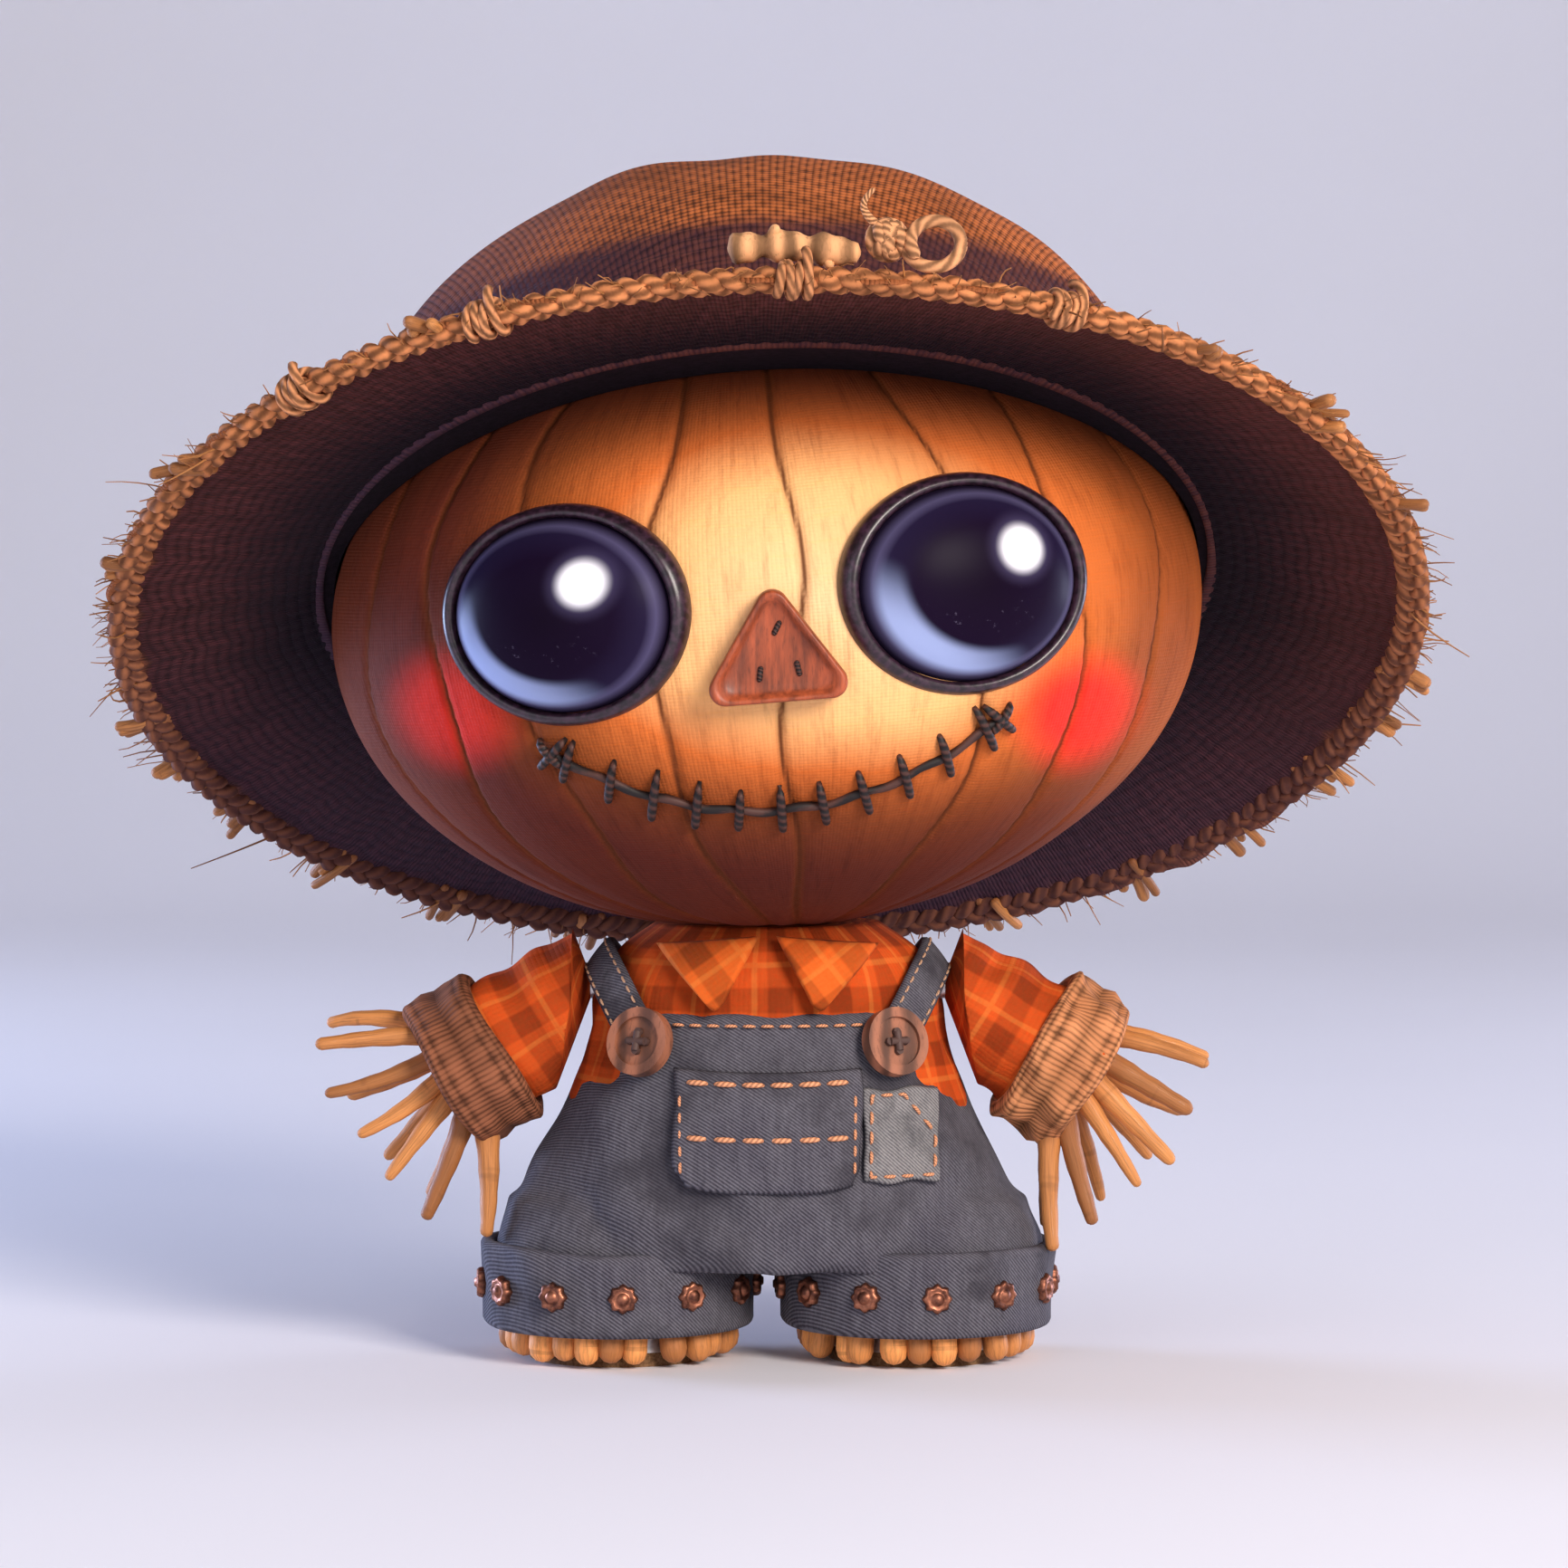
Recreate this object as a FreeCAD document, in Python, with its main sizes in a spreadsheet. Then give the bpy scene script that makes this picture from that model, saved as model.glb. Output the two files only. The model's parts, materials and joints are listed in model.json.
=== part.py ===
import FreeCAD, Part
import Sketcher
import math
import os

# Table-top scarecrow figure, a disc-jointed soft toy in millimetres.
# The origin is on the table under the middle of the figure, +Z is up, and the face looks along -Y.
# Left and right are the figure's own: its left side is at +X.
# Three things turn on the trunk: the head on the neck bolt, and each arm on its shoulder bolt.

SIZES = {
    # head
    "head_wide": (96.5, "half width of the stuffed head"),
    "head_deep": (88, "half depth of the head, front to back"),
    "head_tall": (70, "half height of the head"),
    "head_centre": (165, "height of the head's middle"),
    "head_roll": (4.5, "sideways lean of the head, left side up, degrees"),
    "cover_wall": (2, "thickness of the sewn head cover"),
    "stuffing_gap": (0.1, "air left between a cover and its stuffing"),
    "seat_gap": (0.05, "air left between pieces that sit on each other"),
    "eye_wide": (25.6, "half width of an eye"),
    "eye_tall": (20.8, "half height of an eye"),
    "eye_bulge": (12.5, "half depth of an eye's dome"),
    "eye_sink": (4, "how deep the middle of the dome lies under the cover"),
    "eye_side": (43.3, "distance of an eye from the middle line"),
    "eye_rise": (5.5, "height of the eyes over the head's middle"),
    "eye_yaw": (25, "outward turn of an eye, degrees"),
    "eye_rim": (2.4, "width of the dark rim round an eye"),
    "eye_rim_bulge": (9.5, "half depth of the rim"),
    "post": (2.5, "radius of an eye's post"),
    "post_long": (16, "length of an eye's post"),
    "eye_washer": (8, "radius of the washer on a post"),
    "eye_washer_thick": (1.6, "thickness of that washer"),
    "eye_washer_gap": (1.8, "air between the cover and that washer"),
    "nose_wide": (14.5, "half width of the nose's lower edge"),
    "nose_tall": (23.5, "height of the nose"),
    "nose_drop": (15.5, "lower edge of the nose under the head's middle"),
    "nose_side": (1.5, "distance of the nose from the middle line"),
    "nose_proud": (6, "how far the nose stands out"),
    "nose_sunk": (9, "how far the nose's block starts behind the front of the head"),
    "nose_round": (3.5, "corner radius of the nose"),
    "nose_edge": (1.6, "rounding of the nose's front edge"),
    "mouth_half": (49, "half width of the mouth"),
    "mouth_end": (22.5, "drop of the mouth's ends under the head's middle"),
    "mouth_dip": (16.5, "how far the middle of the mouth hangs below its ends"),
    "mouth_thread": (0.9, "radius of the mouth's thread"),
    "stitch_long": (10, "length of a cross stitch"),
    "stitch_thread": (1.0, "radius of a cross stitch"),
    # hat
    "hat_tilt": (32.5, "backward tilt of the hat, degrees"),
    "hat_roll": (3.5, "sideways lean of the hat, left side up, degrees"),
    "hat_back": (3.5, "how far the hat sits behind the head's middle"),
    "hat_gap": (1.7, "air between the head's widest place and the crown"),
    "crown_rise": (101.5, "outer height of the crown over the head's middle"),
    "crown_wall": (2, "thickness of the crown"),
    "brim_radius": (142, "radius of the middle of the rim cord"),
    "brim_wall": (2.4, "thickness of the brim"),
    "brim_seat": (6.5, "height of the brim's underside at the crown, over the head's middle"),
    "brim_slope": (0.305, "fall of the brim for each millimetre outwards"),
    "rim_cord": (3.1, "radius of the braided rim cord"),
    "band_wall": (1.6, "thickness of the hat band"),
    "band_high": (15, "height of the hat band"),
    "sweatband_high": (10, "height of the wadding between hat and head, over the brim's seat"),
    "tie": (0.9, "radius of a twine tie on the rim"),
    "twig": (2.5, "radius of the twig on the rim"),
    "twig_long": (27, "length of the twig"),
    "knot": (4.6, "radius of the knot beside the twig"),
    "loop": (5, "radius of the twine loop beside the knot"),
    "loop_twine": (1.4, "radius of the loop's twine"),
    "stub": (1.5, "radius of a straw stub in the rim"),
    "stub_out": (4.4, "how far a straw stub stands out of the rim cord"),
    # neck joint
    "neck_plane": (97, "height at which head and trunk meet"),
    "turning_gap": (0.3, "air between pieces that turn on each other"),
    "running_gap": (0.06, "radial clearance of a disc on its bolt"),
    "neck_disc": (20, "radius of the disc in the head"),
    "neck_disc_low": (14.5, "radius of the disc in the trunk"),
    "disc_thick": (3, "thickness of the hardboard neck discs"),
    "neck_bolt": (3, "radius of the neck bolt"),
    "neck_hex": (5.8, "radius over the corners of the neck bolt's hexagon"),
    "neck_hex_high": (4, "height of the neck bolt's head"),
    "neck_nut_high": (6, "height of the neck locknut"),
    "neck_washer": (9, "radius of the neck washer"),
    "washer_thick": (1.2, "thickness of the neck washer"),
    # trunk and clothes
    "trunk_low": (26, "height of the crotch"),
    "seat_rise": (14, "height of the seat over the crotch"),
    "waist_rise": (30, "height of the waist over the crotch"),
    "chest_rise": (46, "height of the chest over the crotch"),
    "arm_rise": (2, "height of the widest part of the shoulders over the shoulder bolts"),
    "slope_drop": (5, "drop of the shoulder slope under the top of the trunk"),
    "hip_wide": (58, "half width at the crotch"),
    "hip_deep": (33, "half depth at the crotch"),
    "seat_wide": (53, "half width at the seat"),
    "seat_deep": (34, "half depth at the seat"),
    "waist_wide": (46.5, "half width at the waist"),
    "waist_deep": (33, "half depth at the waist"),
    "chest_wide": (41, "half width at the chest"),
    "chest_deep": (30, "half depth at the chest"),
    "arm_wide": (38.5, "half width at the shoulder bolts"),
    "arm_deep": (26, "half depth at the shoulder bolts"),
    "slope_wide": (33, "half width on the shoulder slope"),
    "slope_deep": (22, "half depth on the shoulder slope"),
    "top_wide": (26, "half width of the top of the trunk"),
    "top_deep": (18.5, "half depth of the top of the trunk"),
    "denim": (1.6, "thickness of the overalls"),
    "shirt": (1.3, "thickness of the shirt"),
    "patch_wall": (1.6, "thickness of the pocket and the patch"),
    "side_edge": (66, "height of the overalls' edge under the arms"),
    "shirt_hem": (52, "height of the shirt's hem inside the overalls"),
    "bib_top": (79, "height of the bib's upper edge"),
    "bib_half": (31, "half width of the bib"),
    "pocket_half": (20, "half width of the bib pocket"),
    "pocket_low": (40, "height of the pocket's lower edge"),
    "pocket_top": (65, "height of the pocket's upper edge"),
    "patch_wide": (16, "width of the lighter patch beside the pocket"),
    "patch_tall": (20, "height of that patch"),
    "patch_gap": (0.6, "gap between the pocket and that patch"),
    "patch_rise": (2, "how far that patch starts over the pocket's lower edge"),
    "strap_wide": (9.6, "width of a strap"),
    "strap_wall": (1.9, "thickness of a strap"),
    "strap_lean": (29, "lean of a strap from upright, degrees"),
    "strap_side": (27, "distance of a strap's button from the middle line"),
    "button_height": (72, "height of the buttons on the bib"),
    "button": (7.5, "radius of a wooden button"),
    "button_lean": (15, "backward lean of a button, following the chest, degrees"),
    "button_lift": (0.9, "air behind the middle of a button"),
    "button_thick": (3.2, "thickness of a wooden button"),
    "button_dish": (1, "depth of the dish in a button's face"),
    "button_dish_radius": (5.4, "radius of that dish"),
    "button_hole": (0.9, "radius of a button's holes"),
    "button_holes_out": (2.1, "distance of a button's holes from its middle"),
    "collar_wall": (2, "thickness of the collar"),
    "collar_in": (2.5, "distance of the collar's inner corner from the middle line"),
    "collar_out": (24, "distance of the collar's outer corner from the middle line"),
    "collar_tip_side": (11, "distance of the collar's tip from the middle line"),
    "collar_tip": (79.6, "height of the collar's tip"),
    "collar_high": (93, "height of the collar's upper edge"),
    # legs
    "leg_gap": (3.45, "half the air between the two rolled cuffs"),
    "leg": (27.4, "outer radius of a trouser leg"),
    "leg_hem": (6, "height of the trouser leg's lower end"),
    "cuff_low": (5, "height of the rolled cuff's lower edge"),
    "cuff_top": (25, "height of the rolled cuff's upper edge"),
    "cuff_wall": (2.1, "thickness of the rolled cuff"),
    "stud": (2.6, "radius of a stud on the cuff"),
    "stud_proud": (1.2, "how far a stud stands out"),
    "studs": (12, "studs round one cuff"),
    "sole_gap": (1.05, "air between the sole board and the straws round it"),
    "sole_thick": (3, "thickness of the sole board"),
    "weight_thick": (6, "thickness of the weight in a leg"),
    "toe": (2.45, "radius of a straw in the foot"),
    "toe_low": (0.4, "height of the foot straws over the table"),
    "toe_top": (9.8, "height of the upper ends of the foot straws"),
    "toe_gap": (0.3, "least air between two foot straws"),
    # arms
    "shoulder_high": (82, "height of the shoulder bolts"),
    "shoulder_gap": (1.2, "air between the shirt and the inner end of a sleeve"),
    "arm_flare": (0.38, "outward slope of the arm's inner end"),
    "arm_drop": (31, "droop of an arm from level, degrees"),
    "shoulder": (13, "radius of the sleeve at the shoulder"),
    "wrist": (15.2, "radius of the sleeve at the wrist"),
    "sleeve_long": (37, "length of the sleeve"),
    "sleeve_wall": (1.4, "thickness of the sleeve"),
    "roll_start": (23.5, "where the rolled sleeve cuff starts"),
    "roll_long": (16, "width of the rolled sleeve cuff"),
    "roll_wall": (2.2, "thickness of the rolled sleeve cuff"),
    "arm_disc": (7, "radius of the discs of a shoulder joint"),
    "arm_disc_thick": (2.5, "thickness of those discs"),
    "trunk_disc_at": (28, "distance of the trunk's shoulder disc from the middle line"),
    "arm_bolt": (2.5, "radius of a shoulder bolt"),
    "arm_hex": (4.6, "radius over the corners of a shoulder bolt's hexagon"),
    "arm_hex_high": (3.5, "height of a shoulder bolt's head"),
    "arm_nut_high": (5, "height of a shoulder locknut"),
    "finger": (2.1, "radius of a hand straw at the wrist"),
    "finger_tip": (1.1, "radius of a hand straw at its tip"),
    "finger_root": (37, "where the hand straws start along the arm"),
    "finger_long": (28, "length of a hand straw"),
    "finger_pitch": (5.2, "spacing of the hand straws at the wrist"),
    "finger_fan": (25, "turn from one hand straw to the next, degrees"),
    "finger_splay": (9, "lean of a row of hand straws out of the arm's middle plane, degrees"),
    # workshop allowances
    "tool_past": (1, "how far a drill or cutter reaches past the piece it cuts"),
    "well_gap": (0.5, "air round a disc, washer or nut inside the stuffing"),
    "bolt_past": (2, "how far a bolt stands out of its locknut"),
}

# Sizes that follow from the ones above, so that what fits together keeps fitting.
FOLLOWING = {
    "trunk_top": ("neck_plane - turning_gap / 2", "height of the top of the trunk"),
    "crown_radius": ("head_wide + hat_gap + crown_wall", "outer radius of the crown"),
    "brim_low": ("brim_seat - (brim_radius - crown_radius) * brim_slope", "height of the brim's rim"),
    "rim_middle": ("brim_low + brim_wall / 2", "height of the rim cord"),
    "leg_side": ("leg + seat_gap + cuff_wall + leg_gap", "distance of a leg from the middle line"),
    "toe_ring": ("leg - denim - seat_gap - toe", "radius of the ring of foot straws"),
    "sole": ("toe_ring - toe - sole_gap", "radius of the sole board"),
    "arm_start": ("arm_wide - denim - stuffing_gap + shoulder_gap", "inner end of an arm, from the middle"),
}

MOUTH_STITCHES = 11
FINGERS_IN_ROW = 4
FINGER_STAGGER = 0.25
BUTTON_HOLES = 4
STUB_TURNS = (12, 20, 31, 43, 56, 70, 110, 124, 137, 149, 160, 168, 196, 214, 243, 311, 326, 342)
TIE_TURNS = (-131, -112, -86, -63)
SIDES = (("left", 1), ("right", -1))

doc = FreeCAD.newDocument("scarecrow_figure")
sheet = doc.addObject("Spreadsheet::Sheet", "sizes")
for row, (alias, (value, meaning)) in enumerate(SIZES.items(), start=1):
    sheet.set("A%d" % row, meaning)
    sheet.set("B%d" % row, str(value))
    sheet.setAlias("B%d" % row, alias)
for row, (alias, (formula, meaning)) in enumerate(FOLLOWING.items(), start=len(SIZES) + 1):
    sheet.set("A%d" % row, meaning)
    sheet.set("B%d" % row, "=" + formula)
    sheet.setAlias("B%d" % row, alias)
doc.recompute()

nodes = {}


def words(text):
    """Puts the sheet's name in front of each size named in an expression."""
    out = []
    word = ""
    for letter in text + " ":
        if letter.isalnum() or letter == "_":
            word += letter
            continue
        out.append("sizes." + word if word in SIZES or word in FOLLOWING else word)
        out.append(letter)
        word = ""
    return "".join(out).strip()


def at(x, y, z, axis="0; 0; 1", turn="0"):
    """A placement expression: a shift, and a turn about an axis through the shifted point."""
    return "placement(vector(%s; %s; %s); rotation(vector(%s); %s))" % (x, y, z, axis, turn)


def chain(*steps):
    """One placement after another, each inside the one before it."""
    return " * ".join(steps)


def solid(kind, name, place=None, **sizes):
    """A Part primitive whose sizes and placement are bound to the sheet."""
    made = doc.addObject("Part::" + kind, name)
    for size, expression in sizes.items():
        made.setExpression(size, words(str(expression)))
    if place:
        made.setExpression("Placement", words(place))
    return made


def cylinder(name, place, radius, height):
    return solid("Cylinder", name, place, Radius=radius, Height=height)


def cone(name, place, low, high, height):
    return solid("Cone", name, place, Radius1=low, Radius2=high, Height=height)


def hexagon(name, place, corner, height):
    made = solid("Prism", name, place, Circumradius=corner, Height=height)
    made.Polygon = 6
    return made


def box(name, low, high):
    """An upright box between two corners, each given as three expressions."""
    spans = ["(%s) - (%s)" % (b, a) for a, b in zip(low, high)]
    return solid("Box", name, at(*low), Length=spans[0], Width=spans[1], Height=spans[2])


def ellipsoid(name, place, across, deep, tall, low=-90):
    """Half axes along X, Y and Z; low is the latitude where the solid starts."""
    made = solid("Ellipsoid", name, place, Radius1=tall, Radius2=across, Radius3=deep)
    made.Angle1 = low
    made.Angle2 = 90
    made.Angle3 = 360
    return made


def cut(name, base, tool):
    made = doc.addObject("Part::Cut", name)
    made.Base = base
    made.Tool = tool
    return made


def fuse(name, *shapes):
    made = doc.addObject("Part::MultiFuse", name)
    made.Shapes = list(shapes)
    return made


def common(name, *shapes):
    made = doc.addObject("Part::MultiCommon", name)
    made.Shapes = list(shapes)
    return made


def group(name, members):
    made = doc.addObject("Part::Compound", name)
    made.Links = list(members)
    return made


def keep(label, made):
    """Names a finished piece: its label is its file's name."""
    made.Label = label
    nodes[label] = made
    return made


def origin_plane(body, role):
    return [plane for plane in body.Origin.OriginFeatures if plane.Role == role][0]


def sketch(body, name, role):
    made = body.newObject("Sketcher::SketchObject", name)
    made.AttachmentSupport = [(origin_plane(body, role), "")]
    made.MapMode = "FlatFace"
    return made


def distance(drawing, direction, first, second, expression, start):
    """A sketch distance between two points, each a pair (line, end), bound to the sheet."""
    number = drawing.addConstraint(Sketcher.Constraint(direction, *first, *second, start))
    drawing.setExpression("Constraints[%d]" % number, words(expression))


# ---- the head: stuffing, sewn cover, eyes, nose and mouth ----

HEAD = at("0", "0", "head_centre", "0; 1; 0", "-head_roll")
HALF_GAP = "turning_gap / 2"


def head_surface(name, grow="0"):
    """The head's outer skin, grown or shrunk by an even amount."""
    return ellipsoid(name, HEAD, "head_wide + %s" % grow, "head_deep + %s" % grow, "head_tall + %s" % grow)


def above(name, height):
    """Everything higher than a level, as a large block."""
    return box(name, ("-2 * head_wide", "-2 * head_deep", height),
               ("2 * head_wide", "2 * head_deep", "head_centre + 2 * head_tall"))


def eye_place(side):
    depth = "head_deep * sqrt(1 - (eye_side / head_wide)^2 - (eye_rise / head_tall)^2)"
    on_skin = at("%d * eye_side" % side, "-" + depth, "eye_rise", "0; 0; 1", "%d * eye_yaw" % side)
    return chain(HEAD, on_skin, at("0", "0", "0", "1; 0; 0", "90"), at("0", "0", "-eye_sink"))


def eyes():
    """Glossy domes with a post through the cover, a dark rim and a washer behind the cover."""
    posts = []
    pockets = []
    washers = []
    for label, side in SIDES:
        place = eye_place(side)
        dome = ellipsoid("dome_" + label, place, "eye_wide", "eye_tall", "eye_bulge")
        seated = cut("seated_dome_" + label, dome, head_surface("skin_under_dome_" + label, "seat_gap"))
        down = chain(place, at("0", "0", "eye_sink + cover_wall - post_long"))
        post = cylinder("post_" + label, down, "post", "post_long")
        keep("eye_" + label, fuse("eye_solid_" + label, seated, post))
        ring = ellipsoid("ring_" + label, place, "eye_wide + eye_rim", "eye_tall + eye_rim", "eye_rim_bulge")
        room = ellipsoid("ring_room_" + label, place, "eye_wide + seat_gap", "eye_tall + seat_gap",
                         "eye_bulge + seat_gap")
        open_ring = cut("open_ring_" + label, ring, room)
        skin = head_surface("skin_under_ring_" + label, "seat_gap")
        keep("eye_rim_" + label, cut("rim_solid_" + label, open_ring, skin))
        posts.append(cylinder("post_hole_" + label, down, "post + seat_gap", "post_long"))
        behind = "eye_sink - cover_wall - eye_washer_gap - eye_washer_thick"
        under = chain(place, at("0", "0", behind))
        plate = cylinder("eye_plate_" + label, under, "eye_washer", "eye_washer_thick")
        bore = cylinder("eye_plate_bore_" + label, down, "post + seat_gap", "post_long")
        washers.append(cut("eye_washer_" + label, plate, bore))
        pockets.append(cylinder("eye_pocket_" + label, chain(down, at("0", "0", "-tool_past")),
                                "eye_washer + turning_gap", "post_long + tool_past"))
    keep("eye_washers", group("eye_washer_group", washers))
    return posts, pockets


def nose():
    """A rounded wooden triangle: a padded sketch with its corners and front edge rounded."""
    body = doc.addObject("PartDesign::Body", "nose_block")
    drawing = sketch(body, "nose_outline", "XZ_Plane")
    corners = [FreeCAD.Vector(-14, 0, 0), FreeCAD.Vector(14, 0, 0), FreeCAD.Vector(0, 23, 0)]
    for number, corner in enumerate(corners):
        drawing.addGeometry(Part.LineSegment(corner, corners[(number + 1) % 3]), False)
    for number in range(3):
        drawing.addConstraint(Sketcher.Constraint("Coincident", number, 2, (number + 1) % 3, 1))
    drawing.addConstraint(Sketcher.Constraint("PointOnObject", 0, 1, -1))
    drawing.addConstraint(Sketcher.Constraint("PointOnObject", 1, 1, -1))
    drawing.addConstraint(Sketcher.Constraint("PointOnObject", 2, 1, -2))
    distance(drawing, "DistanceX", (0, 1), (-1, 1), "nose_wide", 14)
    distance(drawing, "DistanceX", (-1, 1), (1, 1), "nose_wide", 14)
    distance(drawing, "DistanceY", (-1, 1), (2, 1), "nose_tall", 23)
    pad = body.newObject("PartDesign::Pad", "nose_pad")
    pad.Profile = drawing
    pad.setExpression("Length", words("nose_sunk + nose_proud"))
    doc.recompute()
    upright = ["Edge%d" % number for number, edge in enumerate(pad.Shape.Edges, start=1)
               if abs(edge.tangentAt(edge.FirstParameter).y) > 0.99]
    corner_round = body.newObject("PartDesign::Fillet", "nose_corners")
    corner_round.Base = (pad, upright)
    corner_round.setExpression("Radius", words("nose_round"))
    doc.recompute()
    front = min(corner_round.Shape.Faces, key=lambda face: face.CenterOfMass.y)
    rim = ["Edge%d" % number for number, edge in enumerate(corner_round.Shape.Edges, start=1)
           if any(edge.isSame(other) for other in front.Edges)]
    front_round = body.newObject("PartDesign::Fillet", "nose_front")
    front_round.Base = (corner_round, rim)
    front_round.setExpression("Radius", words("nose_edge"))
    body.Tip = front_round
    place = chain(HEAD, at("nose_side", "nose_sunk - head_deep", "-nose_drop"))
    body.setExpression("Placement", words(place))
    keep("nose", cut("nose_solid", body, head_surface("skin_under_nose", "seat_gap")))


def skin_point(x, z, lift):
    """A point of the head's frame at x and z, lifted off the skin along the line of sight."""
    depth = "head_deep * sqrt(1 - (%s / head_wide)^2 - (%s / head_tall)^2)" % (x, z)
    return x, "(-%s - %s)" % (depth, lift), z


def mouth_line(share):
    """Across and up on the mouth's curve; share runs from -1 to 1 across the mouth."""
    return "(%.6f * mouth_half)" % share, "(-mouth_end - mouth_dip * %.6f)" % (1 - share * share)


def thread(name, start, end, radius):
    """A straight thread with round ends between two points of the head's frame."""
    span = ["(%s - %s)" % (b, a) for a, b in zip(start, end)]
    length = "sqrt(%s^2 + %s^2 + %s^2)" % tuple(span)
    flat = "sqrt(%s^2 + %s^2)" % (span[0], span[1])
    yaw = "atan2(%s; %s)" % (span[1], span[0])
    lean = "atan2(%s; %s)" % (flat, span[2])
    place = chain(HEAD, at(*start, "0; 0; 1", yaw), at("0", "0", "0", "0; 1; 0", lean))
    rod = cylinder(name + "_rod", place, radius, length)
    balls = [solid("Sphere", name + end_name, chain(HEAD, at(*point)), Radius=radius)
             for end_name, point in (("_ball", start), ("_far_ball", end))]
    return fuse(name, rod, *balls)


def mouth():
    """Cross stitches along the mouth's curve, and the runs of thread that show between them."""
    shares = [-0.94 + 1.88 * number / (MOUTH_STITCHES - 1) for number in range(MOUTH_STITCHES)]
    stitches = []
    for number, share in enumerate(shares):
        x, z = mouth_line(share)
        lean = "(%.6f * stitch_long * 0.35)" % -share
        ends = [skin_point("(%s + %d * %s)" % (x, way, lean), "(%s + %d * stitch_long / 2)" % (z, way),
                           "2 * stitch_thread") for way in (-1, 1)]
        stitches.append(thread("mouth_stitch_%d" % number, ends[0], ends[1], "stitch_thread"))
    keep("mouth_stitches", group("stitch_group", stitches))
    space = 0.062
    breaks = [-1 - space] + shares + [1 + space]
    runs = []
    for number in range(MOUTH_STITCHES + 1):
        ends = [skin_point(*mouth_line(share), "1.9 * mouth_thread")
                for share in (breaks[number] + space, breaks[number + 1] - space)]
        runs.append(thread("mouth_run_%d" % number, ends[0], ends[1], "mouth_thread"))
    keep("mouth_thread", group("run_group", runs))


def head():
    """The sewn cover with a flat seat at the neck, and the stuffing inside it."""
    posts, pockets = eyes()
    over_neck = above("over_neck", "neck_plane + " + HALF_GAP)
    whole = common("cover_outside", head_surface("cover_skin"), over_neck)
    floor = "neck_plane + %s + cover_wall" % HALF_GAP
    hollow = common("cover_inside", head_surface("cover_lining", "-cover_wall"), above("over_floor", floor))
    bolt_hole = cylinder("cover_bolt_hole", at("0", "0", "neck_plane"), "neck_bolt + running_gap",
                         "turning_gap + cover_wall + tool_past")
    shell = cut("cover_shell", whole, hollow)
    keep("head_cover", cut("cover_solid", shell, fuse("cover_holes", bolt_hole, *posts)))
    inner = common("stuffing_block", head_surface("stuffing_skin", "-(cover_wall + stuffing_gap)"),
                   above("over_stuffing_floor", floor + " + stuffing_gap"))
    stack = "turning_gap + cover_wall + disc_thick + washer_thick + neck_nut_high + bolt_past + 2 * tool_past"
    well = cylinder("neck_well", at("0", "0", "neck_plane"), "neck_disc + well_gap", stack)
    keep("head_stuffing", cut("stuffing_solid", inner, fuse("stuffing_wells", well, *pockets)))


# ---- the hat ----

HAT = chain(at("0", "hat_back", "head_centre", "0; 1; 0", "-hat_roll"),
            at("0", "0", "0", "1; 0; 0", "-hat_tilt"))


def crown_shape(name, grow="0"):
    """The crown as half an ellipsoid, grown or shrunk by an even amount."""
    wide = "crown_radius + " + grow
    return ellipsoid(name, HAT, wide, wide, "crown_rise + " + grow, low=0)


def slab(name, low, high):
    """The layer of the hat between two heights over the head's middle, along the hat's axis."""
    return cylinder(name, chain(HAT, at("0", "0", low)), "2 * brim_radius", "(%s) - (%s)" % (high, low))


def round_the_hat(turn, out, up):
    """A place on the hat: turned round its axis from its left side, out from the axis, and up along it."""
    return chain(HAT, at("0", "0", up, "0; 0; 1", turn), at(out, "0", "0"))


def tie_ring(name, turn, thick):
    place = chain(round_the_hat(turn, "brim_radius", "rim_middle"), at("0", "0", "0", "1; 0; 0", "90"))
    return solid("Torus", name, place, Radius1="rim_cord + tie + 3 * seat_gap", Radius2=thick)


def rim_torus(name, thick):
    return solid("Torus", name, chain(HAT, at("0", "0", "rim_middle")), Radius1="brim_radius", Radius2=thick)


def under_brim(name, lift):
    """Everything under the brim's slope, lifted along the hat's axis: a wide cone."""
    reach = "2 * brim_radius"
    base = "brim_low - brim_radius * brim_slope + " + lift
    return cone(name, chain(HAT, at("0", "0", base)), reach, "0", "2 * brim_radius * brim_slope")


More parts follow.
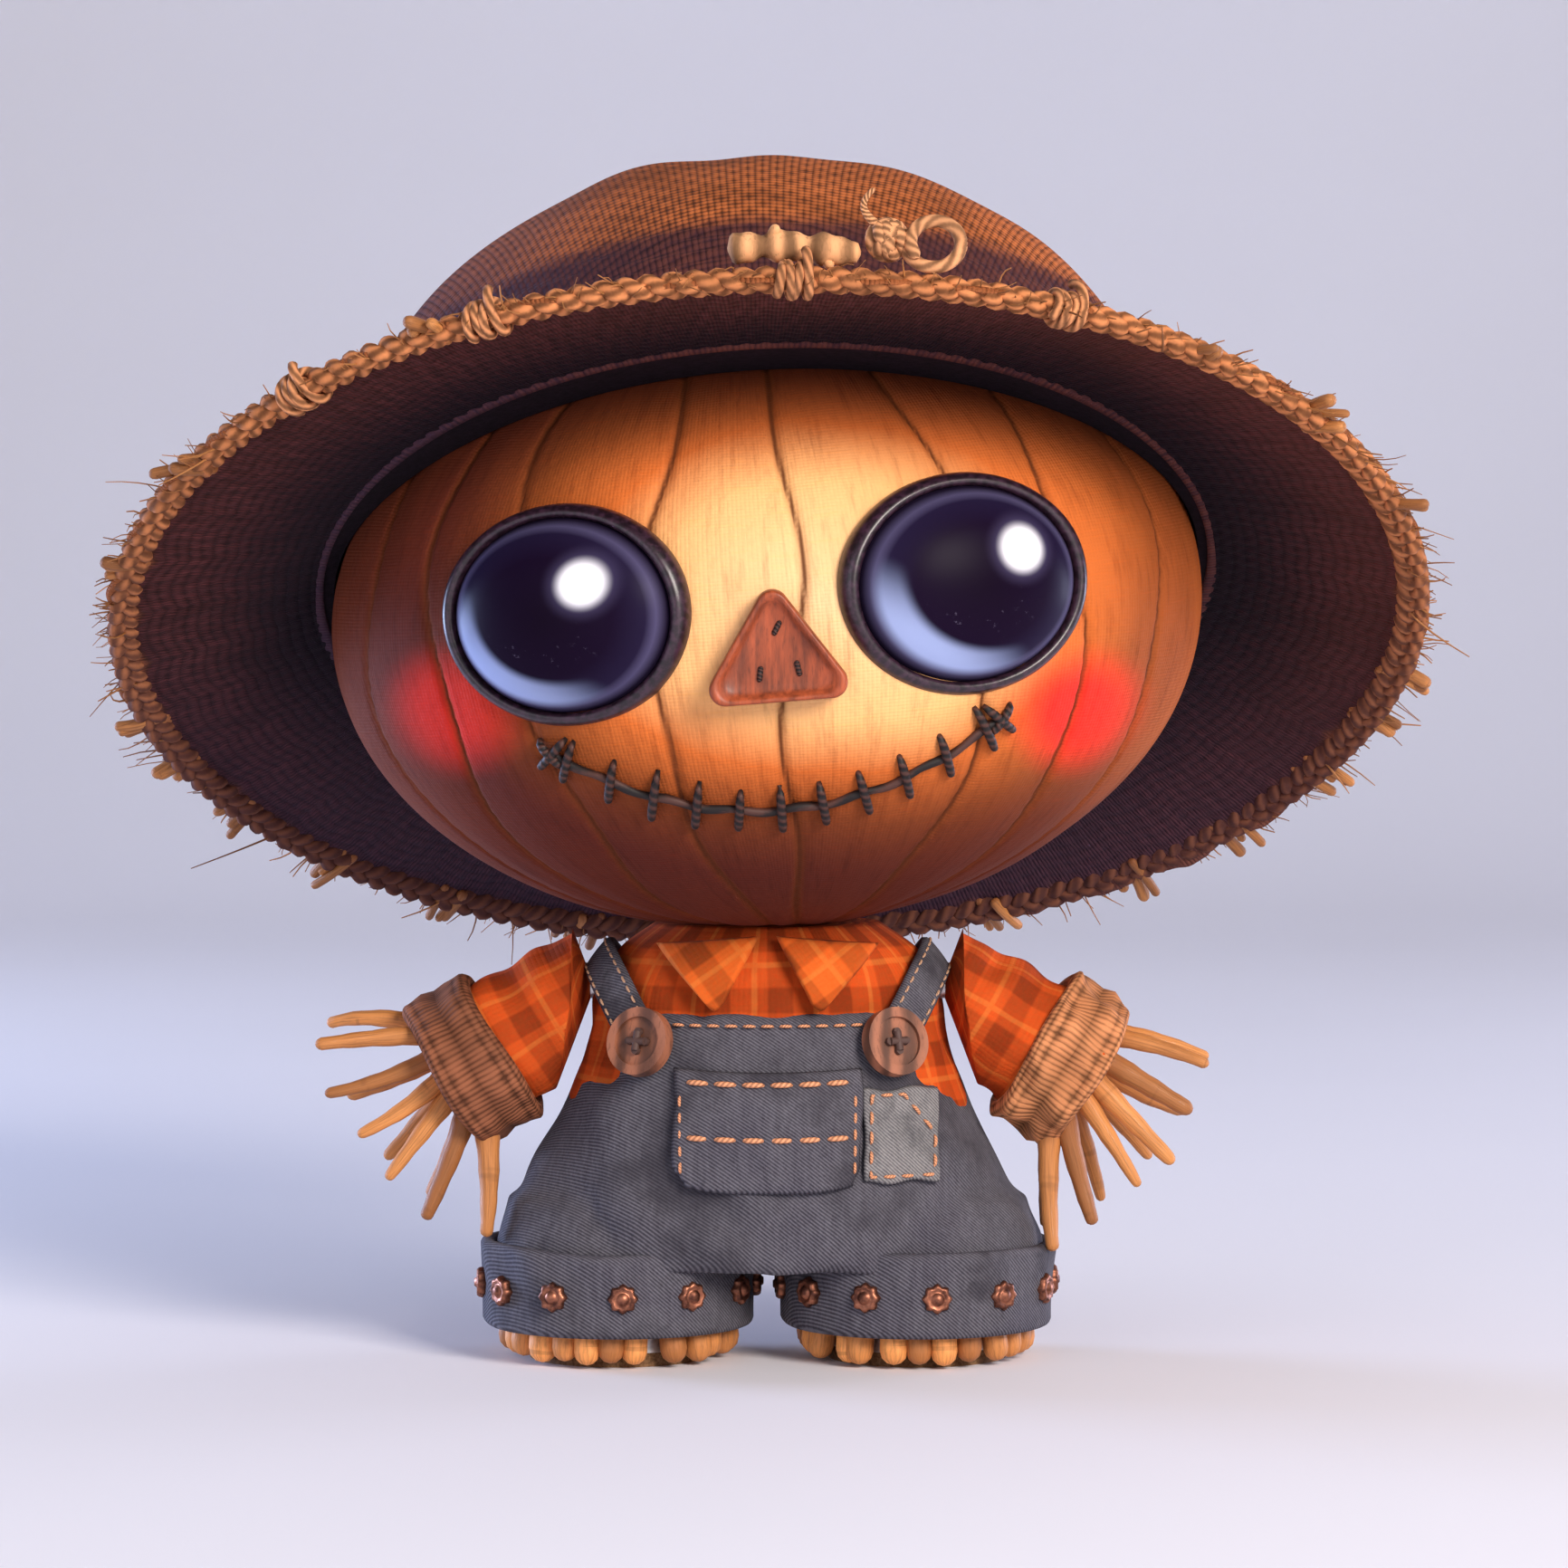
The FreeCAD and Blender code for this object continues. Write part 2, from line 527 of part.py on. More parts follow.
def hat():
    """A dome crown, a sloping brim, its cord, ties and band, and wadding that fits it to the head."""
    over_seat = slab("over_brim_seat", "brim_seat", "2 * crown_rise")
    dome = cut("crown_solid", crown_shape("crown_dome"), crown_shape("crown_hollow", "-crown_wall"))
    keep("hat_crown", common("crown_over_seat", dome, over_seat))
    cord = rim_torus("rim_ring", "rim_cord")
    cord_room = rim_torus("rim_room", "rim_cord + seat_gap")
    disc = cylinder("brim_disc", chain(HAT, at("0", "0", "brim_low")), "brim_radius",
                    "brim_seat - brim_low + brim_wall")
    sheet_only = cut("brim_sloped", common("brim_top", disc, under_brim("brim_upper", "brim_wall")),
                     under_brim("brim_under", "0"))
    opening = cut("brim_ring", sheet_only, crown_shape("brim_opening", "seat_gap"))
    brim = cut("brim_edge", opening, cord_room)
    for number, turn in enumerate(TIE_TURNS):
        notch = tie_ring("tie_room_%d" % number, str(turn), "tie + seat_gap")
        brim = cut("brim_notch_%d" % number, brim, notch)
    keep("hat_brim", brim)
    keep("rim_cord", cord)
    ties = [tie_ring("tie_%d" % number, str(turn), "tie") for number, turn in enumerate(TIE_TURNS)]
    keep("rim_ties", group("tie_group", ties))
    over = crown_shape("band_outside", "band_wall + seat_gap")
    band = cut("band_shell", over, crown_shape("band_inside", "seat_gap"))
    zone = slab("band_zone", "brim_seat + brim_wall + seat_gap", "brim_seat + brim_wall + band_high")
    keep("hat_band", common("band_solid", band, zone))
    pad = common("wadding_block", crown_shape("wadding_outside", "-(crown_wall + seat_gap)"),
                 slab("wadding_zone", "0", "brim_seat + sweatband_high"))
    rooms = fuse("wadding_rooms", head_surface("head_in_wadding", "seat_gap"),
                 under_brim("wadding_slope", "0"))
    keep("hat_sweatband", cut("wadding_solid", pad, rooms))
    stubs = []
    for number, turn in enumerate(STUB_TURNS):
        on_cord = round_the_hat(str(turn), "brim_radius + rim_cord + seat_gap", "rim_middle")
        root = chain(on_cord, at("0", "0", "0", "0; 1; 0", "90"))
        stubs.append(cone("stub_%d" % number, root, "stub", "stub / 2", "stub_out"))
    keep("brim_straws", group("stub_group", stubs))


def rim_trim():
    """A twig laid along the front of the rim cord, with a knot and a loop of twine beside it."""
    over_cord = "rim_middle + rim_cord + seat_gap"
    start = chain(round_the_hat("-90", "brim_radius - 1", over_cord + " + twig + tie * 2 + 0.4"),
                  at("0", "-3", "0", "1; 0; 0", "-90"))
    keep("hat_twig", cone("twig_solid", start, "twig", "0.75 * twig", "twig_long"))
    knot_at = at("0", "twig_long + 1.5", "0")
    beside = chain(round_the_hat("-90", "brim_radius - 1", over_cord + " + knot"), knot_at)
    ball = ellipsoid("knot_ball", beside, "knot", "0.9 * knot", "0.8 * knot")
    ring = chain(beside, at("0", "knot + loop + 1", "0", "0; 1; 0", "90"))
    twine = solid("Torus", "loop_ring", ring, Radius1="loop", Radius2="loop_twine")
    room = ellipsoid("knot_room", beside, "knot + seat_gap", "0.9 * knot + seat_gap",
                     "0.8 * knot + seat_gap")
    cord_room = rim_torus("rim_under_loop", "rim_cord + seat_gap")
    free_loop = cut("loop_solid", twine, fuse("loop_rooms", room, cord_room))
    clear_ball = cut("knot_solid", ball, twine)
    keep("hat_knot", group("knot_group", [cut("knot_on_cord", clear_ball, cord_room), free_loop]))


# ---- the neck joint: two discs on one bolt, held by a locknut ----

TRUNK_DISC_TOP = "trunk_top - shirt - stuffing_gap"
HEAD_DISC_LOW = "neck_plane + turning_gap / 2 + cover_wall + seat_gap"


def drilled(name, body, place, radius, long):
    return cut(name, body, cylinder(name + "_drill", place, radius, long))


def neck_joint():
    low_start = TRUNK_DISC_TOP + " - disc_thick"
    low = cylinder("low_disc", at("0", "0", low_start), "neck_disc_low", "disc_thick")
    keep("neck_disc_lower", drilled("low_disc_solid", low, at("0", "0", low_start + " - tool_past"),
                                    "neck_bolt + seat_gap", "disc_thick + 2 * tool_past"))
    high = cylinder("high_disc", at("0", "0", HEAD_DISC_LOW), "neck_disc", "disc_thick")
    keep("neck_disc_upper", drilled("high_disc_solid", high, at("0", "0", HEAD_DISC_LOW + " - tool_past"),
                                    "neck_bolt + running_gap", "disc_thick + 2 * tool_past"))
    washer_low = HEAD_DISC_LOW + " + disc_thick + seat_gap"
    plate = cylinder("neck_plate", at("0", "0", washer_low), "neck_washer", "washer_thick")
    keep("neck_washer", drilled("neck_washer_solid", plate, at("0", "0", washer_low + " - tool_past"),
                                "neck_bolt + running_gap", "washer_thick + 2 * tool_past"))
    head_low = low_start + " - seat_gap - neck_hex_high"
    nut_low = washer_low + " + washer_thick + turning_gap"
    shank = cylinder("neck_shank", at("0", "0", head_low), "neck_bolt",
                     "(%s + neck_nut_high + bolt_past) - (%s)" % (nut_low, head_low))
    keep("neck_bolt", fuse("neck_bolt_solid", hexagon("neck_bolt_head", at("0", "0", head_low), "neck_hex",
                                                      "neck_hex_high"), shank))
    nut = hexagon("neck_nut_block", at("0", "0", nut_low), "neck_hex", "neck_nut_high")
    keep("neck_locknut", drilled("neck_nut_solid", nut, at("0", "0", nut_low + " - tool_past"),
                                 "neck_bolt + seat_gap", "neck_nut_high + 2 * tool_past"))


# ---- the trunk and its clothes ----

OVALS = (("trunk_low", "hip"), ("trunk_low + seat_rise", "seat"), ("trunk_low + waist_rise", "waist"),
         ("trunk_low + chest_rise", "chest"), ("shoulder_high + arm_rise", "arm"),
         ("trunk_top - slope_drop", "slope"), ("trunk_top - 0.02 * seat_gap", "top"))


def trunk_shape(name, inset="0"):
    """The trunk as a loft through oval sections, each drawn in by the same amount."""
    ovals = []
    for number, (height, station) in enumerate(OVALS):
        oval = doc.addObject("Part::Ellipse", "%s_oval_%d" % (name, number))
        oval.setExpression("MajorRadius", words("%s_wide - (%s)" % (station, inset)))
        oval.setExpression("MinorRadius", words("%s_deep - (%s)" % (station, inset)))
        oval.setExpression("Placement", words(at("0", "0", height)))
        ovals.append(oval)
    loft = doc.addObject("Part::Loft", name)
    loft.Sections = ovals
    loft.Solid = True
    loft.Ruled = False
    return loft


def leg_tube(name, side, radius, low, high):
    return cylinder(name, at("%d * leg_side" % side, "0", low), radius, "(%s) - (%s)" % (high, low))


SHIRT_INSET = "denim + stuffing_gap"
CORE_INSET = "denim + shirt + 2 * stuffing_gap"
WIDE = "2 * hip_wide"
ABOVE_ALL = "2 * trunk_top"
LEG_OVERLAP = "4 * denim"


def shoulder_rod(name, side, radius, start, end):
    """A rod along a shoulder bolt's axis between two distances from the middle line."""
    place = at("%d * (%s)" % (side, start), "0", "shoulder_high", "0; 1; 0", "%d" % (90 * side))
    return cylinder(name, place, radius, "(%s) - (%s)" % (end, start))


def overalls():
    """One denim shell with two leg tubes; its upper edge is higher at the front and back bibs."""
    outside = [trunk_shape("overalls_outside")]
    over_crotch = box("over_crotch", ("-" + WIDE, "-" + WIDE, "trunk_low + denim"), (WIDE, WIDE, ABOVE_ALL))
    inside = [common("overalls_room", trunk_shape("overalls_inside", "denim"), over_crotch)]
    for label, side in SIDES:
        outside.append(leg_tube("leg_outside_" + label, side, "leg", "leg_hem", "trunk_low + " + LEG_OVERLAP))
        inside.append(leg_tube("leg_inside_" + label, side, "leg - denim", "leg_hem - tool_past",
                               "trunk_low - denim + " + LEG_OVERLAP))
    shell = cut("overalls_shell", fuse("overalls_full", *outside), fuse("overalls_hollow", *inside))
    trim = [box("over_bib", ("-" + WIDE, "-" + WIDE, "bib_top"), (WIDE, WIDE, ABOVE_ALL))]
    for label, side in SIDES:
        low, high = ("bib_half", WIDE) if side > 0 else ("-" + WIDE, "-bib_half")
        trim.append(box("side_cut_" + label, (low, "-" + WIDE, "side_edge"), (high, WIDE, ABOVE_ALL)))
    keep("overalls", cut("overalls_solid", shell, fuse("overalls_trim", *trim)))


def outer_layer(name, outline, low, thick):
    """A piece that lies on the trunk: an outline pushed through the layer from low to low + thick."""
    over = trunk_shape(name + "_over", "-(%s + %s)" % (low, thick))
    shell = cut(name + "_shell", over, trunk_shape(name + "_under", "-(%s)" % low))
    return common(name + "_solid", shell, outline)


def wing(label, side):
    """One collar wing: a triangle pushed through the layer that lies on the shirt."""
    corners = [("collar_in", "collar_high"), ("collar_out", "collar_high"),
               ("collar_tip_side", "collar_tip")]
    front = -2 * size("arm_deep")
    points = [FreeCAD.Vector(side * size(x), front, size(z)) for x, z in corners]
    face = Part.Face(Part.makePolygon(points + points[:1]))
    outline = doc.addObject("Part::Feature", "wing_outline_" + label)
    outline.Shape = face.extrude(FreeCAD.Vector(0, -front, 0))
    low = "-(%s) + seat_gap" % SHIRT_INSET
    keep("collar_" + label, outer_layer("wing_" + label, outline, low, "collar_wall"))


def size(alias):
    return float(sheet.get(alias))


def straps():
    """Two straps over the shoulders, leaning outwards, from the bib in front to the bib behind."""
    middle = at("-strap_side", "0", "button_height", "0; 1; 0", "-strap_lean")
    corner = chain(middle, at("-strap_wide / 2", "-" + WIDE, "-button / 2"))
    slat = solid("Box", "strap_slat", corner, Length="strap_wide", Width="4 * hip_wide",
                 Height="trunk_top - button_height + button")
    room = box("strap_room", ("-(arm_start - shoulder_gap)", "-" + WIDE, "trunk_low"),
               ("0", WIDE, "neck_plane - strap_wall"))
    right = outer_layer("strap", common("strap_outline", slat, room), "seat_gap", "strap_wall")
    keep("strap_right", right)
    left = doc.addObject("Part::Mirroring", "strap_mirror")
    left.Source = right
    left.Normal = FreeCAD.Vector(1, 0, 0)
    keep("strap_left", left)


def button(label, side):
    """A wooden button: a padded disc with a dished face and four holes in a ring."""
    body = doc.addObject("PartDesign::Body", "button_body_" + label)
    rim = sketch(body, "button_rim_" + label, "XY_Plane")
    rim.addGeometry(Part.Circle(FreeCAD.Vector(0, 0, 0), FreeCAD.Vector(0, 0, 1), 7), False)
    rim.addConstraint(Sketcher.Constraint("Coincident", 0, 3, -1, 1))
    number = rim.addConstraint(Sketcher.Constraint("Radius", 0, 7))
    rim.setExpression("Constraints[%d]" % number, words("button"))
    pad = body.newObject("PartDesign::Pad", "button_pad_" + label)
    pad.Profile = rim
    pad.setExpression("Length", words("button_thick"))
    doc.recompute()
    full = pad.Shape.Volume
    dish = sketch(body, "button_dish_" + label, "XY_Plane")
    dish.AttachmentOffset.Base = FreeCAD.Vector(0, 0, 1)
    dish.setExpression("AttachmentOffset.Base.z", words("button_thick"))
    dish.addGeometry(Part.Circle(FreeCAD.Vector(0, 0, 0), FreeCAD.Vector(0, 0, 1), 5), False)
    dish.addConstraint(Sketcher.Constraint("Coincident", 0, 3, -1, 1))
    number = dish.addConstraint(Sketcher.Constraint("Radius", 0, 5))
    dish.setExpression("Constraints[%d]" % number, words("button_dish_radius"))
    hollow = body.newObject("PartDesign::Pocket", "button_hollow_" + label)
    hollow.Profile = dish
    hollow.setExpression("Length", words("button_dish"))
    doc.recompute()
    if hollow.Shape.Volume >= full:
        raise RuntimeError("the button's dish cuts nothing")
    hole = sketch(body, "button_hole_" + label, "XY_Plane")
    hole.addGeometry(Part.Circle(FreeCAD.Vector(2, 0, 0), FreeCAD.Vector(0, 0, 1), 1), False)
    hole.addConstraint(Sketcher.Constraint("PointOnObject", 0, 3, -1))
    number = hole.addConstraint(Sketcher.Constraint("Radius", 0, 1))
    hole.setExpression("Constraints[%d]" % number, words("button_hole"))
    distance(hole, "DistanceX", (-1, 1), (0, 3), "button_holes_out", 2)
    drill = body.newObject("PartDesign::Pocket", "button_drill_" + label)
    drill.Profile = hole
    drill.Type = 1
    drill.Reversed = True
    pattern = body.newObject("PartDesign::PolarPattern", "button_ring_" + label)
    pattern.Originals = [drill]
    pattern.Axis = (origin_plane(body, "Z_Axis"), [""])
    pattern.Angle = 360
    pattern.Occurrences = BUTTON_HOLES
    body.Tip = pattern
    doc.recompute()
    if pattern.Shape.Volume >= hollow.Shape.Volume:
        raise RuntimeError("the button's holes cut nothing")
    body.setExpression("Placement", words(button_place(side)))
    return body


def button_place(side):
    """A button's back lies on its strap: the chest's oval sets how far forward, and its turn."""
    over = "strap_wall + 2 * seat_gap"
    front = "(chest_deep + %s) * sqrt(1 - (strap_side / (chest_wide + %s))^2)" % (over, over)
    yaw = "atan2(strap_side / (chest_wide + %s)^2; (%s) / (chest_deep + %s)^2)" % (over, front, over)
    on_strap = at("%d * strap_side" % side, "-(%s) - button_lift" % front, "button_height", "0; 0; 1",
                  "%d * %s" % (side, yaw))
    return chain(on_strap, at("0", "0", "0", "1; 0; 0", "90 - button_lean"))


def button_thread(label, side):
    """Two stitches through the holes of one button, crossing on its face and reaching the strap."""
    pieces = []
    thick = "button_hole - seat_gap"
    for number in range(BUTTON_HOLES):
        turned = at("0", "0", "0", "0; 0; 1", "%d * 360 / %d" % (number, BUTTON_HOLES))
        place = chain(button_place(side), turned, at("button_holes_out", "0", "0"))
        pieces.append(cylinder("thread_leg_%s_%d" % (label, number), place, thick, "button_thick"))
    for number in range(BUTTON_HOLES // 2):
        turned = at("0", "0", "button_thick - button_dish + button_hole", "0; 0; 1",
                    "%d * 360 / %d" % (number, BUTTON_HOLES))
        place = chain(button_place(side), turned, at("-button_holes_out", "0", "0", "0; 1; 0", "90"))
        pieces.append(cylinder("thread_bar_%s_%d" % (label, number), place, thick, "2 * button_holes_out"))
    return fuse("thread_" + label, *pieces)


def trunk():
    """Shirt, stuffing, bib pocket, patch, collar, straps and buttons round the trunk's loft."""
    overalls()
    shirt_room = box("over_hem", ("-" + WIDE, "-" + WIDE, "shirt_hem"), (WIDE, WIDE, ABOVE_ALL))
    shirt_full = common("shirt_full", trunk_shape("shirt_outside", SHIRT_INSET), shirt_room)
    shirt_low = box("under_shirt_top", ("-" + WIDE, "-" + WIDE, "0"), (WIDE, WIDE, "trunk_top - shirt"))
    shirt_core = trunk_shape("shirt_inside", "%s + shirt" % SHIRT_INSET)
    shirt_hollow = common("shirt_hollow", shirt_core, shirt_low)
    holes = [cylinder("shirt_neck_hole", at("0", "0", "trunk_top - shirt - tool_past"),
                      "neck_bolt + seat_gap", "shirt + 2 * tool_past")]
    for label, side in SIDES:
        holes.append(shoulder_rod("shirt_hole_" + label, side, "arm_bolt + seat_gap",
                                  "trunk_disc_at + arm_disc_thick", "2 * arm_wide"))
    shell = cut("shirt_shell", shirt_full, shirt_hollow)
    keep("shirt", cut("shirt_solid", shell, fuse("shirt_holes", *holes)))
    low_part = box("stuffing_room", ("-" + WIDE, "-" + WIDE, "trunk_low + denim + stuffing_gap"),
                     (WIDE, WIDE, TRUNK_DISC_TOP))
    inner = common("trunk_block", trunk_shape("trunk_inside", CORE_INSET), low_part)
    well_low = TRUNK_DISC_TOP + " - disc_thick - neck_hex_high - tool_past"
    wells = [cylinder("trunk_well", at("0", "0", well_low), "neck_disc_low + well_gap", "trunk_top")]
    for label, side in SIDES:
        wells.append(shoulder_rod("shoulder_well_" + label, side, "arm_disc + well_gap",
                                  "trunk_disc_at - arm_nut_high - bolt_past - tool_past", "2 * arm_wide"))
    keep("trunk_stuffing", cut("trunk_solid", inner, fuse("trunk_wells", *wells)))
    pocket = box("pocket_outline", ("-pocket_half", "-" + WIDE, "pocket_low"),
                 ("pocket_half", "0", "pocket_top"))
    keep("bib_pocket", outer_layer("pocket", pocket, "seat_gap", "patch_wall"))
    patch = box("patch_outline", ("pocket_half + patch_gap", "-" + WIDE, "pocket_low + patch_rise"),
                ("pocket_half + patch_gap + patch_wide", "0", "pocket_low + patch_rise + patch_tall"))
    keep("bib_patch", outer_layer("patch", patch, "seat_gap", "patch_wall"))
    for label, side in SIDES:
        wing(label, side)
    straps()
    keep("strap_buttons", group("button_group", [button(label, side) for label, side in SIDES]))
    keep("button_threads", group("thread_group", [button_thread(label, side) for label, side in SIDES]))


# ---- the legs: cuffs with studs, weights, sole boards and straw ----

def legs():
    studs = []
    weights = []
    for label, side in SIDES:
        core = leg_tube("leg_core_" + label, side, "leg - denim - stuffing_gap",
                        "toe_top + stuffing_gap", "trunk_low + denim - stuffing_gap")
        keep("leg_stuffing_" + label, core)
        ring = leg_tube("cuff_outside_" + label, side, "leg + seat_gap + cuff_wall", "cuff_low", "cuff_top")
        room = leg_tube("cuff_inside_" + label, side, "leg + seat_gap", "cuff_low - tool_past",
                        "cuff_top + tool_past")
        keep("trouser_cuff_" + label, cut("cuff_solid_" + label, ring, room))
        sole = leg_tube("sole_board_" + label, side, "sole", "0", "sole_thick")
        keep("sole_" + label, sole)
        weights.append(leg_tube("leg_weight_" + label, side, "sole", "sole_thick + seat_gap",
                                "sole_thick + seat_gap + weight_thick"))
        bundle = []
        toes = int(2 * math.pi * size("toe_ring") / (2 * size("toe") + size("toe_gap")))
        for number in range(toes):
            turn = "%d * 360 / %d" % (number, toes)
            middle = at("%d * leg_side" % side, "0", "toe_low", "0; 0; 1", turn)
            place = chain(middle, at("toe_ring", "0", "0"))
            bundle.append(cylinder("toe_%s_%d" % (label, number), place, "toe", "toe_top - toe_low"))
        keep("foot_straw_" + label, group("toe_group_" + label, bundle))
        for number in range(int(size("studs"))):
            turn = "(%d + 0.5) * 360 / studs" % number
            middle = at("%d * leg_side" % side, "0", "(cuff_low + cuff_top) / 2", "0; 0; 1", turn)
            place = chain(middle, at("leg", "0", "0", "0; 1; 0", "90"))
            head_disc = cylinder("stud_disc_%s_%d" % (label, number), place, "stud",
                                 "2 * seat_gap + cuff_wall + stud_proud")
            stud_room = leg_tube("stud_room_%s_%d" % (label, number), side, "leg + 2 * seat_gap + cuff_wall",
                                 "cuff_low", "cuff_top")
            studs.append(cut("stud_%s_%d" % (label, number), head_disc, stud_room))
    keep("cuff_studs", group("stud_group", studs))
    keep("leg_weights", group("weight_group", weights))


# ---- the arms: sleeve, rolled cuff, stuffing, disc, binding and hand straw ----

def arm_place(side, along="0"):
    """The arm's own frame: +Z runs down the arm from the shoulder bolt."""
    turn = "%d * (90 + arm_drop)" % side
    return chain(at("%d * arm_start" % side, "0", "shoulder_high", "0; 1; 0", turn), at("0", "0", along))


def arm_block(name, side, inset, start, long):
    """A tapering sleeve with a round shoulder, kept clear of the trunk by a flat cone round the bolt."""
    end = "shoulder + (wrist - shoulder) * (%s) / sleeve_long - (%s)" % (long, inset)
    taper = cone(name + "_taper", arm_place(side), "shoulder - (%s)" % inset, end, long)
    ball = solid("Sphere", name + "_ball", arm_place(side), Radius="shoulder - (%s)" % inset)
    whole = fuse(name + "_whole", taper, ball)
    place = at("%d * (%s)" % (side, start), "0", "shoulder_high", "0; 1; 0", "%d" % (90 * side))
    room = cone(name + "_room", place, "0", "sleeve_long * 2 / arm_flare", "sleeve_long * 2")
    return common(name, whole, room)


def arm(label, side):
    outside = arm_block("sleeve_outside_" + label, side, "0", "arm_start", "sleeve_long")
    lining = "arm_start + 1.1 * sleeve_wall"
    inside = arm_block("sleeve_inside_" + label, side, "sleeve_wall", lining, "sleeve_long + tool_past")
    hole = shoulder_rod("sleeve_hole_" + label, side, "arm_bolt + running_gap", "arm_start - tool_past",
                        "arm_start + shoulder")
    keep("sleeve_" + label, cut("sleeve_solid_" + label, outside, fuse("sleeve_room_" + label, inside, hole)))
    disc_at = "%s + arm_flare * arm_disc + seat_gap" % lining
    disc = shoulder_rod("arm_disc_block_" + label, side, "arm_disc", disc_at, disc_at + " + arm_disc_thick")
    bore = shoulder_rod("arm_disc_bore_" + label, side, "arm_bolt + running_gap", disc_at + " - tool_past",
                        disc_at + " + arm_disc_thick + tool_past")
    keep("arm_disc_" + label, cut("arm_disc_solid_" + label, disc, bore))
    wad = arm_block("wad_" + label, side, "sleeve_wall + stuffing_gap", lining + " + stuffing_gap",
                    "finger_root - 2")
    well = shoulder_rod("arm_well_" + label, side, "arm_disc + well_gap", "arm_start - tool_past",
                        disc_at + " + arm_disc_thick + arm_hex_high + 3 * tool_past")
    keep("arm_stuffing_" + label, cut("wad_solid_" + label, wad, well))
    roll_place = arm_place(side, "roll_start")
    roll = cylinder("roll_outside_" + label, roll_place, "wrist + seat_gap + roll_wall", "roll_long")
    slope = "(wrist - shoulder) / sleeve_long"
    core = cone("roll_inside_" + label, arm_place(side), "shoulder + seat_gap",
                "shoulder + seat_gap + 2 * sleeve_long * %s" % slope, "2 * sleeve_long")
    keep("sleeve_cuff_" + label, cut("roll_solid_" + label, roll, core))
    hand(label, side)
    return disc_at


def hand(label, side):
    """Two rows of tapered straws that fan out from the wrist."""
    straws = []
    for row in (-1, 1):
        for number in range(FINGERS_IN_ROW):
            step = number - (FINGERS_IN_ROW - 1) / 2 + row * FINGER_STAGGER
            across = "%.3f * finger_pitch" % step
            fan = at("0", "0", "0", "0; 1; 0", "%.3f * finger_fan" % step)
            splay = at("0", "0", "0", "1; 0; 0", "%d * finger_splay" % -row)
            root = at(across, "%d * finger_pitch / 2" % row, "0")
            place = chain(arm_place(side, "finger_root"), root, fan, splay)
            straws.append(cone("finger_%s_%d_%d" % (label, row, number), place, "finger", "finger_tip",
                               "finger_long"))
    keep("hand_straw_" + label, group("finger_group_" + label, straws))


def shoulder_joints(disc_at):
    """For each shoulder: a disc in the trunk, and a bolt through both discs with a locknut."""
    discs = []
    bolts = []
    nuts = []
    for label, side in SIDES:
        plate = shoulder_rod("trunk_plate_" + label, side, "arm_disc", "trunk_disc_at",
                             "trunk_disc_at + arm_disc_thick")
        bore = shoulder_rod("trunk_plate_bore_" + label, side, "arm_bolt + seat_gap",
                            "trunk_disc_at - tool_past", "trunk_disc_at + arm_disc_thick + tool_past")
        discs.append(cut("trunk_disc_" + label, plate, bore))
        bolt_end = disc_at + " + arm_disc_thick + turning_gap"
        shank = shoulder_rod("arm_shank_" + label, side, "arm_bolt",
                             "trunk_disc_at - arm_nut_high - bolt_past", bolt_end + " + arm_hex_high / 2")
        place = at("%d * (%s)" % (side, bolt_end), "0", "shoulder_high", "0; 1; 0", "%d" % (90 * side))
        bolts.append(fuse("arm_bolt_" + label, shank, hexagon("arm_bolt_head_" + label, place, "arm_hex",
                                                              "arm_hex_high")))
        nut_side = "%d * (trunk_disc_at - seat_gap - arm_nut_high)" % side
        nut_place = at(nut_side, "0", "shoulder_high", "0; 1; 0",
                       "%d" % (90 * side))
        nut = hexagon("arm_nut_block_" + label, nut_place, "arm_hex", "arm_nut_high")
        drill = shoulder_rod("arm_nut_drill_" + label, side, "arm_bolt + seat_gap",
                             "trunk_disc_at - arm_nut_high - bolt_past - tool_past",
                             "trunk_disc_at + tool_past")
        nuts.append(cut("arm_nut_" + label, nut, drill))
    keep("shoulder_discs", group("trunk_disc_group", discs))
    keep("shoulder_bolts", group("arm_bolt_group", bolts))
    keep("shoulder_locknuts", group("arm_nut_group", nuts))


head()
nose()
mouth()
hat()
rim_trim()
neck_joint()
trunk()
legs()
for label, side in SIDES:
    arm_disc_at = arm(label, side)
shoulder_joints(arm_disc_at)

doc.recompute()
for made in doc.Objects:
    if "Invalid" in made.State or "Error" in made.State:
        raise RuntimeError("%s could not be worked out: %s" % (made.Name, made.State))
for label, made in nodes.items():
    if made.Shape.isNull() or not made.Shape.isValid() or not made.Shape.Solids:
        raise RuntimeError("%s has no valid solid" % label)
os.makedirs("parts", exist_ok=True)
for label, made in nodes.items():
    made.Shape.exportStep(os.path.join("parts", label + ".step"))
    print("%-20s solids %3d  volume %10.1f" % (label, len(made.Shape.Solids), made.Shape.Volume))
print("%d nodes" % len(nodes))
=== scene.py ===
import json
import math

import bmesh
import bpy
import numpy as np
from bpy.props import FloatProperty, FloatVectorProperty, IntProperty, PointerProperty
from mathutils import Matrix, Vector


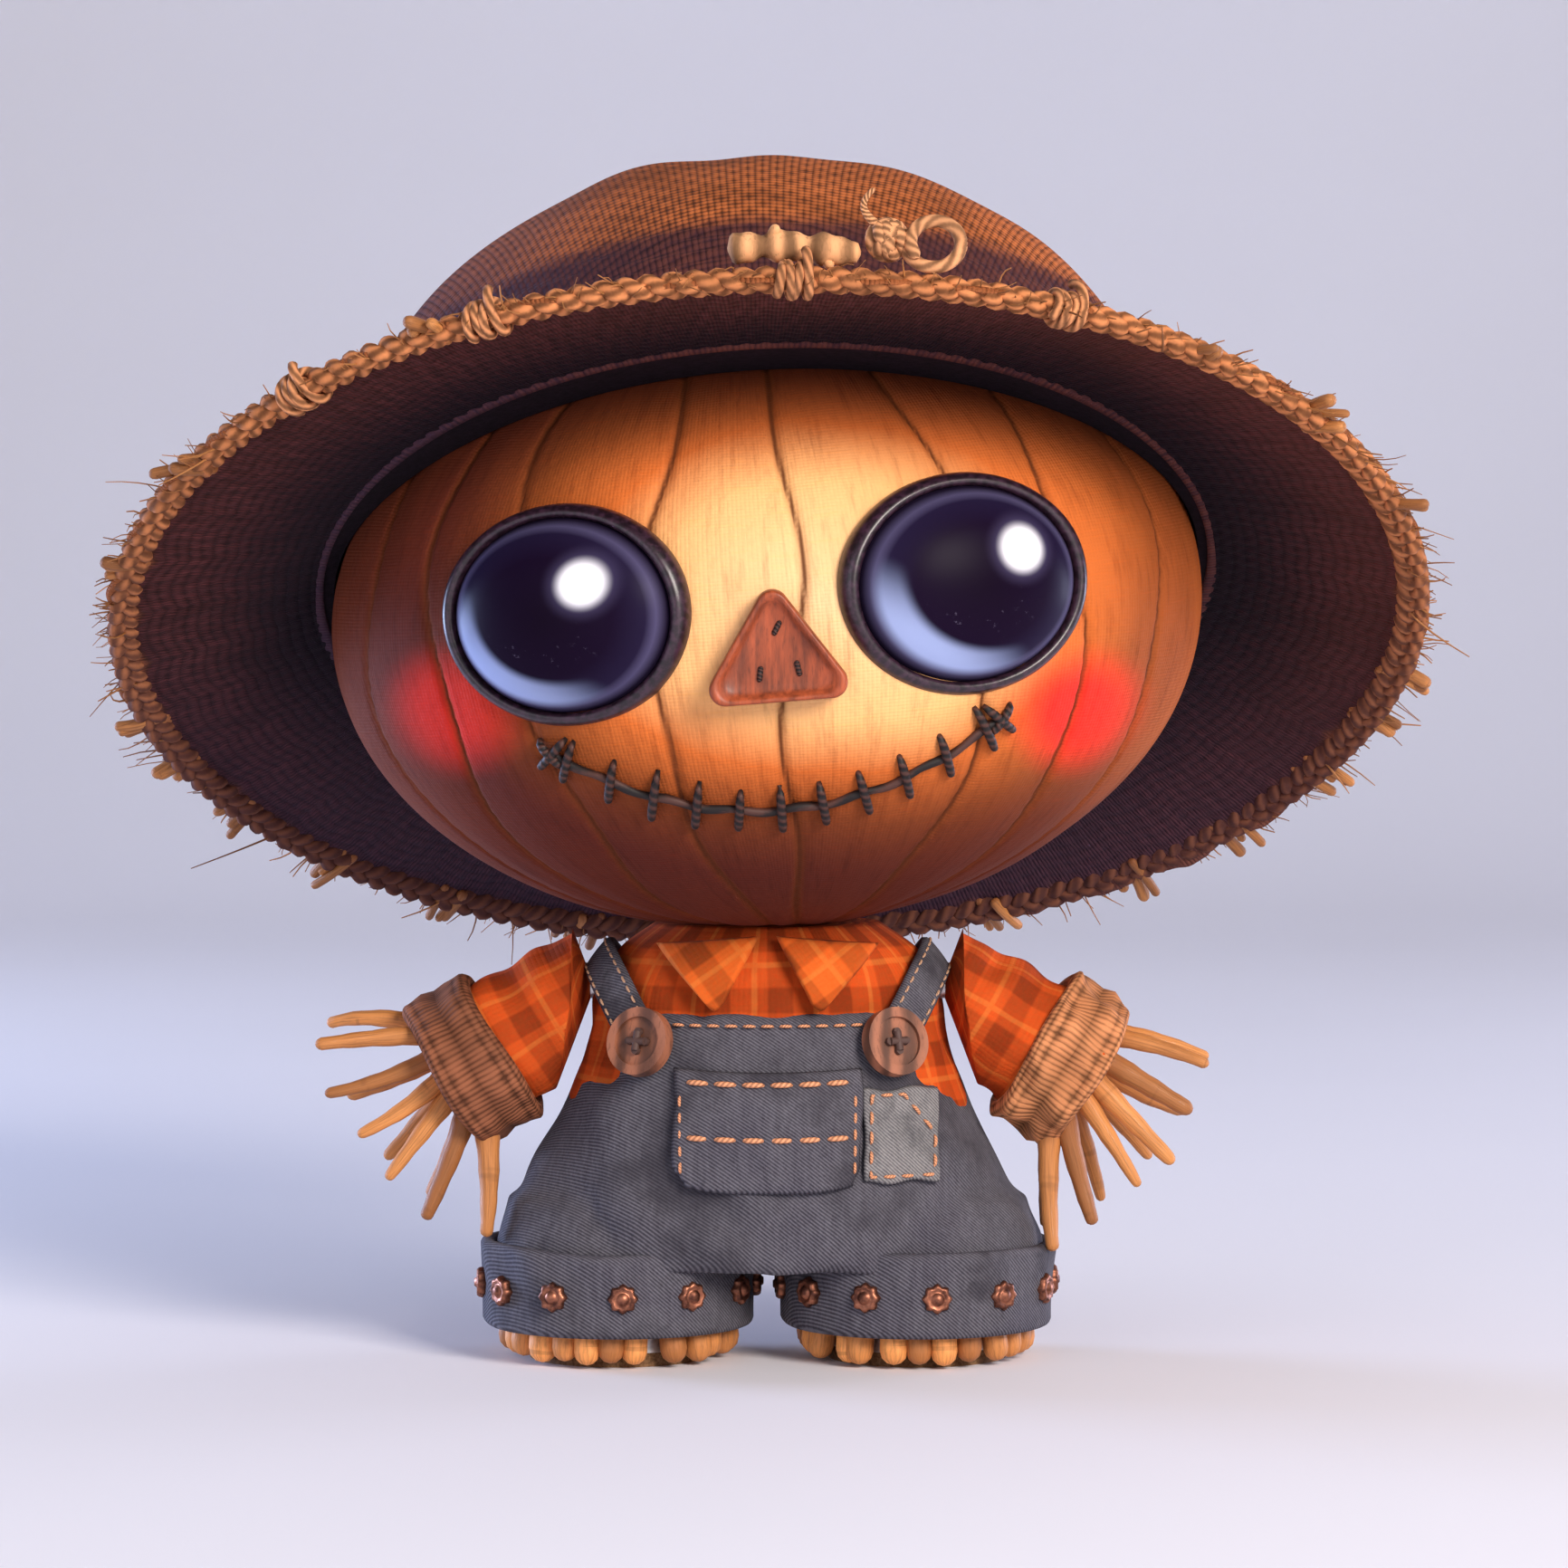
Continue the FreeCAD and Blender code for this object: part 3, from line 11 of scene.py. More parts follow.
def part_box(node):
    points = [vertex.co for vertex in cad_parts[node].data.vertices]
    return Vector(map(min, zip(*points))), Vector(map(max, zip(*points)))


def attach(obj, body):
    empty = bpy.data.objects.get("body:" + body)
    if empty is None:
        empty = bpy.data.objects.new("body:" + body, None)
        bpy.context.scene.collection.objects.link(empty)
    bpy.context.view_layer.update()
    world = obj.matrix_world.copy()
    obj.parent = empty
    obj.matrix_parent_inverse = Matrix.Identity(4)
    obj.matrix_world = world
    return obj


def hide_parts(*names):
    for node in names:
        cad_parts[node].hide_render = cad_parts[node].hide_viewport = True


bl_info = {
    "name": "Stuffed Scarecrow Figure",
    "version": (1, 0, 0),
    "blender": (4, 5, 0),
    "location": "View3D > Sidebar > Scarecrow",
    "description": "Cloth, straw and wood pieces of a table-top scarecrow round its jointed frame",
    "category": "Object",
}

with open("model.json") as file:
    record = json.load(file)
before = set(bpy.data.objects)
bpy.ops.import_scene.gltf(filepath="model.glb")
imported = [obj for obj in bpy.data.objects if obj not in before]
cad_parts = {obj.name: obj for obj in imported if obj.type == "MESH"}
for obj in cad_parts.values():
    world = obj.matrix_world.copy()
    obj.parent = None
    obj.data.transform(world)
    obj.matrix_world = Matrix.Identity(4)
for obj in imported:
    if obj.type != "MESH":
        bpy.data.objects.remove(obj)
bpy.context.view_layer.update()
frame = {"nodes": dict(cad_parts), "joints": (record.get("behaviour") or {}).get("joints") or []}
JOINTS = {joint["name"]: joint for joint in frame["joints"]}
SIDES = (("left", 1.0), ("right", -1.0))
MM = 0.001
TURN = 2 * math.pi


# ---- the frame's places, worked out from the CAD boxes ----

COVER_LOW, COVER_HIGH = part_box("head_cover")
COVER_SIZE = COVER_HIGH - COVER_LOW
SHOULDER_HIGH = JOINTS["left_arm_swing"]["pos_m"][2]
ARM_START = JOINTS["left_arm_swing"]["pos_m"][0]
LEG_LOW, LEG_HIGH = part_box("trouser_cuff_left")
LEG_SIDE = (LEG_LOW.x + LEG_HIGH.x) / 2


class HeadSizes(bpy.types.PropertyGroup):
    lean: FloatProperty(name="Lean", description="Sideways lean of the head", default=math.radians(4.5),
                        subtype="ANGLE")
    half_wide: FloatProperty(name="Half width", description="Half the width of the stuffed head",
                             default=COVER_SIZE.x / 2 + 0.1 * MM, unit="LENGTH")
    half_deep: FloatProperty(name="Half depth", description="Half the depth of the stuffed head",
                             default=COVER_SIZE.y / 2, unit="LENGTH")
    half_tall: FloatProperty(name="Half height", description="Half the height of the stuffed head",
                             default=70 * MM, unit="LENGTH")
    seam_deep: FloatProperty(name="Seam depth", description="How far a seam pulls the cover in",
                             default=1.5 * MM, unit="LENGTH")
    # The pale colour is laid towards the lit side as painted light, and the deep colour also serves as
    # painted shade round the face's edges, at its bottom, under the brim and on the -x side.
    pale: FloatVectorProperty(name="Pale cloth", description="Colour of the middle of the face",
                              default=(0.96, 0.60, 0.31), subtype="COLOR")
    warm: FloatVectorProperty(name="Warm cloth", description="Colour of the cloth round the face",
                              default=(0.62, 0.145, 0.028), subtype="COLOR")
    deep: FloatVectorProperty(name="Deep cloth", description="Colour of the cloth at the sides",
                              default=(0.11, 0.018, 0.010), subtype="COLOR")
    blush: FloatVectorProperty(name="Blush", description="Colour rubbed on the cheeks",
                               default=(0.95, 0.030, 0.018), subtype="COLOR")


class FaceSizes(bpy.types.PropertyGroup):
    eye_wide: FloatProperty(name="Eye half width", description="Half the width of an eye",
                            default=25.6 * MM, unit="LENGTH")
    eye_tall: FloatProperty(name="Eye half height", description="Half the height of an eye",
                            default=20.8 * MM, unit="LENGTH")
    eye_bulge: FloatProperty(name="Eye bulge", description="Half the depth of an eye's dome",
                             default=12.5 * MM, unit="LENGTH")
    eye_side: FloatProperty(name="Eye spacing", description="Distance of an eye from the middle line",
                            default=43.3 * MM, unit="LENGTH")
    eye_rise: FloatProperty(name="Eye height", description="Height of the eyes over the head's middle",
                            default=5.5 * MM, unit="LENGTH")
    eye_yaw: FloatProperty(name="Eye turn", description="Outward turn of an eye", default=math.radians(25),
                           subtype="ANGLE")
    nose_drop: FloatProperty(name="Nose height", description="Drop of the nose's lower edge under the middle",
                             default=15.5 * MM, unit="LENGTH")
    mouth_half: FloatProperty(name="Mouth half width", description="Half the width of the mouth",
                              default=49 * MM, unit="LENGTH")
    mouth_end: FloatProperty(name="Mouth height", description="Drop of the mouth's ends under the middle",
                             default=22.5 * MM, unit="LENGTH")
    mouth_dip: FloatProperty(name="Mouth dip", description="How far the mouth's middle hangs under its ends",
                             default=16.5 * MM, unit="LENGTH")
    stitches: IntProperty(name="Stitches", description="Cross stitches along the mouth", default=11, min=3)


class HatSizes(bpy.types.PropertyGroup):
    tilt: FloatProperty(name="Tilt", description="Backward tilt of the hat", default=math.radians(32.5),
                        subtype="ANGLE")
    lean: FloatProperty(name="Lean", description="Sideways lean of the hat", default=math.radians(3.5),
                        subtype="ANGLE")
    back: FloatProperty(name="Back", description="How far the hat sits behind the head's middle",
                        default=3.5 * MM, unit="LENGTH")
    crown: FloatProperty(name="Crown radius", description="Radius of the crown at the head's middle",
                         default=COVER_SIZE.x / 2 + 3.8 * MM, unit="LENGTH")
    rise: FloatProperty(name="Crown rise", description="Height of the crown over the head's middle",
                        default=101.5 * MM, unit="LENGTH")
    seat: FloatProperty(name="Brim seat", description="Height of the brim at the crown, over the middle",
                        default=7.7 * MM, unit="LENGTH")
    slope: FloatProperty(name="Brim slope", description="Fall of the brim for each length outwards",
                         default=0.305)
    sag: FloatProperty(name="Sag", description="How far the rim hangs lower on its left than in the middle",
                       default=3.5 * MM, unit="LENGTH")
    brim: FloatProperty(name="Brim radius", description="Radius of the middle of the rim cord",
                        default=142 * MM, unit="LENGTH")
    cord: FloatProperty(name="Rim cord", description="Radius of the plaited rim cord", default=3.1 * MM,
                        unit="LENGTH")
    band_high: FloatProperty(name="Band height", description="Height of the hat band", default=15 * MM,
                             unit="LENGTH")
    cloth: FloatVectorProperty(name="Burlap", description="Colour of the crown's burlap",
                               default=(0.36, 0.098, 0.028), subtype="COLOR")
    # The underside colour is a darker copy of the straw: painted shade under the brim.
    under: FloatVectorProperty(name="Underside", description="Colour of the brim's underside",
                               default=(0.050, 0.013, 0.014), subtype="COLOR")


class ClothesSizes(bpy.types.PropertyGroup):
    denim: FloatVectorProperty(name="Denim", description="Colour of the overalls",
                               default=(0.085, 0.075, 0.100), subtype="COLOR")
    faded: FloatVectorProperty(name="Faded denim", description="Colour of the worn denim",
                               default=(0.27, 0.26, 0.30), subtype="COLOR")
    plaid: FloatVectorProperty(name="Plaid", description="Ground colour of the shirt",
                               default=(0.60, 0.085, 0.012), subtype="COLOR")
    straw: FloatVectorProperty(name="Straw", description="Colour of the straw", default=(0.60, 0.215, 0.058),
                               subtype="COLOR")
    toes: IntProperty(name="Foot straws", description="Straws round one foot", default=24, min=8)
    fingers: IntProperty(name="Hand straws", description="Straws in one row of a hand", default=5, min=3)


# ---- meshes from arrays ----

def unit(vectors):
    """Vectors scaled to a length of one along their last axis."""
    return vectors / np.maximum(np.linalg.norm(vectors, axis=-1, keepdims=True), 1e-12)


def signed_volume(mesh):
    """A closed mesh's volume, below zero where its faces point inwards: the sum of each triangle's triple
    product, over six."""
    mesh.calc_loop_triangles()
    corners = np.empty(len(mesh.loop_triangles) * 3, np.int32)
    mesh.loop_triangles.foreach_get("vertices", corners)
    places = np.empty(len(mesh.vertices) * 3, np.float32)
    mesh.vertices.foreach_get("co", places)
    first, second, third = places.reshape(-1, 3)[corners.reshape(-1, 3)].transpose(1, 0, 2)
    return float((np.cross(first, second) * third).sum()) / 6


def make_object(name, points, faces, material, smooth=True, corner_uv=None):
    """A mesh object from an array of points and a list of faces, with one UV pair per face corner."""
    mesh = bpy.data.meshes.new(name)
    mesh.from_pydata(np.asarray(points).reshape(-1, 3).tolist(), [], faces)
    if corner_uv is not None:
        layer = mesh.uv_layers.new(name="Cloth")
        layer.data.foreach_set("uv", np.asarray(corner_uv, np.float32).ravel())
    mesh.polygons.foreach_set("use_smooth", np.full(len(mesh.polygons), smooth))
    mesh.update()
    if signed_volume(mesh) < 0:
        mesh.flip_normals()
    made = bpy.data.objects.new(name, mesh)
    bpy.context.scene.collection.objects.link(made)
    if material:
        mesh.materials.append(material)
    return made


def grid_quads(rows, cols, wrap_rows, wrap_cols):
    """Corner indices and grid steps of every quad of a grid that may close on itself."""
    i, j = np.meshgrid(np.arange(rows - (0 if wrap_rows else 1)), np.arange(cols - (0 if wrap_cols else 1)),
                       indexing="ij")
    i, j = i.ravel(), j.ravel()
    steps_i = np.stack([i, i, i + 1, i + 1], 1)
    steps_j = np.stack([j, j + 1, j + 1, j], 1)
    return (steps_i % rows) * cols + steps_j % cols, steps_i, steps_j


def surface(name, points, material, wrap_rows=False, wrap_cols=False, caps=False, cloth=None):
    """Grids of points (rows, cols, 3), or several at once (n, rows, cols, 3), as one skin. Rows run along V
    and cols along U, unless cloth gives a UV pair for each point. Caps close the end rows with a fan of
    faces."""
    points = np.asarray(points, float)
    points = points[None] if points.ndim == 3 else points
    count, rows, cols = points.shape[:3]
    quads, steps_i, steps_j = grid_quads(rows, cols, wrap_rows, wrap_cols)
    shift = (np.arange(count) * rows * cols)[:, None, None]
    faces = (quads[None] + shift).reshape(-1, 4)
    share = np.stack([steps_j / (cols if wrap_cols else cols - 1),
                      steps_i / (rows if wrap_rows else rows - 1)], -1)
    uv = np.broadcast_to(share[None], (count,) + share.shape).reshape(-1, 2)
    flat = points.reshape(-1, 3)
    flat_cloth = None if cloth is None else np.asarray(cloth, float).reshape(-1, 2)
    faces_now = faces.tolist()
    corners = faces.ravel()
    if caps:
        ring = np.arange(cols)
        after = (ring + 1) % cols
        grid = (np.arange(count) * rows * cols)[:, None]
        middle = count * rows * cols + 2 * np.arange(count)[:, None] + 0 * ring
        last_row = grid + (rows - 1) * cols
        fans = np.concatenate([np.stack([middle, grid + after, grid + ring], -1),
                               np.stack([middle + 1, last_row + ring, last_row + after], -1)],
                              1).reshape(-1, 3)
        flat = np.concatenate([flat,
                               np.stack([points[:, 0].mean(1), points[:, -1].mean(1)], 1).reshape(-1, 3)])
        if flat_cloth is not None:
            grids = flat_cloth.reshape(count, rows, cols, 2)
            ends = np.stack([grids[:, 0].mean(1), grids[:, -1].mean(1)], 1)
            flat_cloth = np.concatenate([flat_cloth, ends.reshape(-1, 2)])
        low = np.stack([np.stack([ring / cols, ring * 0], -1), np.stack([(ring + 1) / cols, ring * 0], -1),
                        np.stack([ring / cols, ring * 0], -1)], 1)
        high = np.stack([np.stack([ring / cols, ring * 0 + 1], -1), np.stack([ring / cols, ring * 0 + 1], -1),
                         np.stack([(ring + 1) / cols, ring * 0 + 1], -1)], 1)
        fan_uv = np.broadcast_to(np.concatenate([low, high])[None], (count, 2 * cols, 3, 2))
        uv = np.concatenate([uv, fan_uv.reshape(-1, 2)])
        faces_now += fans.tolist()
        corners = np.concatenate([corners, fans.ravel()])
    if flat_cloth is not None:
        uv = flat_cloth[corners]
    return make_object(name, flat, faces_now, material, corner_uv=uv)


def pad(name, front, outward, thick, material, cloth=None):
    """A flat piece of cloth with soft edges: the front grid (rows, cols, 3), and a back that lies a thickness
    behind it. The thickness falls to nothing along the border, as a quarter circle, where both sides meet."""
    rows, cols = front.shape[:2]
    edge_i = np.minimum(np.arange(rows), np.arange(rows)[::-1])[:, None] / 2.0
    edge_j = np.minimum(np.arange(cols), np.arange(cols)[::-1])[None] / 2.0
    near = np.clip(np.minimum(edge_i, edge_j), 0, 1)
    round_off = np.sqrt(1 - (1 - near) ** 2)[..., None] * thick / 2
    middle = front - outward * thick / 2
    loop = np.concatenate([middle + outward * round_off, (middle - outward * round_off)[::-1]])
    if cloth is not None:
        cloth = np.concatenate([cloth, cloth[::-1]])
    made = surface(name, loop, material, wrap_rows=True, cloth=cloth)
    weld(made)
    return made


def weld(made):
    """Merges the points that lie on each other and drops the faces that this leaves without area."""
    work = bmesh.new()
    work.from_mesh(made.data)
    bmesh.ops.remove_doubles(work, verts=work.verts, dist=1e-6)
    bmesh.ops.dissolve_degenerate(work, edges=work.edges, dist=1e-7)
    bmesh.ops.recalc_face_normals(work, faces=work.faces)
    work.to_mesh(made.data)
    work.free()
    made.data.update()
    if signed_volume(made.data) < 0:
        made.data.flip_normals()


def rods(name, paths, radii, sides, material, flatness=1.0, closed=False, helper=None):
    """Many closed tubes at once: paths (n, steps, 3) with a radius at each step, as one mesh.
    Each ring is a circle across the path's direction; the ends close on the path's end points.
    U counts the tubes and runs round each one, and V runs from 0 to 1 along it. Closed tubes are rings, which
    need a helper direction that is never along them."""
    paths = np.asarray(paths, float)
    count, steps = paths.shape[:2]
    radii = np.broadcast_to(radii, (count, steps))
    along = unit(np.roll(paths, -1, 1) - np.roll(paths, 1, 1)) if closed else unit(np.gradient(paths, axis=1))
    if helper is None:
        chord = unit(paths[:, -1] - paths[:, 0] + 1e-9)
        helper = np.where(np.abs(chord[:, 2:3]) < 0.8, [[0.0, 0.0, 1.0]], [[1.0, 0.0, 0.0]])
    else:
        helper = np.broadcast_to(np.array(helper), (count, 3))
    across = unit(np.cross(np.broadcast_to(helper[:, None], along.shape), along))
    upward = np.cross(along, across)
    angle = np.arange(sides) * TURN / sides
    ring = (across[:, :, None] * np.cos(angle)[:, None]
            + flatness * upward[:, :, None] * np.sin(angle)[:, None])
    points = paths[:, :, None] + radii[:, :, None, None] * ring
    body = points.reshape(-1, 3)
    quads, steps_i, steps_j = grid_quads(steps, sides, closed, True)
    shift = np.arange(count)[:, None, None] * steps * sides
    faces = (quads[None] + shift).reshape(-1, 4).tolist()
    tone = (np.arange(count) + 0.5)[:, None, None]
    uv = np.stack([np.broadcast_to(steps_j / sides, (count,) + steps_j.shape) * 0.98 + tone - 0.5,
                   np.broadcast_to(steps_i / (steps - 1), (count,) + steps_i.shape)], -1).reshape(-1, 2)
    if closed:
        return make_object(name, body, faces, material, corner_uv=uv)
    ends = np.concatenate([paths[:, 0], paths[:, -1]])
    base = count * steps * sides
    ring_now = np.arange(sides)
    ring_next = (ring_now + 1) % sides
    tube = np.arange(count)[:, None]
    first = np.stack([np.broadcast_to(base + tube, (count, sides)), tube * steps * sides + ring_next,
                      tube * steps * sides + ring_now], -1)
    tail = (tube + 1) * steps * sides - sides
    last = np.stack([np.broadcast_to(base + count + tube, (count, sides)), tail + ring_now, tail + ring_next],
                    -1)
    faces += first.reshape(-1, 3).tolist() + last.reshape(-1, 3).tolist()
    cap_uv = np.zeros((2, count, sides, 3, 2))
    cap_uv[..., 0] = (np.arange(count) + 0.5)[None, :, None, None]
    cap_uv[1, ..., 1] = 1.0
    uv = np.concatenate([uv, cap_uv.reshape(-1, 2)])
    return make_object(name, np.concatenate([body, ends]), faces, material, corner_uv=uv)


def capsule_paths(starts, ends, radius, steps=9, bow=None):
    """Straight or bowed paths and the radii that round off both ends, for rods().
    The radius follows a quarter circle over the last radius of length at each end."""
    starts, ends = np.asarray(starts, float), np.asarray(ends, float)
    length = np.linalg.norm(ends - starts, axis=-1, keepdims=True)
    radius = np.broadcast_to(np.asarray(radius, float), (len(starts), 2)) if np.ndim(radius) else \
        np.full((len(starts), 2), radius)
    cap = np.array([0.0, 0.12, 0.45, 1.0])
    start_share = cap[None] * radius[:, :1] / length
    end_share = 1 - cap[None, ::-1] * radius[:, 1:] / length
    middle = np.linspace(0, 1, steps)[None, 1:-1]
    inner = start_share[:, -1:] + (end_share[:, :1] - start_share[:, -1:]) * middle
    share = np.concatenate([start_share, inner, end_share], 1)
    taper = radius[:, :1] * (1 - share) + radius[:, 1:] * share
    rounding = np.sqrt(np.clip(1 - (1 - cap) ** 2, 0.0, 1))
    rounding = np.concatenate([rounding, np.ones(inner.shape[1]), rounding[::-1]])
    paths = starts[:, None] + (ends - starts)[:, None] * share[..., None]
    if bow is not None:
        paths = paths + np.asarray(bow)[:, None] * (4 * share * (1 - share))[..., None]
    return paths, taper * np.maximum(rounding, 0.04)


def ease(values, low, high):
    """A smooth step from 0 at low to 1 at high: three squares less two cubes."""
    share = np.clip((values - low) / (high - low), 0, 1)
    return share * share * (3 - 2 * share)


def wander(values, waves, seed, decay=1.0):
    """A soft irregular wave round a turn: a few sines with seeded phases and whole wave counts."""
    rng = np.random.default_rng(seed)
    total = np.zeros_like(values, dtype=float)
    for count in waves:
        total += np.sin(count * values + rng.uniform(0, TURN)) * rng.uniform(0.5, 1.0) / count ** decay
    return total


def through(xs, ys, at):
    """A smooth curve through points: cubic Hermite spans whose slopes are the points' mean slopes."""
    xs, ys = np.asarray(xs, float), np.asarray(ys, float)
    slopes = np.gradient(ys, xs)
    at = np.clip(at, xs[0], xs[-1])
    span = np.clip(np.searchsorted(xs, at, side="right") - 1, 0, len(xs) - 2)
    wide = xs[span + 1] - xs[span]
    share = (at - xs[span]) / wide
    rise = share * share * (3 - 2 * share)
    return (ys[span] * (1 - rise) + ys[span + 1] * rise
            + wide * (slopes[span] * share * (1 - share) ** 2 - slopes[span + 1] * share ** 2 * (1 - share)))


def attribute(made, name, values):
    """A number for each vertex, for a material to read."""
    layer = made.data.attributes.new(name, "FLOAT", "POINT")
    layer.data.foreach_set("value", np.asarray(values, np.float32).ravel())


def place(points, matrix):
    """Points moved by a 4 by 4 matrix, as arrays."""
    matrix = np.array(matrix)
    return points @ matrix[:3, :3].T + matrix[:3, 3]


# ---- shader maths ----

class Value:
    """A shader socket that adds up: an expression on values adds its Math nodes."""

    def __init__(self, finish, socket):
        self.finish = finish
        self.socket = socket

    def _math(self, operation, *others, clamp=False):
        node = self.finish.tree.nodes.new("ShaderNodeMath")
        node.operation = operation
        node.use_clamp = clamp
        for number, other in enumerate(others):
            self.finish.join(other, node.inputs[number])
        return Value(self.finish, node.outputs[0])

    def __add__(self, other):
        return self._math("ADD", self, other)

    def __radd__(self, other):
        return self._math("ADD", other, self)

    def __sub__(self, other):
        return self._math("SUBTRACT", self, other)

    def __rsub__(self, other):
        return self._math("SUBTRACT", other, self)

    def __mul__(self, other):
        return self._math("MULTIPLY", self, other)

    def __rmul__(self, other):
        return self._math("MULTIPLY", other, self)

    def __truediv__(self, other):
        return self._math("DIVIDE", self, other)

    def __abs__(self):
        return self._math("ABSOLUTE", self)

    def floor(self):
        return self._math("FLOOR", self)

    def sine(self):
        return self._math("SINE", self)

    def root(self):
        return self._math("SQRT", self)

    def above(self, other):
        return self._math("MAXIMUM", self, other)

    def below(self, other):
        return self._math("MINIMUM", self, other)

    def held(self):
        """The value kept between 0 and 1."""
        return self._math("ADD", self, 0.0, clamp=True)

    def step(self, low, high):
        """0 at low and 1 at high, smooth between them."""
        return self.finish.node("ShaderNodeMapRange", {"interpolation_type": "SMOOTHSTEP"},
                                {"Value": self, "From Min": low, "From Max": high})


class Finish:
    """A material being built: one Principled surface and the nodes that feed it."""

    def __init__(self, name, rough=0.8, **constants):
        self.material = bpy.data.materials.new(name)
        self.material.use_nodes = True
        self.tree = self.material.node_tree
        self.surface = self.tree.nodes["Principled BSDF"]
        self.surface.inputs["Roughness"].default_value = rough
        self.surface.inputs["Specular IOR Level"].default_value = 0.15 if rough > 0.6 else 0.4
        for socket, value in constants.items():
            self.surface.inputs[socket.replace("_", " ").title().replace("Ior", "IOR")].default_value = value

    def join(self, source, socket):
        if isinstance(source, Value):
            self.tree.links.new(source.socket, socket)
        elif socket.type == "RGBA":
            socket.default_value = (*source, 1.0)
        else:
            socket.default_value = source

    def node(self, kind, settings=None, inputs=None, out=0):
        """Any node: its settings first, then the values or links of its sockets."""
        made = self.tree.nodes.new(kind)
        for setting, value in (settings or {}).items():
            if setting == "stops":
                stops = made.color_ramp.elements
                while len(stops) < len(value):
                    stops.new(0.5)
                for stop, (position, colour) in zip(stops, value):
                    stop.position = position
                    stop.color = (*colour, 1.0)
            else:
                setattr(made, setting, value)
        for socket, value in (inputs or {}).items():
            self.join(value, made.inputs[socket])
        return Value(self, made.outputs[out])

    def object_place(self, scale=(1, 1, 1), shift=(0, 0, 0), turn=(0, 0, 0)):
        """Object coordinates in metres, shifted, then turned and scaled."""
        place_in = self.node("ShaderNodeTexCoord", out="Object")
        moved = self.node("ShaderNodeVectorMath", {"operation": "SUBTRACT"}, {0: place_in, 1: shift})
        return self.node("ShaderNodeMapping", None, {"Vector": moved, "Scale": scale, "Rotation": turn})

    def cloth_place(self, scale=(1, 1, 1)):
        """The piece's own UV, scaled to threads."""
        place_in = self.node("ShaderNodeUVMap", {"uv_map": "Cloth"})
        return self.node("ShaderNodeMapping", None, {"Vector": place_in, "Scale": scale})

    def axes(self, vector):
        """The three numbers of a vector."""
        split = self.tree.nodes.new("ShaderNodeSeparateXYZ")
        self.join(vector, split.inputs[0])
        return [Value(self, socket) for socket in split.outputs]

    def vertex(self, name):
        """A number stored on the vertices."""
        return self.node("ShaderNodeAttribute", {"attribute_name": name}, out="Fac")

    def vertex_pair(self):
        """A pair of numbers stored on the vertices, as a vector."""
        return self.node("ShaderNodeAttribute", {"attribute_name": "disc"}, out="Vector")

    def noise(self, vector, scale, detail=3.0, rough=0.55):
        return self.node("ShaderNodeTexNoise", None,
                         {"Vector": vector, "Scale": scale, "Detail": detail, "Roughness": rough})

    def mix(self, factor, first, second, blend="MIX"):
        made = self.tree.nodes.new("ShaderNodeMix")
        made.data_type = "RGBA"
        made.blend_type = blend
        self.join(factor, made.inputs["Factor"])
        self.join(first, made.inputs[6])
        self.join(second, made.inputs[7])
        return Value(self, made.outputs[2])

    def ramp(self, factor, *stops):
        return self.node("ShaderNodeValToRGB", {"stops": stops}, {"Fac": factor})

    def weave(self, vector, across, along):
        """A plain weave: two sets of round threads that pass over each other in turn, from 0 to 1."""
        u, v, _ = self.axes(vector)
        warp = (u * (across * math.pi)).sine()
        weft = (v * (along * math.pi)).sine()
        over = (u * (across * math.pi / 2)).sine() * (v * (along * math.pi / 2)).sine()
        return (abs(warp) * 0.5 + abs(weft) * 0.5 + over * 0.25).held()

    def colour(self, value):
        self.join(value, self.surface.inputs["Base Color"])
        return self

    def rough(self, value):
        self.join(value, self.surface.inputs["Roughness"])
        return self

    def bump(self, height, strength=0.5, distance=0.0006):
        made = self.node("ShaderNodeBump", None,
                         {"Height": height, "Strength": strength, "Distance": distance})
        self.join(made, self.surface.inputs["Normal"])
        return self.material


def shade(colour, factor):
    """A colour with each part multiplied by one factor."""
    return tuple(part * factor for part in colour)


# ---- finishes ----

def head_matrix():
    """The head's own frame, leaning to one side. A leaning ellipse's top lies over its middle by the
    hypotenuse of its half height times the cosine of the lean, and its half width times the sine."""
    sizes = bpy.context.scene.scarecrow_head
    reach = math.hypot(sizes.half_tall * math.cos(sizes.lean), sizes.half_wide * math.sin(sizes.lean))
    return Matrix.Translation((0, 0, COVER_HIGH.z - reach)) @ Matrix.Rotation(-sizes.lean, 4, "Y")


def hat_matrix():
    """The hat's own frame: the head's middle, with the hat's lean and its backward tilt."""
    hat = bpy.context.scene.scarecrow_hat
    middle = head_matrix().translation + Vector((0, hat.back, 0))
    return (Matrix.Translation(middle) @ Matrix.Rotation(-hat.lean, 4, "Y")
            @ Matrix.Rotation(-hat.tilt, 4, "X"))


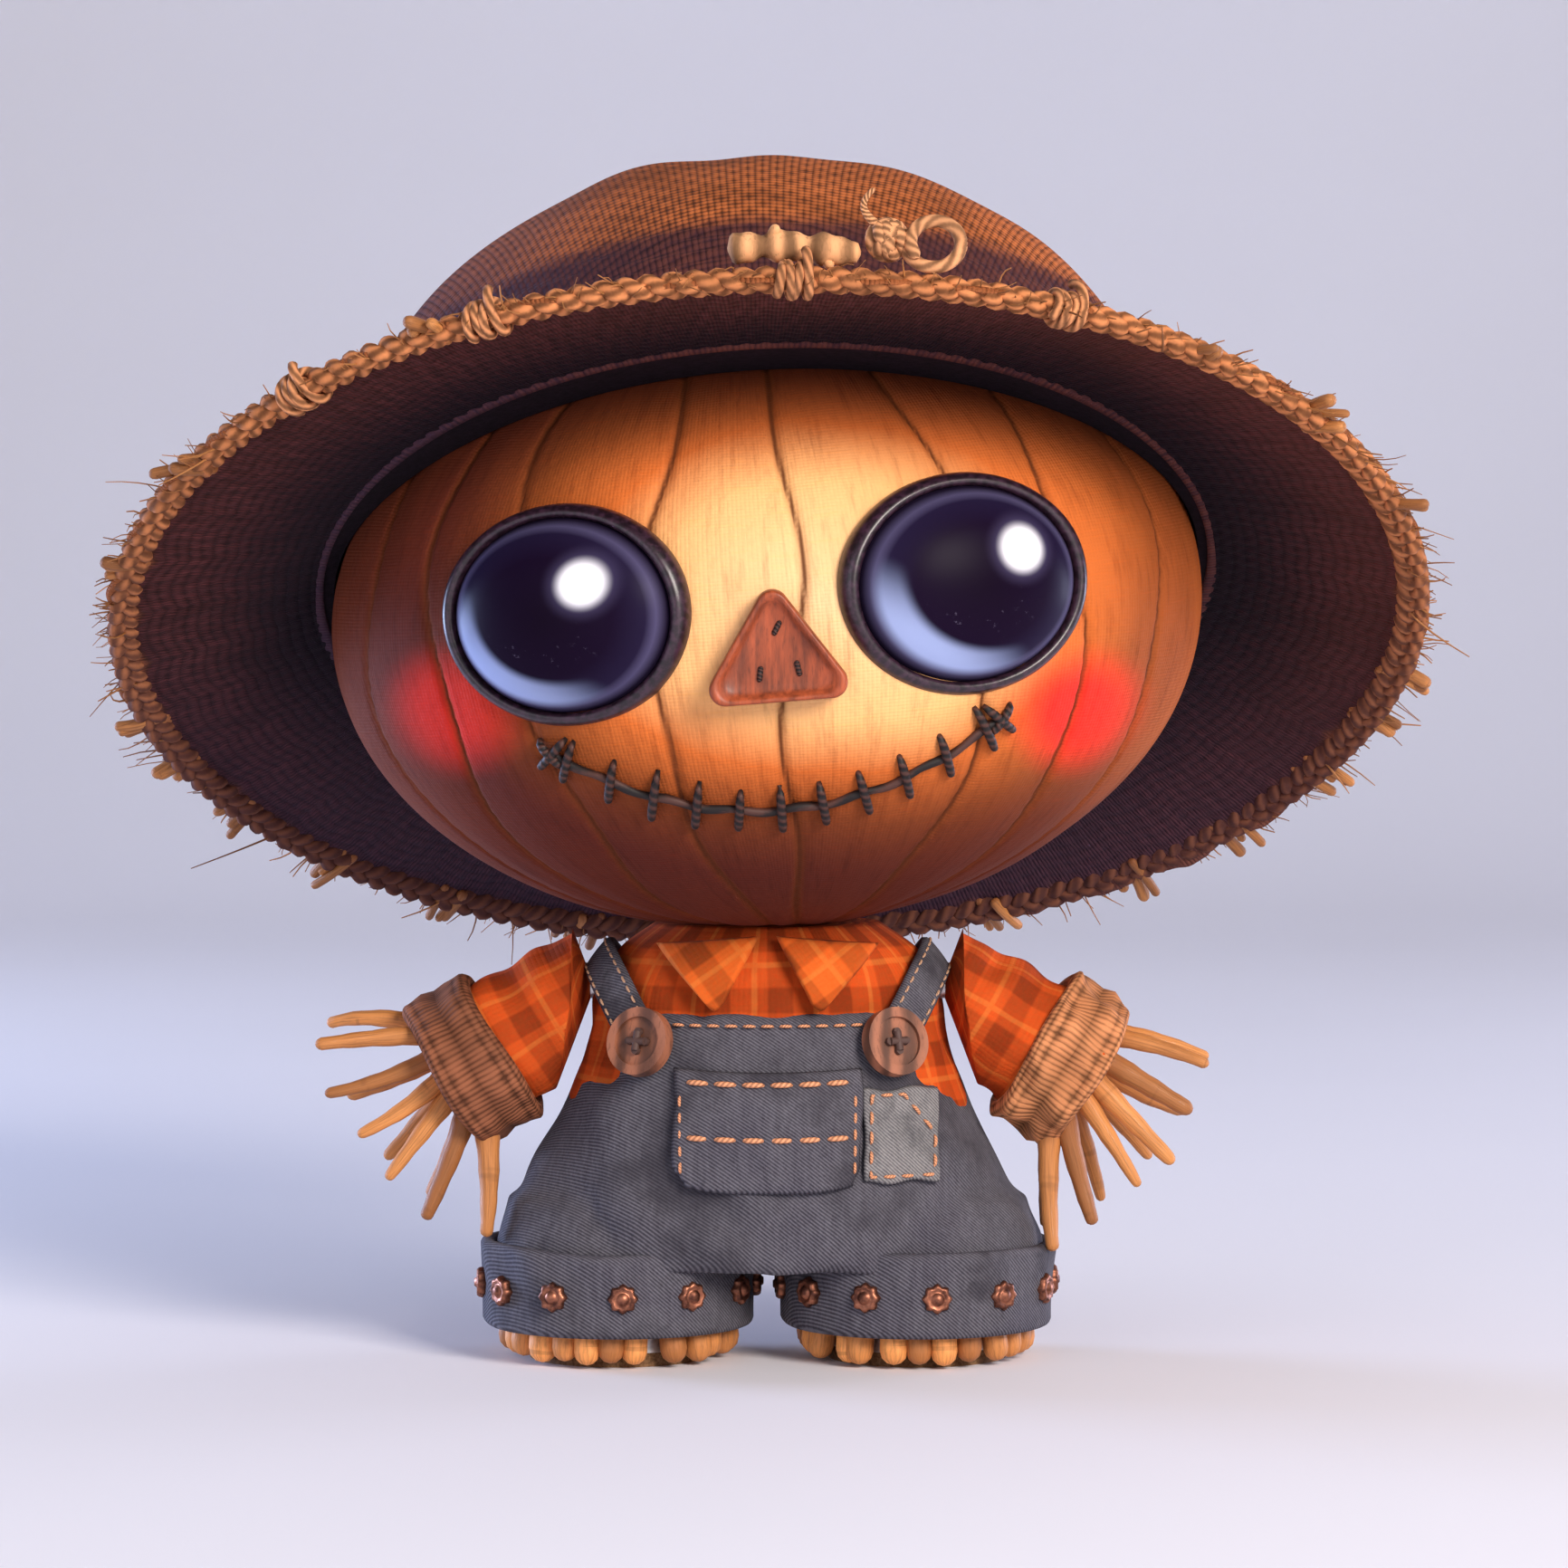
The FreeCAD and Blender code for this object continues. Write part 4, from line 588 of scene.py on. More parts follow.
def head_cloth():
    """Woven cloth, pale in the middle of the face and darker towards the sides, with rubbed cheeks. The pale
    middle is painted light set towards the lit +x side, and the darkening round the edges, at the bottom, at
    the top under the brim and on the -x side is painted shade.
    """
    sizes = bpy.context.scene.scarecrow_head
    middle = head_matrix().translation
    made = Finish("head_cloth", 0.78)
    x, y, z = made.axes(made.object_place((1, 1, 1), tuple(middle)))
    blotch = made.noise(made.object_place((1, 1, 0.6)), 22, 4)
    # The cloth's airbrushed tone: its pale middle is set towards the +x side, where the key light falls, as
    # painted light, and its deep outer end stands for the shade round the ball's silhouette, as painted
    # shade.
    wide = (x - 13 * MM) / (62 * MM)
    high = (z - 5 * MM) / (43 * MM)
    out = (wide * wide + high * high).root() * 1.12 + (blotch - 0.5) * 0.3
    front = (y * -1).step(0.01, 0.06)
    tone_and_painted_light = made.ramp(out * 0.5, (0.0, sizes.pale), (0.32, tuple(np.array(sizes.pale) * (0.98, 0.82, 0.62))),
                     (0.48, shade(sizes.warm, 1.1)), (0.62, shade(sizes.warm, 0.5)), (0.80, sizes.deep))
    back = made.mix(blotch.step(0.3, 0.7), shade(sizes.warm, 0.45), shade(sizes.warm, 0.75))
    ground = made.mix(front, back, tone_and_painted_light)
    # Darker towards the bottom of the head: painted shade.
    low = (z * -1).step(20 * MM, 62 * MM)
    ground = made.mix(low * 0.88, ground, shade(sizes.deep, 0.9))
    # Darker at the top, under the hat brim: painted shadow.
    ground = made.mix(z.step(26 * MM, 60 * MM) * 0.8, ground, shade(sizes.deep, 0.9))
    # Darker on the -x side, away from the key light: painted shade.
    ground = made.mix((x * -1).step(36 * MM, 88 * MM) * 0.8, ground, shade(sizes.deep, 0.9))
    for side, strength in ((1, 1.0), (-1, 0.6)):
        across = (x - side * 67 * MM) / (15 * MM)
        up = (z + 19 * MM) / (13 * MM)
        ring = (across * across + up * up).root() + (blotch - 0.5) * 0.3
        spot = (1 - ring.step(0.35, 1.3)) * front * strength
        ground = made.mix(spot, ground, sizes.blush)
    cloth = made.cloth_place()
    grain = made.noise(made.cloth_place((260, 14, 1)), 1.0, 5, 0.65)
    slub = made.noise(made.cloth_place((60, 300, 1)), 1.0, 3)
    ground = made.mix((grain.step(0.46, 0.74)) * 0.30, ground, shade(sizes.deep, 1.5), "MULTIPLY")
    ground = made.mix((slub.step(0.5, 0.75)) * 0.22, ground, shade(sizes.pale, 0.9), "SOFT_LIGHT")
    seam = made.vertex("seam")
    ground = made.mix(seam.step(0.55, 0.95) * 0.88, ground, (0.035, 0.008, 0.004))
    ground = made.mix(seam.step(0.0, 0.75) * 0.35, ground, shade(sizes.warm, 0.35))
    weave = made.weave(cloth, 620, 300)
    height = weave * 0.5 + grain * 0.6 + slub * 0.3
    made.rough(0.68 + grain * 0.2)
    return made.colour(ground).bump(height, 0.45, 0.5 * MM)


def burlap(name, colour, across, along, dark=0.3, light=1.6, strength=0.8, scale=1.0):
    """Coarse woven cloth: light crossings of round threads over dark gaps, with slubs and stains."""
    made = Finish(name, 0.88)
    cloth = made.cloth_place()
    weave = made.weave(cloth, across, along)
    stain = made.noise(made.object_place(), 30, 5)
    slub = made.noise(made.cloth_place((across * 0.12, along * 0.9, 1)), scale * 4 if scale < 1 else 1.0, 3)
    tone = (weave * 0.55 + slub * 0.45).step(0.2, 0.85)
    ground = made.mix(tone, shade(colour, dark), shade(colour, light))
    ground = made.mix(stain.step(0.42, 0.7) * 0.5, ground, shade(colour, dark * 0.9))
    return made, ground, weave * 0.8 + slub * 0.4, strength


def crown_cloth():
    """Burlap that darkens towards the band as painted shadow of the brim, and on the shaded side of the crown
    as painted shade.
    """
    sizes = bpy.context.scene.scarecrow_hat
    made, ground, height, strength = burlap("crown_burlap", sizes.cloth, 560, 560, scale=0.1)
    x = made.axes(made.object_place((1, 1, 1), tuple(hat_matrix().translation)))[0]
    low = made.vertex("low")
    # Near black at the crown's foot by the band: painted shadow of the brim.
    ground = made.mix(low * 0.85, ground, (0.035, 0.014, 0.026))
    # Darker on the -x side, away from the key light: painted shade.
    ground = made.mix((x * -1).step(10 * MM, 90 * MM) * 0.7, ground, (0.040, 0.022, 0.045))
    return made.colour(ground).bump(height, strength, 0.9 * MM)


def brim_cloth():
    """Straw cloth: dark red-brown under the brim as painted shade and almost black by the head as painted
    shadow, painted light towards the +x side and the front, painted shade on the lower parts, with a paler
    frayed edge.
    """
    sizes = bpy.context.scene.scarecrow_hat
    # The underside colour is a darker copy of the straw: painted shade under the brim.
    made, ground, height, strength = burlap("brim_straw_cloth", sizes.under, 900, 34, 0.35, 1.9, 0.9)
    x, y = made.axes(made.object_place((1, 1, 1), tuple(hat_matrix().translation)))[:2]
    out = made.vertex("out")
    under = made.vertex("under")
    streak = made.noise(made.cloth_place((420, 5, 1)), 1.0, 5, 0.7)
    # Lighter towards the +x side and the front, where the key light falls: painted light.
    side = x.step(-60 * MM, 120 * MM)
    front = (y * -1).step(-0.04, 0.13)
    tone_and_painted_light = (side * 0.6 + front * 0.55).held() * out.step(0.2, 1.0)
    ground = made.mix(streak.step(0.42, 0.62) * 0.5, ground, shade(sizes.under, 0.3))
    ground = made.mix(tone_and_painted_light * (0.15 + streak * 0.5), ground, (0.17, 0.042, 0.026))
    # Near black close to the head: painted shadow under the brim.
    ground = made.mix((1 - out.step(0.0, 0.7)) * 0.9, ground, (0.007, 0.004, 0.010))
    edge = out.step(0.86, 0.98) * (0.45 + streak * 0.7)
    ground = made.mix(edge.held() * 0.85, ground, (0.46, 0.15, 0.05))
    # Darker as the brim drops from 0.17 m towards 0.09 m high: painted shade.
    height_now = made.axes(made.object_place())[2]
    ground = made.mix(height_now.step(0.17, 0.09) * 0.6, ground, (0.050, 0.030, 0.055))
    top = made.mix(streak.step(0.35, 0.65), shade(sizes.cloth, 0.5), shade(sizes.cloth, 1.0))
    ground = made.mix(under, top, ground)
    return made.colour(ground).bump(height + streak * 0.9, strength, 1.0 * MM)


def braid_cloth(name, colour, twists):
    """Twisted jute: fine fibres that run round the strand on a slant, dark in the hollows."""
    made = Finish(name, 0.85)
    u, v, _ = made.axes(made.cloth_place())
    fibre = ((u * TURN * 3 + v * twists).sine() * 0.5 + 0.5)
    fuzz = made.noise(made.object_place(), 600, 4, 0.7)
    tint = made.noise(made.object_place(), 55, 3)
    tone = (fibre * 0.5 + fuzz * 0.5).step(0.2, 0.8)
    ground = made.mix(tone, shade(colour, 0.35), shade(colour, 1.35))
    ground = made.mix(tint.step(0.4, 0.7) * 0.5, ground, shade(colour, 0.45))
    # Darker below a height of 0.215 m down to 0.115 m: painted shade on the lower parts of the cord, ties and
    # knot.
    low = made.axes(made.object_place())[2].step(0.215, 0.115)
    ground = made.mix(low * 0.8, ground, (0.060, 0.022, 0.026))
    return made.colour(ground).bump(fibre * 0.7 + fuzz * 0.5, 0.7, 0.5 * MM)


def straw_stalk(name, bright=1.0):
    """Dry straw: long fine streaks, a tone of its own for each stalk, roots darkened as painted shade, and
    pale ends.
    """
    colour = shade(bpy.context.scene.scarecrow_clothes.straw, bright)
    made = Finish(name, 0.55, coat_weight=0.06)
    u, v, _ = made.axes(made.cloth_place())
    stalk = made.node("ShaderNodeTexWhiteNoise", {"noise_dimensions": "1D"},
                      {"W": u.floor()}, out="Value")
    streak = made.noise(made.cloth_place((26, 2.5, 1)), 1.0, 4, 0.7)
    node_ring = made.noise(made.cloth_place((0.6, 9, 1)), 1.0, 2)
    ground = made.mix(stalk, shade(colour, 0.55), tuple(np.array(colour) * (1.3, 1.45, 1.5)))
    ground = made.mix(streak.step(0.4, 0.7) * 0.6, ground, shade(colour, 0.3))
    ground = made.mix(node_ring.step(0.62, 0.7) * 0.35, ground, shade(colour, 0.28))
    # Darker towards each stalk's root, where it goes under the cloth: painted shade.
    ground = made.mix((1 - v.step(0.0, 0.45)) * 0.55, ground, (0.20, 0.045, 0.012))
    made.rough(0.45 + streak * 0.3)
    return made.colour(ground).bump(streak, 0.6, 0.4 * MM)


def wood(name, colour, grain_scale=240, coat=0.15, rough=0.45, ringed=0.4):
    """Oiled wood: stretched grain with fine pores, year rings where they are asked for, and a soft shine."""
    made = Finish(name, rough, coat_weight=coat, coat_roughness=0.3)
    spread = made.object_place((1, 1, 0.14))
    grain = made.noise(spread, grain_scale, 6, 0.65)
    rings = made.node("ShaderNodeTexWave", {"wave_type": "BANDS", "bands_direction": "X"},
                      {"Vector": made.object_place((1, 0.4, 0.3)), "Scale": 60.0, "Distortion": 6.0,
                       "Detail": 3.0},
                      out="Fac")
    tone = (grain * (1 - ringed) + rings * ringed).step(0.25, 0.75)
    ground = made.mix(tone, shade(colour, 0.4), shade(colour, 1.5))
    pores = made.noise(made.object_place((1, 1, 0.25)), 1500, 2)
    ground = made.mix(pores.step(0.55, 0.7) * 0.4, ground, shade(colour, 0.3))
    made.rough(rough - 0.05 + grain * 0.25)
    return made.colour(ground).bump(grain * 0.7 + pores * 0.3, 0.35, 0.3 * MM)


def felt(name, colour, scale=900):
    """Short matted fibres: fine mottled wool with soft bumps."""
    made = Finish(name, 0.92)
    fibre = made.noise(made.object_place(), scale, 5, 0.75)
    patch = made.noise(made.object_place(), scale / 14, 3)
    ground = made.mix(fibre.step(0.3, 0.7), shade(colour, 0.5), shade(colour, 1.7))
    ground = made.mix(patch.step(0.35, 0.65) * 0.35, ground, shade(colour, 0.6))
    return made.colour(ground).bump(fibre, 0.5, 0.4 * MM)


def steel():
    """Zinc-plated steel: faint turning marks and a light spangle."""
    made = Finish("zinc_steel", 0.35, metallic=1.0)
    mark = made.noise(made.object_place((1, 1, 12)), 400, 3)
    spangle = made.node("ShaderNodeTexVoronoi", None, {"Vector": made.object_place(), "Scale": 700.0},
                        out="Distance")
    ground = made.mix(spangle.step(0.1, 0.6), (0.48, 0.48, 0.50), (0.68, 0.68, 0.69))
    made.rough(0.28 + mark * 0.25)
    return made.colour(ground).bump(mark, 0.15, 0.1 * MM)


def board():
    """Pressed hardboard: flat brown with short fibres and specks."""
    made = Finish("hardboard", 0.8)
    speck = made.noise(made.object_place(), 1400, 4, 0.7)
    cloud = made.noise(made.object_place(), 90, 3)
    ground = made.mix(speck.step(0.35, 0.68), (0.11, 0.055, 0.025), (0.27, 0.15, 0.075))
    ground = made.mix(cloud.step(0.4, 0.65) * 0.3, ground, (0.09, 0.045, 0.02))
    return made.colour(ground).bump(speck, 0.3, 0.2 * MM)


def eye_glass():
    """Polished black with a violet cast, a pale crescent of painted reflection low on one side, painted
    glints, and a round painted highlight with a halo; the highlight and the crescent glow by emission as
    painted light.
    """
    made = Finish("eye_polish", 0.38, coat_weight=0.0, specular_ior_level=0.04)
    u, v, _ = made.axes(made.vertex_pair())
    out = (u * u + v * v).root()
    # The paler ring near the dome's edge is painted reflection.
    ground = made.ramp(out, (0.0, (0.006, 0.002, 0.010)), (0.60, (0.008, 0.003, 0.015)),
                       (0.84, (0.014, 0.009, 0.032)), (0.91, (0.070, 0.060, 0.13)),
                       (0.97, (0.010, 0.006, 0.018)))
    # A pale crescent low on one side: painted reflection of the cool lights.
    low_u, low_v = (u - 0.10) / 0.74, (v - 0.11) / 0.74
    ring = (low_u * low_u + low_v * low_v).root()
    facing = (v * -0.70 - u * 0.62).step(0.20, 0.75)
    painted_reflection = ring.step(0.98, 1.14) * (1 - out.step(0.84, 0.94)) * facing
    ground = made.mix(painted_reflection, ground, (0.30, 0.36, 0.60))
    # Small specks in the lower half: painted glints.
    speck = made.noise(made.vertex_pair(), 9, 4, 0.8)
    painted_glints = speck.step(0.60, 0.72) * (1 - abs(out - 0.42).step(0.0, 0.2)) * (v * -1).step(0.0, 0.4)
    ground = made.mix(painted_glints * 0.5, ground, (0.24, 0.20, 0.32))
    # A round soft white spot with a halo: painted highlight.
    light_u, light_v = (u - 0.36) / 0.27, (v - 0.32) / 0.30
    spot = (light_u * light_u + light_v * light_v).root()
    painted_halo = 1 - spot.step(0.6, 1.4)
    light = 1 - spot.step(0.45, 1.0)
    ground = made.mix(painted_halo * 0.4, ground, (0.12, 0.10, 0.22))
    ground = made.mix(light, ground, (0.95, 0.94, 1.0))
    # The highlight and the crescent also glow by emission: painted light.
    made.surface.inputs["Emission Strength"].default_value = 0.35
    painted_highlight_glow = made.mix(light * light, (0.0, 0.0, 0.0), (1.0, 1.0, 1.0))
    made.join(made.mix(painted_reflection * 0.5, painted_highlight_glow, (0.20, 0.26, 0.48)), made.surface.inputs["Emission Color"])
    made.colour(ground)
    return made.material


def thread_dark():
    """Waxed dark thread: two plies twisted round each other."""
    made = Finish("mouth_thread", 0.6)
    u, v, _ = made.axes(made.cloth_place())
    ply = (u * TURN + v * 40).sine() * 0.5 + 0.5
    fuzz = made.noise(made.object_place(), 900, 3)
    ground = made.mix((ply * 0.6 + fuzz * 0.4).step(0.3, 0.8), (0.008, 0.004, 0.004), (0.07, 0.025, 0.018))
    return made.colour(ground).bump(ply, 0.6, 0.3 * MM)


# ---- the head ----

SEAM_TURNS = (-66, -50, -34, -14, 3, 27, 45, 64, 84, 104, 125, 146, 168, 190, 212, 233, 254, 275)


def on_head(x, z, lift=0.0):
    """Points of the head's frame on the front of the skin: the ellipsoid solved for its depth, then lifted
    along the ellipsoid's normal."""
    sizes = bpy.context.scene.scarecrow_head
    half = np.array((sizes.half_wide, sizes.half_deep, sizes.half_tall))
    x, z = np.broadcast_arrays(np.asarray(x, float), np.asarray(z, float))
    y = -half[1] * np.sqrt(np.clip(1 - (x / half[0]) ** 2 - (z / half[2]) ** 2, 0, 1))
    points = np.stack([x, y, z], -1)
    return points + unit(points / half ** 2) * np.asarray(lift)[..., None]


def seam_drift(turn, latitude):
    """A seam wanders a little off its meridian as it runs down."""
    return 0.03 * np.sin(3 * latitude + turn * 5) + 0.02 * np.sin(7 * latitude + turn * 11)


class SCARECROW_OT_head(bpy.types.Operator):
    """Make the stuffed head: an ellipsoid whose panels swell between sewn meridian seams"""
    bl_idname = "scarecrow.head"
    bl_label = "Stuffed Head"

    def execute(self, context):
        sizes = context.scene.scarecrow_head
        rows, cols = 150, 540
        latitude = np.linspace(-0.5 * math.pi, 0.5 * math.pi, rows)[:, None] * 0.9995
        turn = (np.arange(cols) * TURN / cols)[None]
        seams = np.radians(SEAM_TURNS)[:, None, None]
        drift = seam_drift(seams, latitude[None])
        apart = np.abs((turn[None] - seams - drift + math.pi) % TURN - math.pi)
        nearest = apart.min(0) * np.cos(latitude) * sizes.half_wide
        groove = np.exp(-(nearest / (1.1 * MM)) ** 2)
        swell = 1 - np.exp(-(nearest / (7 * MM)) ** 2)
        fade = ease(np.cos(latitude), 0.05, 0.35)
        pucker = np.sin(latitude * 95 + turn * 3) * np.exp(-(nearest / (3 * MM)) ** 2) * 0.12 * MM
        lump = 0.25 * MM * np.sin(turn * 5 + latitude * 3) * np.cos(latitude * 4 + turn * 2)
        lift = ((0.55 * MM * (swell - 1) - (sizes.seam_deep - 0.55 * MM) * groove) * fade
                + pucker * fade + lump)
        half = np.array((sizes.half_wide, sizes.half_deep, sizes.half_tall))
        direction = np.stack([np.sin(turn) * np.cos(latitude), -np.cos(turn) * np.cos(latitude),
                              np.broadcast_to(np.sin(latitude), (rows, cols))], -1)
        points = direction * half
        points = points + unit(points / half ** 2) * (lift - 0.15 * MM)[..., None]
        points = place(points, head_matrix())
        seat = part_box("head_cover")[0].z
        points[..., 2] = np.maximum(points[..., 2], seat + 0.1 * MM)
        ball = surface("head_ball", points, head_cloth(), wrap_cols=True, caps=True)
        attribute(ball, "seam", np.append((groove * fade).ravel(), [0, 0]))
        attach(ball, "head")
        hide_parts("head_cover")
        return {"FINISHED"}


def eye_matrix(side):
    """An eye's frame on the skin: Z points out of the head, X to the figure's left and Y up."""
    head, face = bpy.context.scene.scarecrow_head, bpy.context.scene.scarecrow_face
    rise = face.eye_rise
    depth = head.half_deep * math.sqrt(1 - (face.eye_side / head.half_wide) ** 2
                                       - (rise / head.half_tall) ** 2)
    return (head_matrix() @ Matrix.Translation((side * face.eye_side, -depth, rise))
            @ Matrix.Rotation(side * face.eye_yaw, 4, "Z") @ Matrix.Rotation(math.pi / 2, 4, "X")
            @ Matrix.Translation((0, 0, -4 * MM)))


class SCARECROW_OT_eyes(bpy.types.Operator):
    """Make the eyes: polished half domes, each with a soft dark rim rolled round it"""
    bl_idname = "scarecrow.eyes"
    bl_label = "Eyes"

    def execute(self, context):
        face = context.scene.scarecrow_face
        polish = eye_glass()
        rim = Finish("eye_rim_leather", 0.38, coat_weight=0.35, coat_roughness=0.25)
        grain = rim.noise(rim.object_place(), 700, 4)
        rim.colour(rim.mix(grain.step(0.35, 0.7), (0.010, 0.004, 0.008), (0.045, 0.018, 0.035)))
        rim_material = rim.bump(grain, 0.3, 0.2 * MM)
        for label, side in SIDES:
            frame_place = eye_matrix(side)
            share = np.linspace(0.0, 1.0, 40)[:, None]
            turn = (np.arange(96) * TURN / 96)[None]
            lean = share * math.pi / 2
            dome = np.stack([face.eye_wide * np.sin(lean) * np.cos(turn),
                             face.eye_tall * np.sin(lean) * np.sin(turn),
                             face.eye_bulge * np.cos(lean) * np.ones_like(turn)], -1)
            disc = np.stack([np.sin(lean) * np.cos(turn), np.sin(lean) * np.sin(turn),
                             np.zeros_like(lean * turn)], -1)
            foot = dome[-1:] * (1, 1, 0) - (0, 0, 3 * MM)
            points = np.concatenate([dome[1:], foot])
            disc = np.concatenate([disc[1:], disc[-1:]])
            made = surface("eye_dome_" + label, place(points, frame_place), polish, wrap_cols=True, caps=True)
            layer = made.data.attributes.new("disc", "FLOAT_VECTOR", "POINT")
            stored = np.concatenate([disc.reshape(-1, 3), np.zeros((2, 3))])
            layer.data.foreach_set("vector", stored.astype(np.float32).ravel())
            around = (np.arange(120) * TURN / 120)[:, None]
            across = (np.arange(20) * TURN / 20)[None]
            thick = 1.9 * MM * (1 + 0.08 * wander(around, (3, 5, 8), 4))
            reach = 1 + (thick * 0.75 + thick * np.cos(across)) / face.eye_wide
            ring = np.stack([face.eye_wide * reach * np.cos(around), face.eye_tall * reach * np.sin(around),
                             1.0 * MM + thick * 1.5 * np.sin(across) + 0 * around], -1)
            local = on_skin_depth(ring, frame_place)
            roll = surface("eye_roll_" + label, place(local, frame_place), rim_material, wrap_rows=True,
                           wrap_cols=True)
            for piece, node, slot in ((made, "eye_" + label, "eye_gloss"),
                                      (roll, "eye_rim_" + label, "eye_rim")):
                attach(piece, "head")
                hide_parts(node)
        return {"FINISHED"}


def on_skin_depth(ring, frame_place):
    """Slides a ring's points along the eye's axis so that the ring lies on the curved skin: its depth is
    the ellipsoid's, worked out from the two curvatures at the eye."""
    head = bpy.context.scene.scarecrow_head
    across = ring[..., 0] ** 2 / (2 * head.half_wide * 1.04) + ring[..., 1] ** 2 / (2 * head.half_tall * 0.82)
    return ring + np.stack([0 * across, 0 * across, 3.6 * MM - across], -1)


class SCARECROW_OT_nose(bpy.types.Operator):
    """Make the nose: a rounded wooden triangle with a raised edge and three small cuts"""
    bl_idname = "scarecrow.nose"
    bl_label = "Nose"

    def execute(self, context):
        head = context.scene.scarecrow_head
        turn = (np.arange(180) * TURN / 180)
        corner = 3.4 * MM
        half_low, tall = 14.5 * MM - corner, 23.5 * MM - 2 * corner
        corners = np.array([(-half_low, 0), (half_low, 0), (0, tall)])
        middle = corners.mean(0)
        outline = rounded_outline(corners - middle, corner, turn)
        share = np.array([0.0, 0.3, 0.55, 0.72, 0.80, 0.86, 0.92, 0.965, 0.99, 1.0, 1.0, 1.0, 1.0])
        height = np.array([3.9, 3.9, 3.95, 4.1, 4.7, 5.6, 6.1, 6.0, 5.4, 4.5, 2.5, 0.0, -5.0]) * MM
        points = outline[None] * share[:, None, None]
        dent = 0.12 * MM * np.sin(turn * 9)[None] * ease(share, 0.7, 1.0)[:, None]
        raised = np.concatenate([points, (height[:, None] + dent)[..., None]], -1)
        drop = context.scene.scarecrow_face.nose_drop
        base = Vector((1.5 * MM, -head.half_deep, corner + middle[1] - drop))
        turn_out = Matrix.Translation(base) @ Matrix.Rotation(math.pi / 2, 4, "X")
        raised = place(raised[1:], head_matrix() @ turn_out)
        nose = surface("nose_wedge", raised, wood("nose_wood", (0.30, 0.058, 0.018), 420, ringed=0.0),
                       wrap_cols=True, caps=True)
        marks = np.array([(0.6, 9.5, 60), (-3.6, 0.2, 80), (4.4, 0.8, 100)])
        lean = np.radians(marks[:, 2])
        middle_points = np.stack([marks[:, 0] * MM, (marks[:, 1] - 3) * MM, np.full(3, 4.0 * MM)], -1)
        reach = np.stack([np.cos(lean), np.sin(lean), np.zeros(3)], -1) * 1.7 * MM
        paths, radii = capsule_paths(middle_points - reach, middle_points + reach, 0.62 * MM, 5)
        cuts = rods("nose_cuts", place(paths, head_matrix() @ turn_out), radii, 10, thread_dark())
        for piece in (nose, cuts):
            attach(piece, "head")
        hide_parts("nose")
        return {"FINISHED"}


def rounded_outline(corners, radius, turn):
    """The outline of a polygon grown by a radius, as the farthest point along each direction: the corner that
    reaches farthest, plus the radius in that direction, spread evenly by mixing close corners."""
    direction = np.stack([np.cos(turn), np.sin(turn)], -1)
    starts, ends = corners, np.roll(corners, -1, axis=0)
    steps = np.linspace(0, 1, 40)[None, :, None]
    rim = (starts[:, None] * (1 - steps) + ends[:, None] * steps).reshape(-1, 2)
    gap = rim[None] - direction[:, None] * 0
    cross = np.abs(gap[..., 0] * direction[:, None, 1] - gap[..., 1] * direction[:, None, 0])
    ahead = (gap * direction[:, None]).sum(-1)
    inside = np.where((cross < radius) & (ahead > 0),
                      ahead + np.sqrt(np.clip(radius ** 2 - cross ** 2, 0, None)), 0)
    return direction * inside.max(1)[:, None]


class SCARECROW_OT_mouth(bpy.types.Operator):
    """Make the mouth: a thread laid on the cover, cross stitches over it, and an X at each end"""
    bl_idname = "scarecrow.mouth"
    bl_label = "Stitched Mouth"

    def execute(self, context):
        face = context.scene.scarecrow_face
        dark = thread_dark()
        share = np.linspace(-1.0, 1.0, 90)
        x = share * face.mouth_half
        z = -face.mouth_end - face.mouth_dip * (1 - share ** 2) + 0.35 * MM * np.sin(share * 23)
        line = on_head(x, z, 0.25 * MM)[None]
        swell = 0.80 * MM + 0.2 * MM * np.abs(np.sin(share * math.pi * (face.stitches - 1) / 2))
        thread = rods("mouth_line", place(line, head_matrix()),
                      swell[None] * np.minimum(1, 1.4 - share ** 40)[None],
                      12, dark)
        number = np.arange(face.stitches)
        at = -0.90 + 1.80 * number / (face.stitches - 1)
        rng = np.random.default_rng(5)
        tilt = -at * 0.42 + rng.normal(0, 0.06, face.stitches)
        half = (5.0 + rng.normal(0, 0.35, face.stitches)) * MM
        ends = np.array([(-0.965, 0.80, 4.2), (-0.965, -0.72, 4.0), (0.965, 0.72, 4.0), (0.965, -0.80, 4.2)])
        at = np.concatenate([at, ends[:, 0]])
        tilt = np.concatenate([tilt, ends[:, 1]])
        half = np.concatenate([half, ends[:, 2] * MM])
        along = np.linspace(-1, 1, 11)[None]
        x = at[:, None] * face.mouth_half + along * (half * np.sin(tilt))[:, None]
        z = (-face.mouth_end - face.mouth_dip * (1 - at[:, None] ** 2)
             + along * (half * np.cos(tilt))[:, None])
        arch = (0.55 + 0.75 * (1 - along ** 2) - 1.1 * np.abs(along) ** 9) * MM
        crossing = place(on_head(x, z, arch + 0 * x), head_matrix())
        taper = (0.98 - 0.45 * np.abs(along) ** 5) * MM + 0 * x
        stitches = rods("mouth_crosses", crossing, taper, 10, dark)
        for piece, node in ((thread, "mouth_thread"), (stitches, "mouth_stitches")):
            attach(piece, "head")
            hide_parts(node)
        return {"FINISHED"}


# ---- the hat ----

def round_hat(turn, out, up):
    """Places round the hat's axis, from a turn, a radius and a height over the head's middle."""
    turn, out, up = np.broadcast_arrays(turn, out, up)
    return place(np.stack([out * np.cos(turn), out * np.sin(turn), up], -1), hat_matrix())


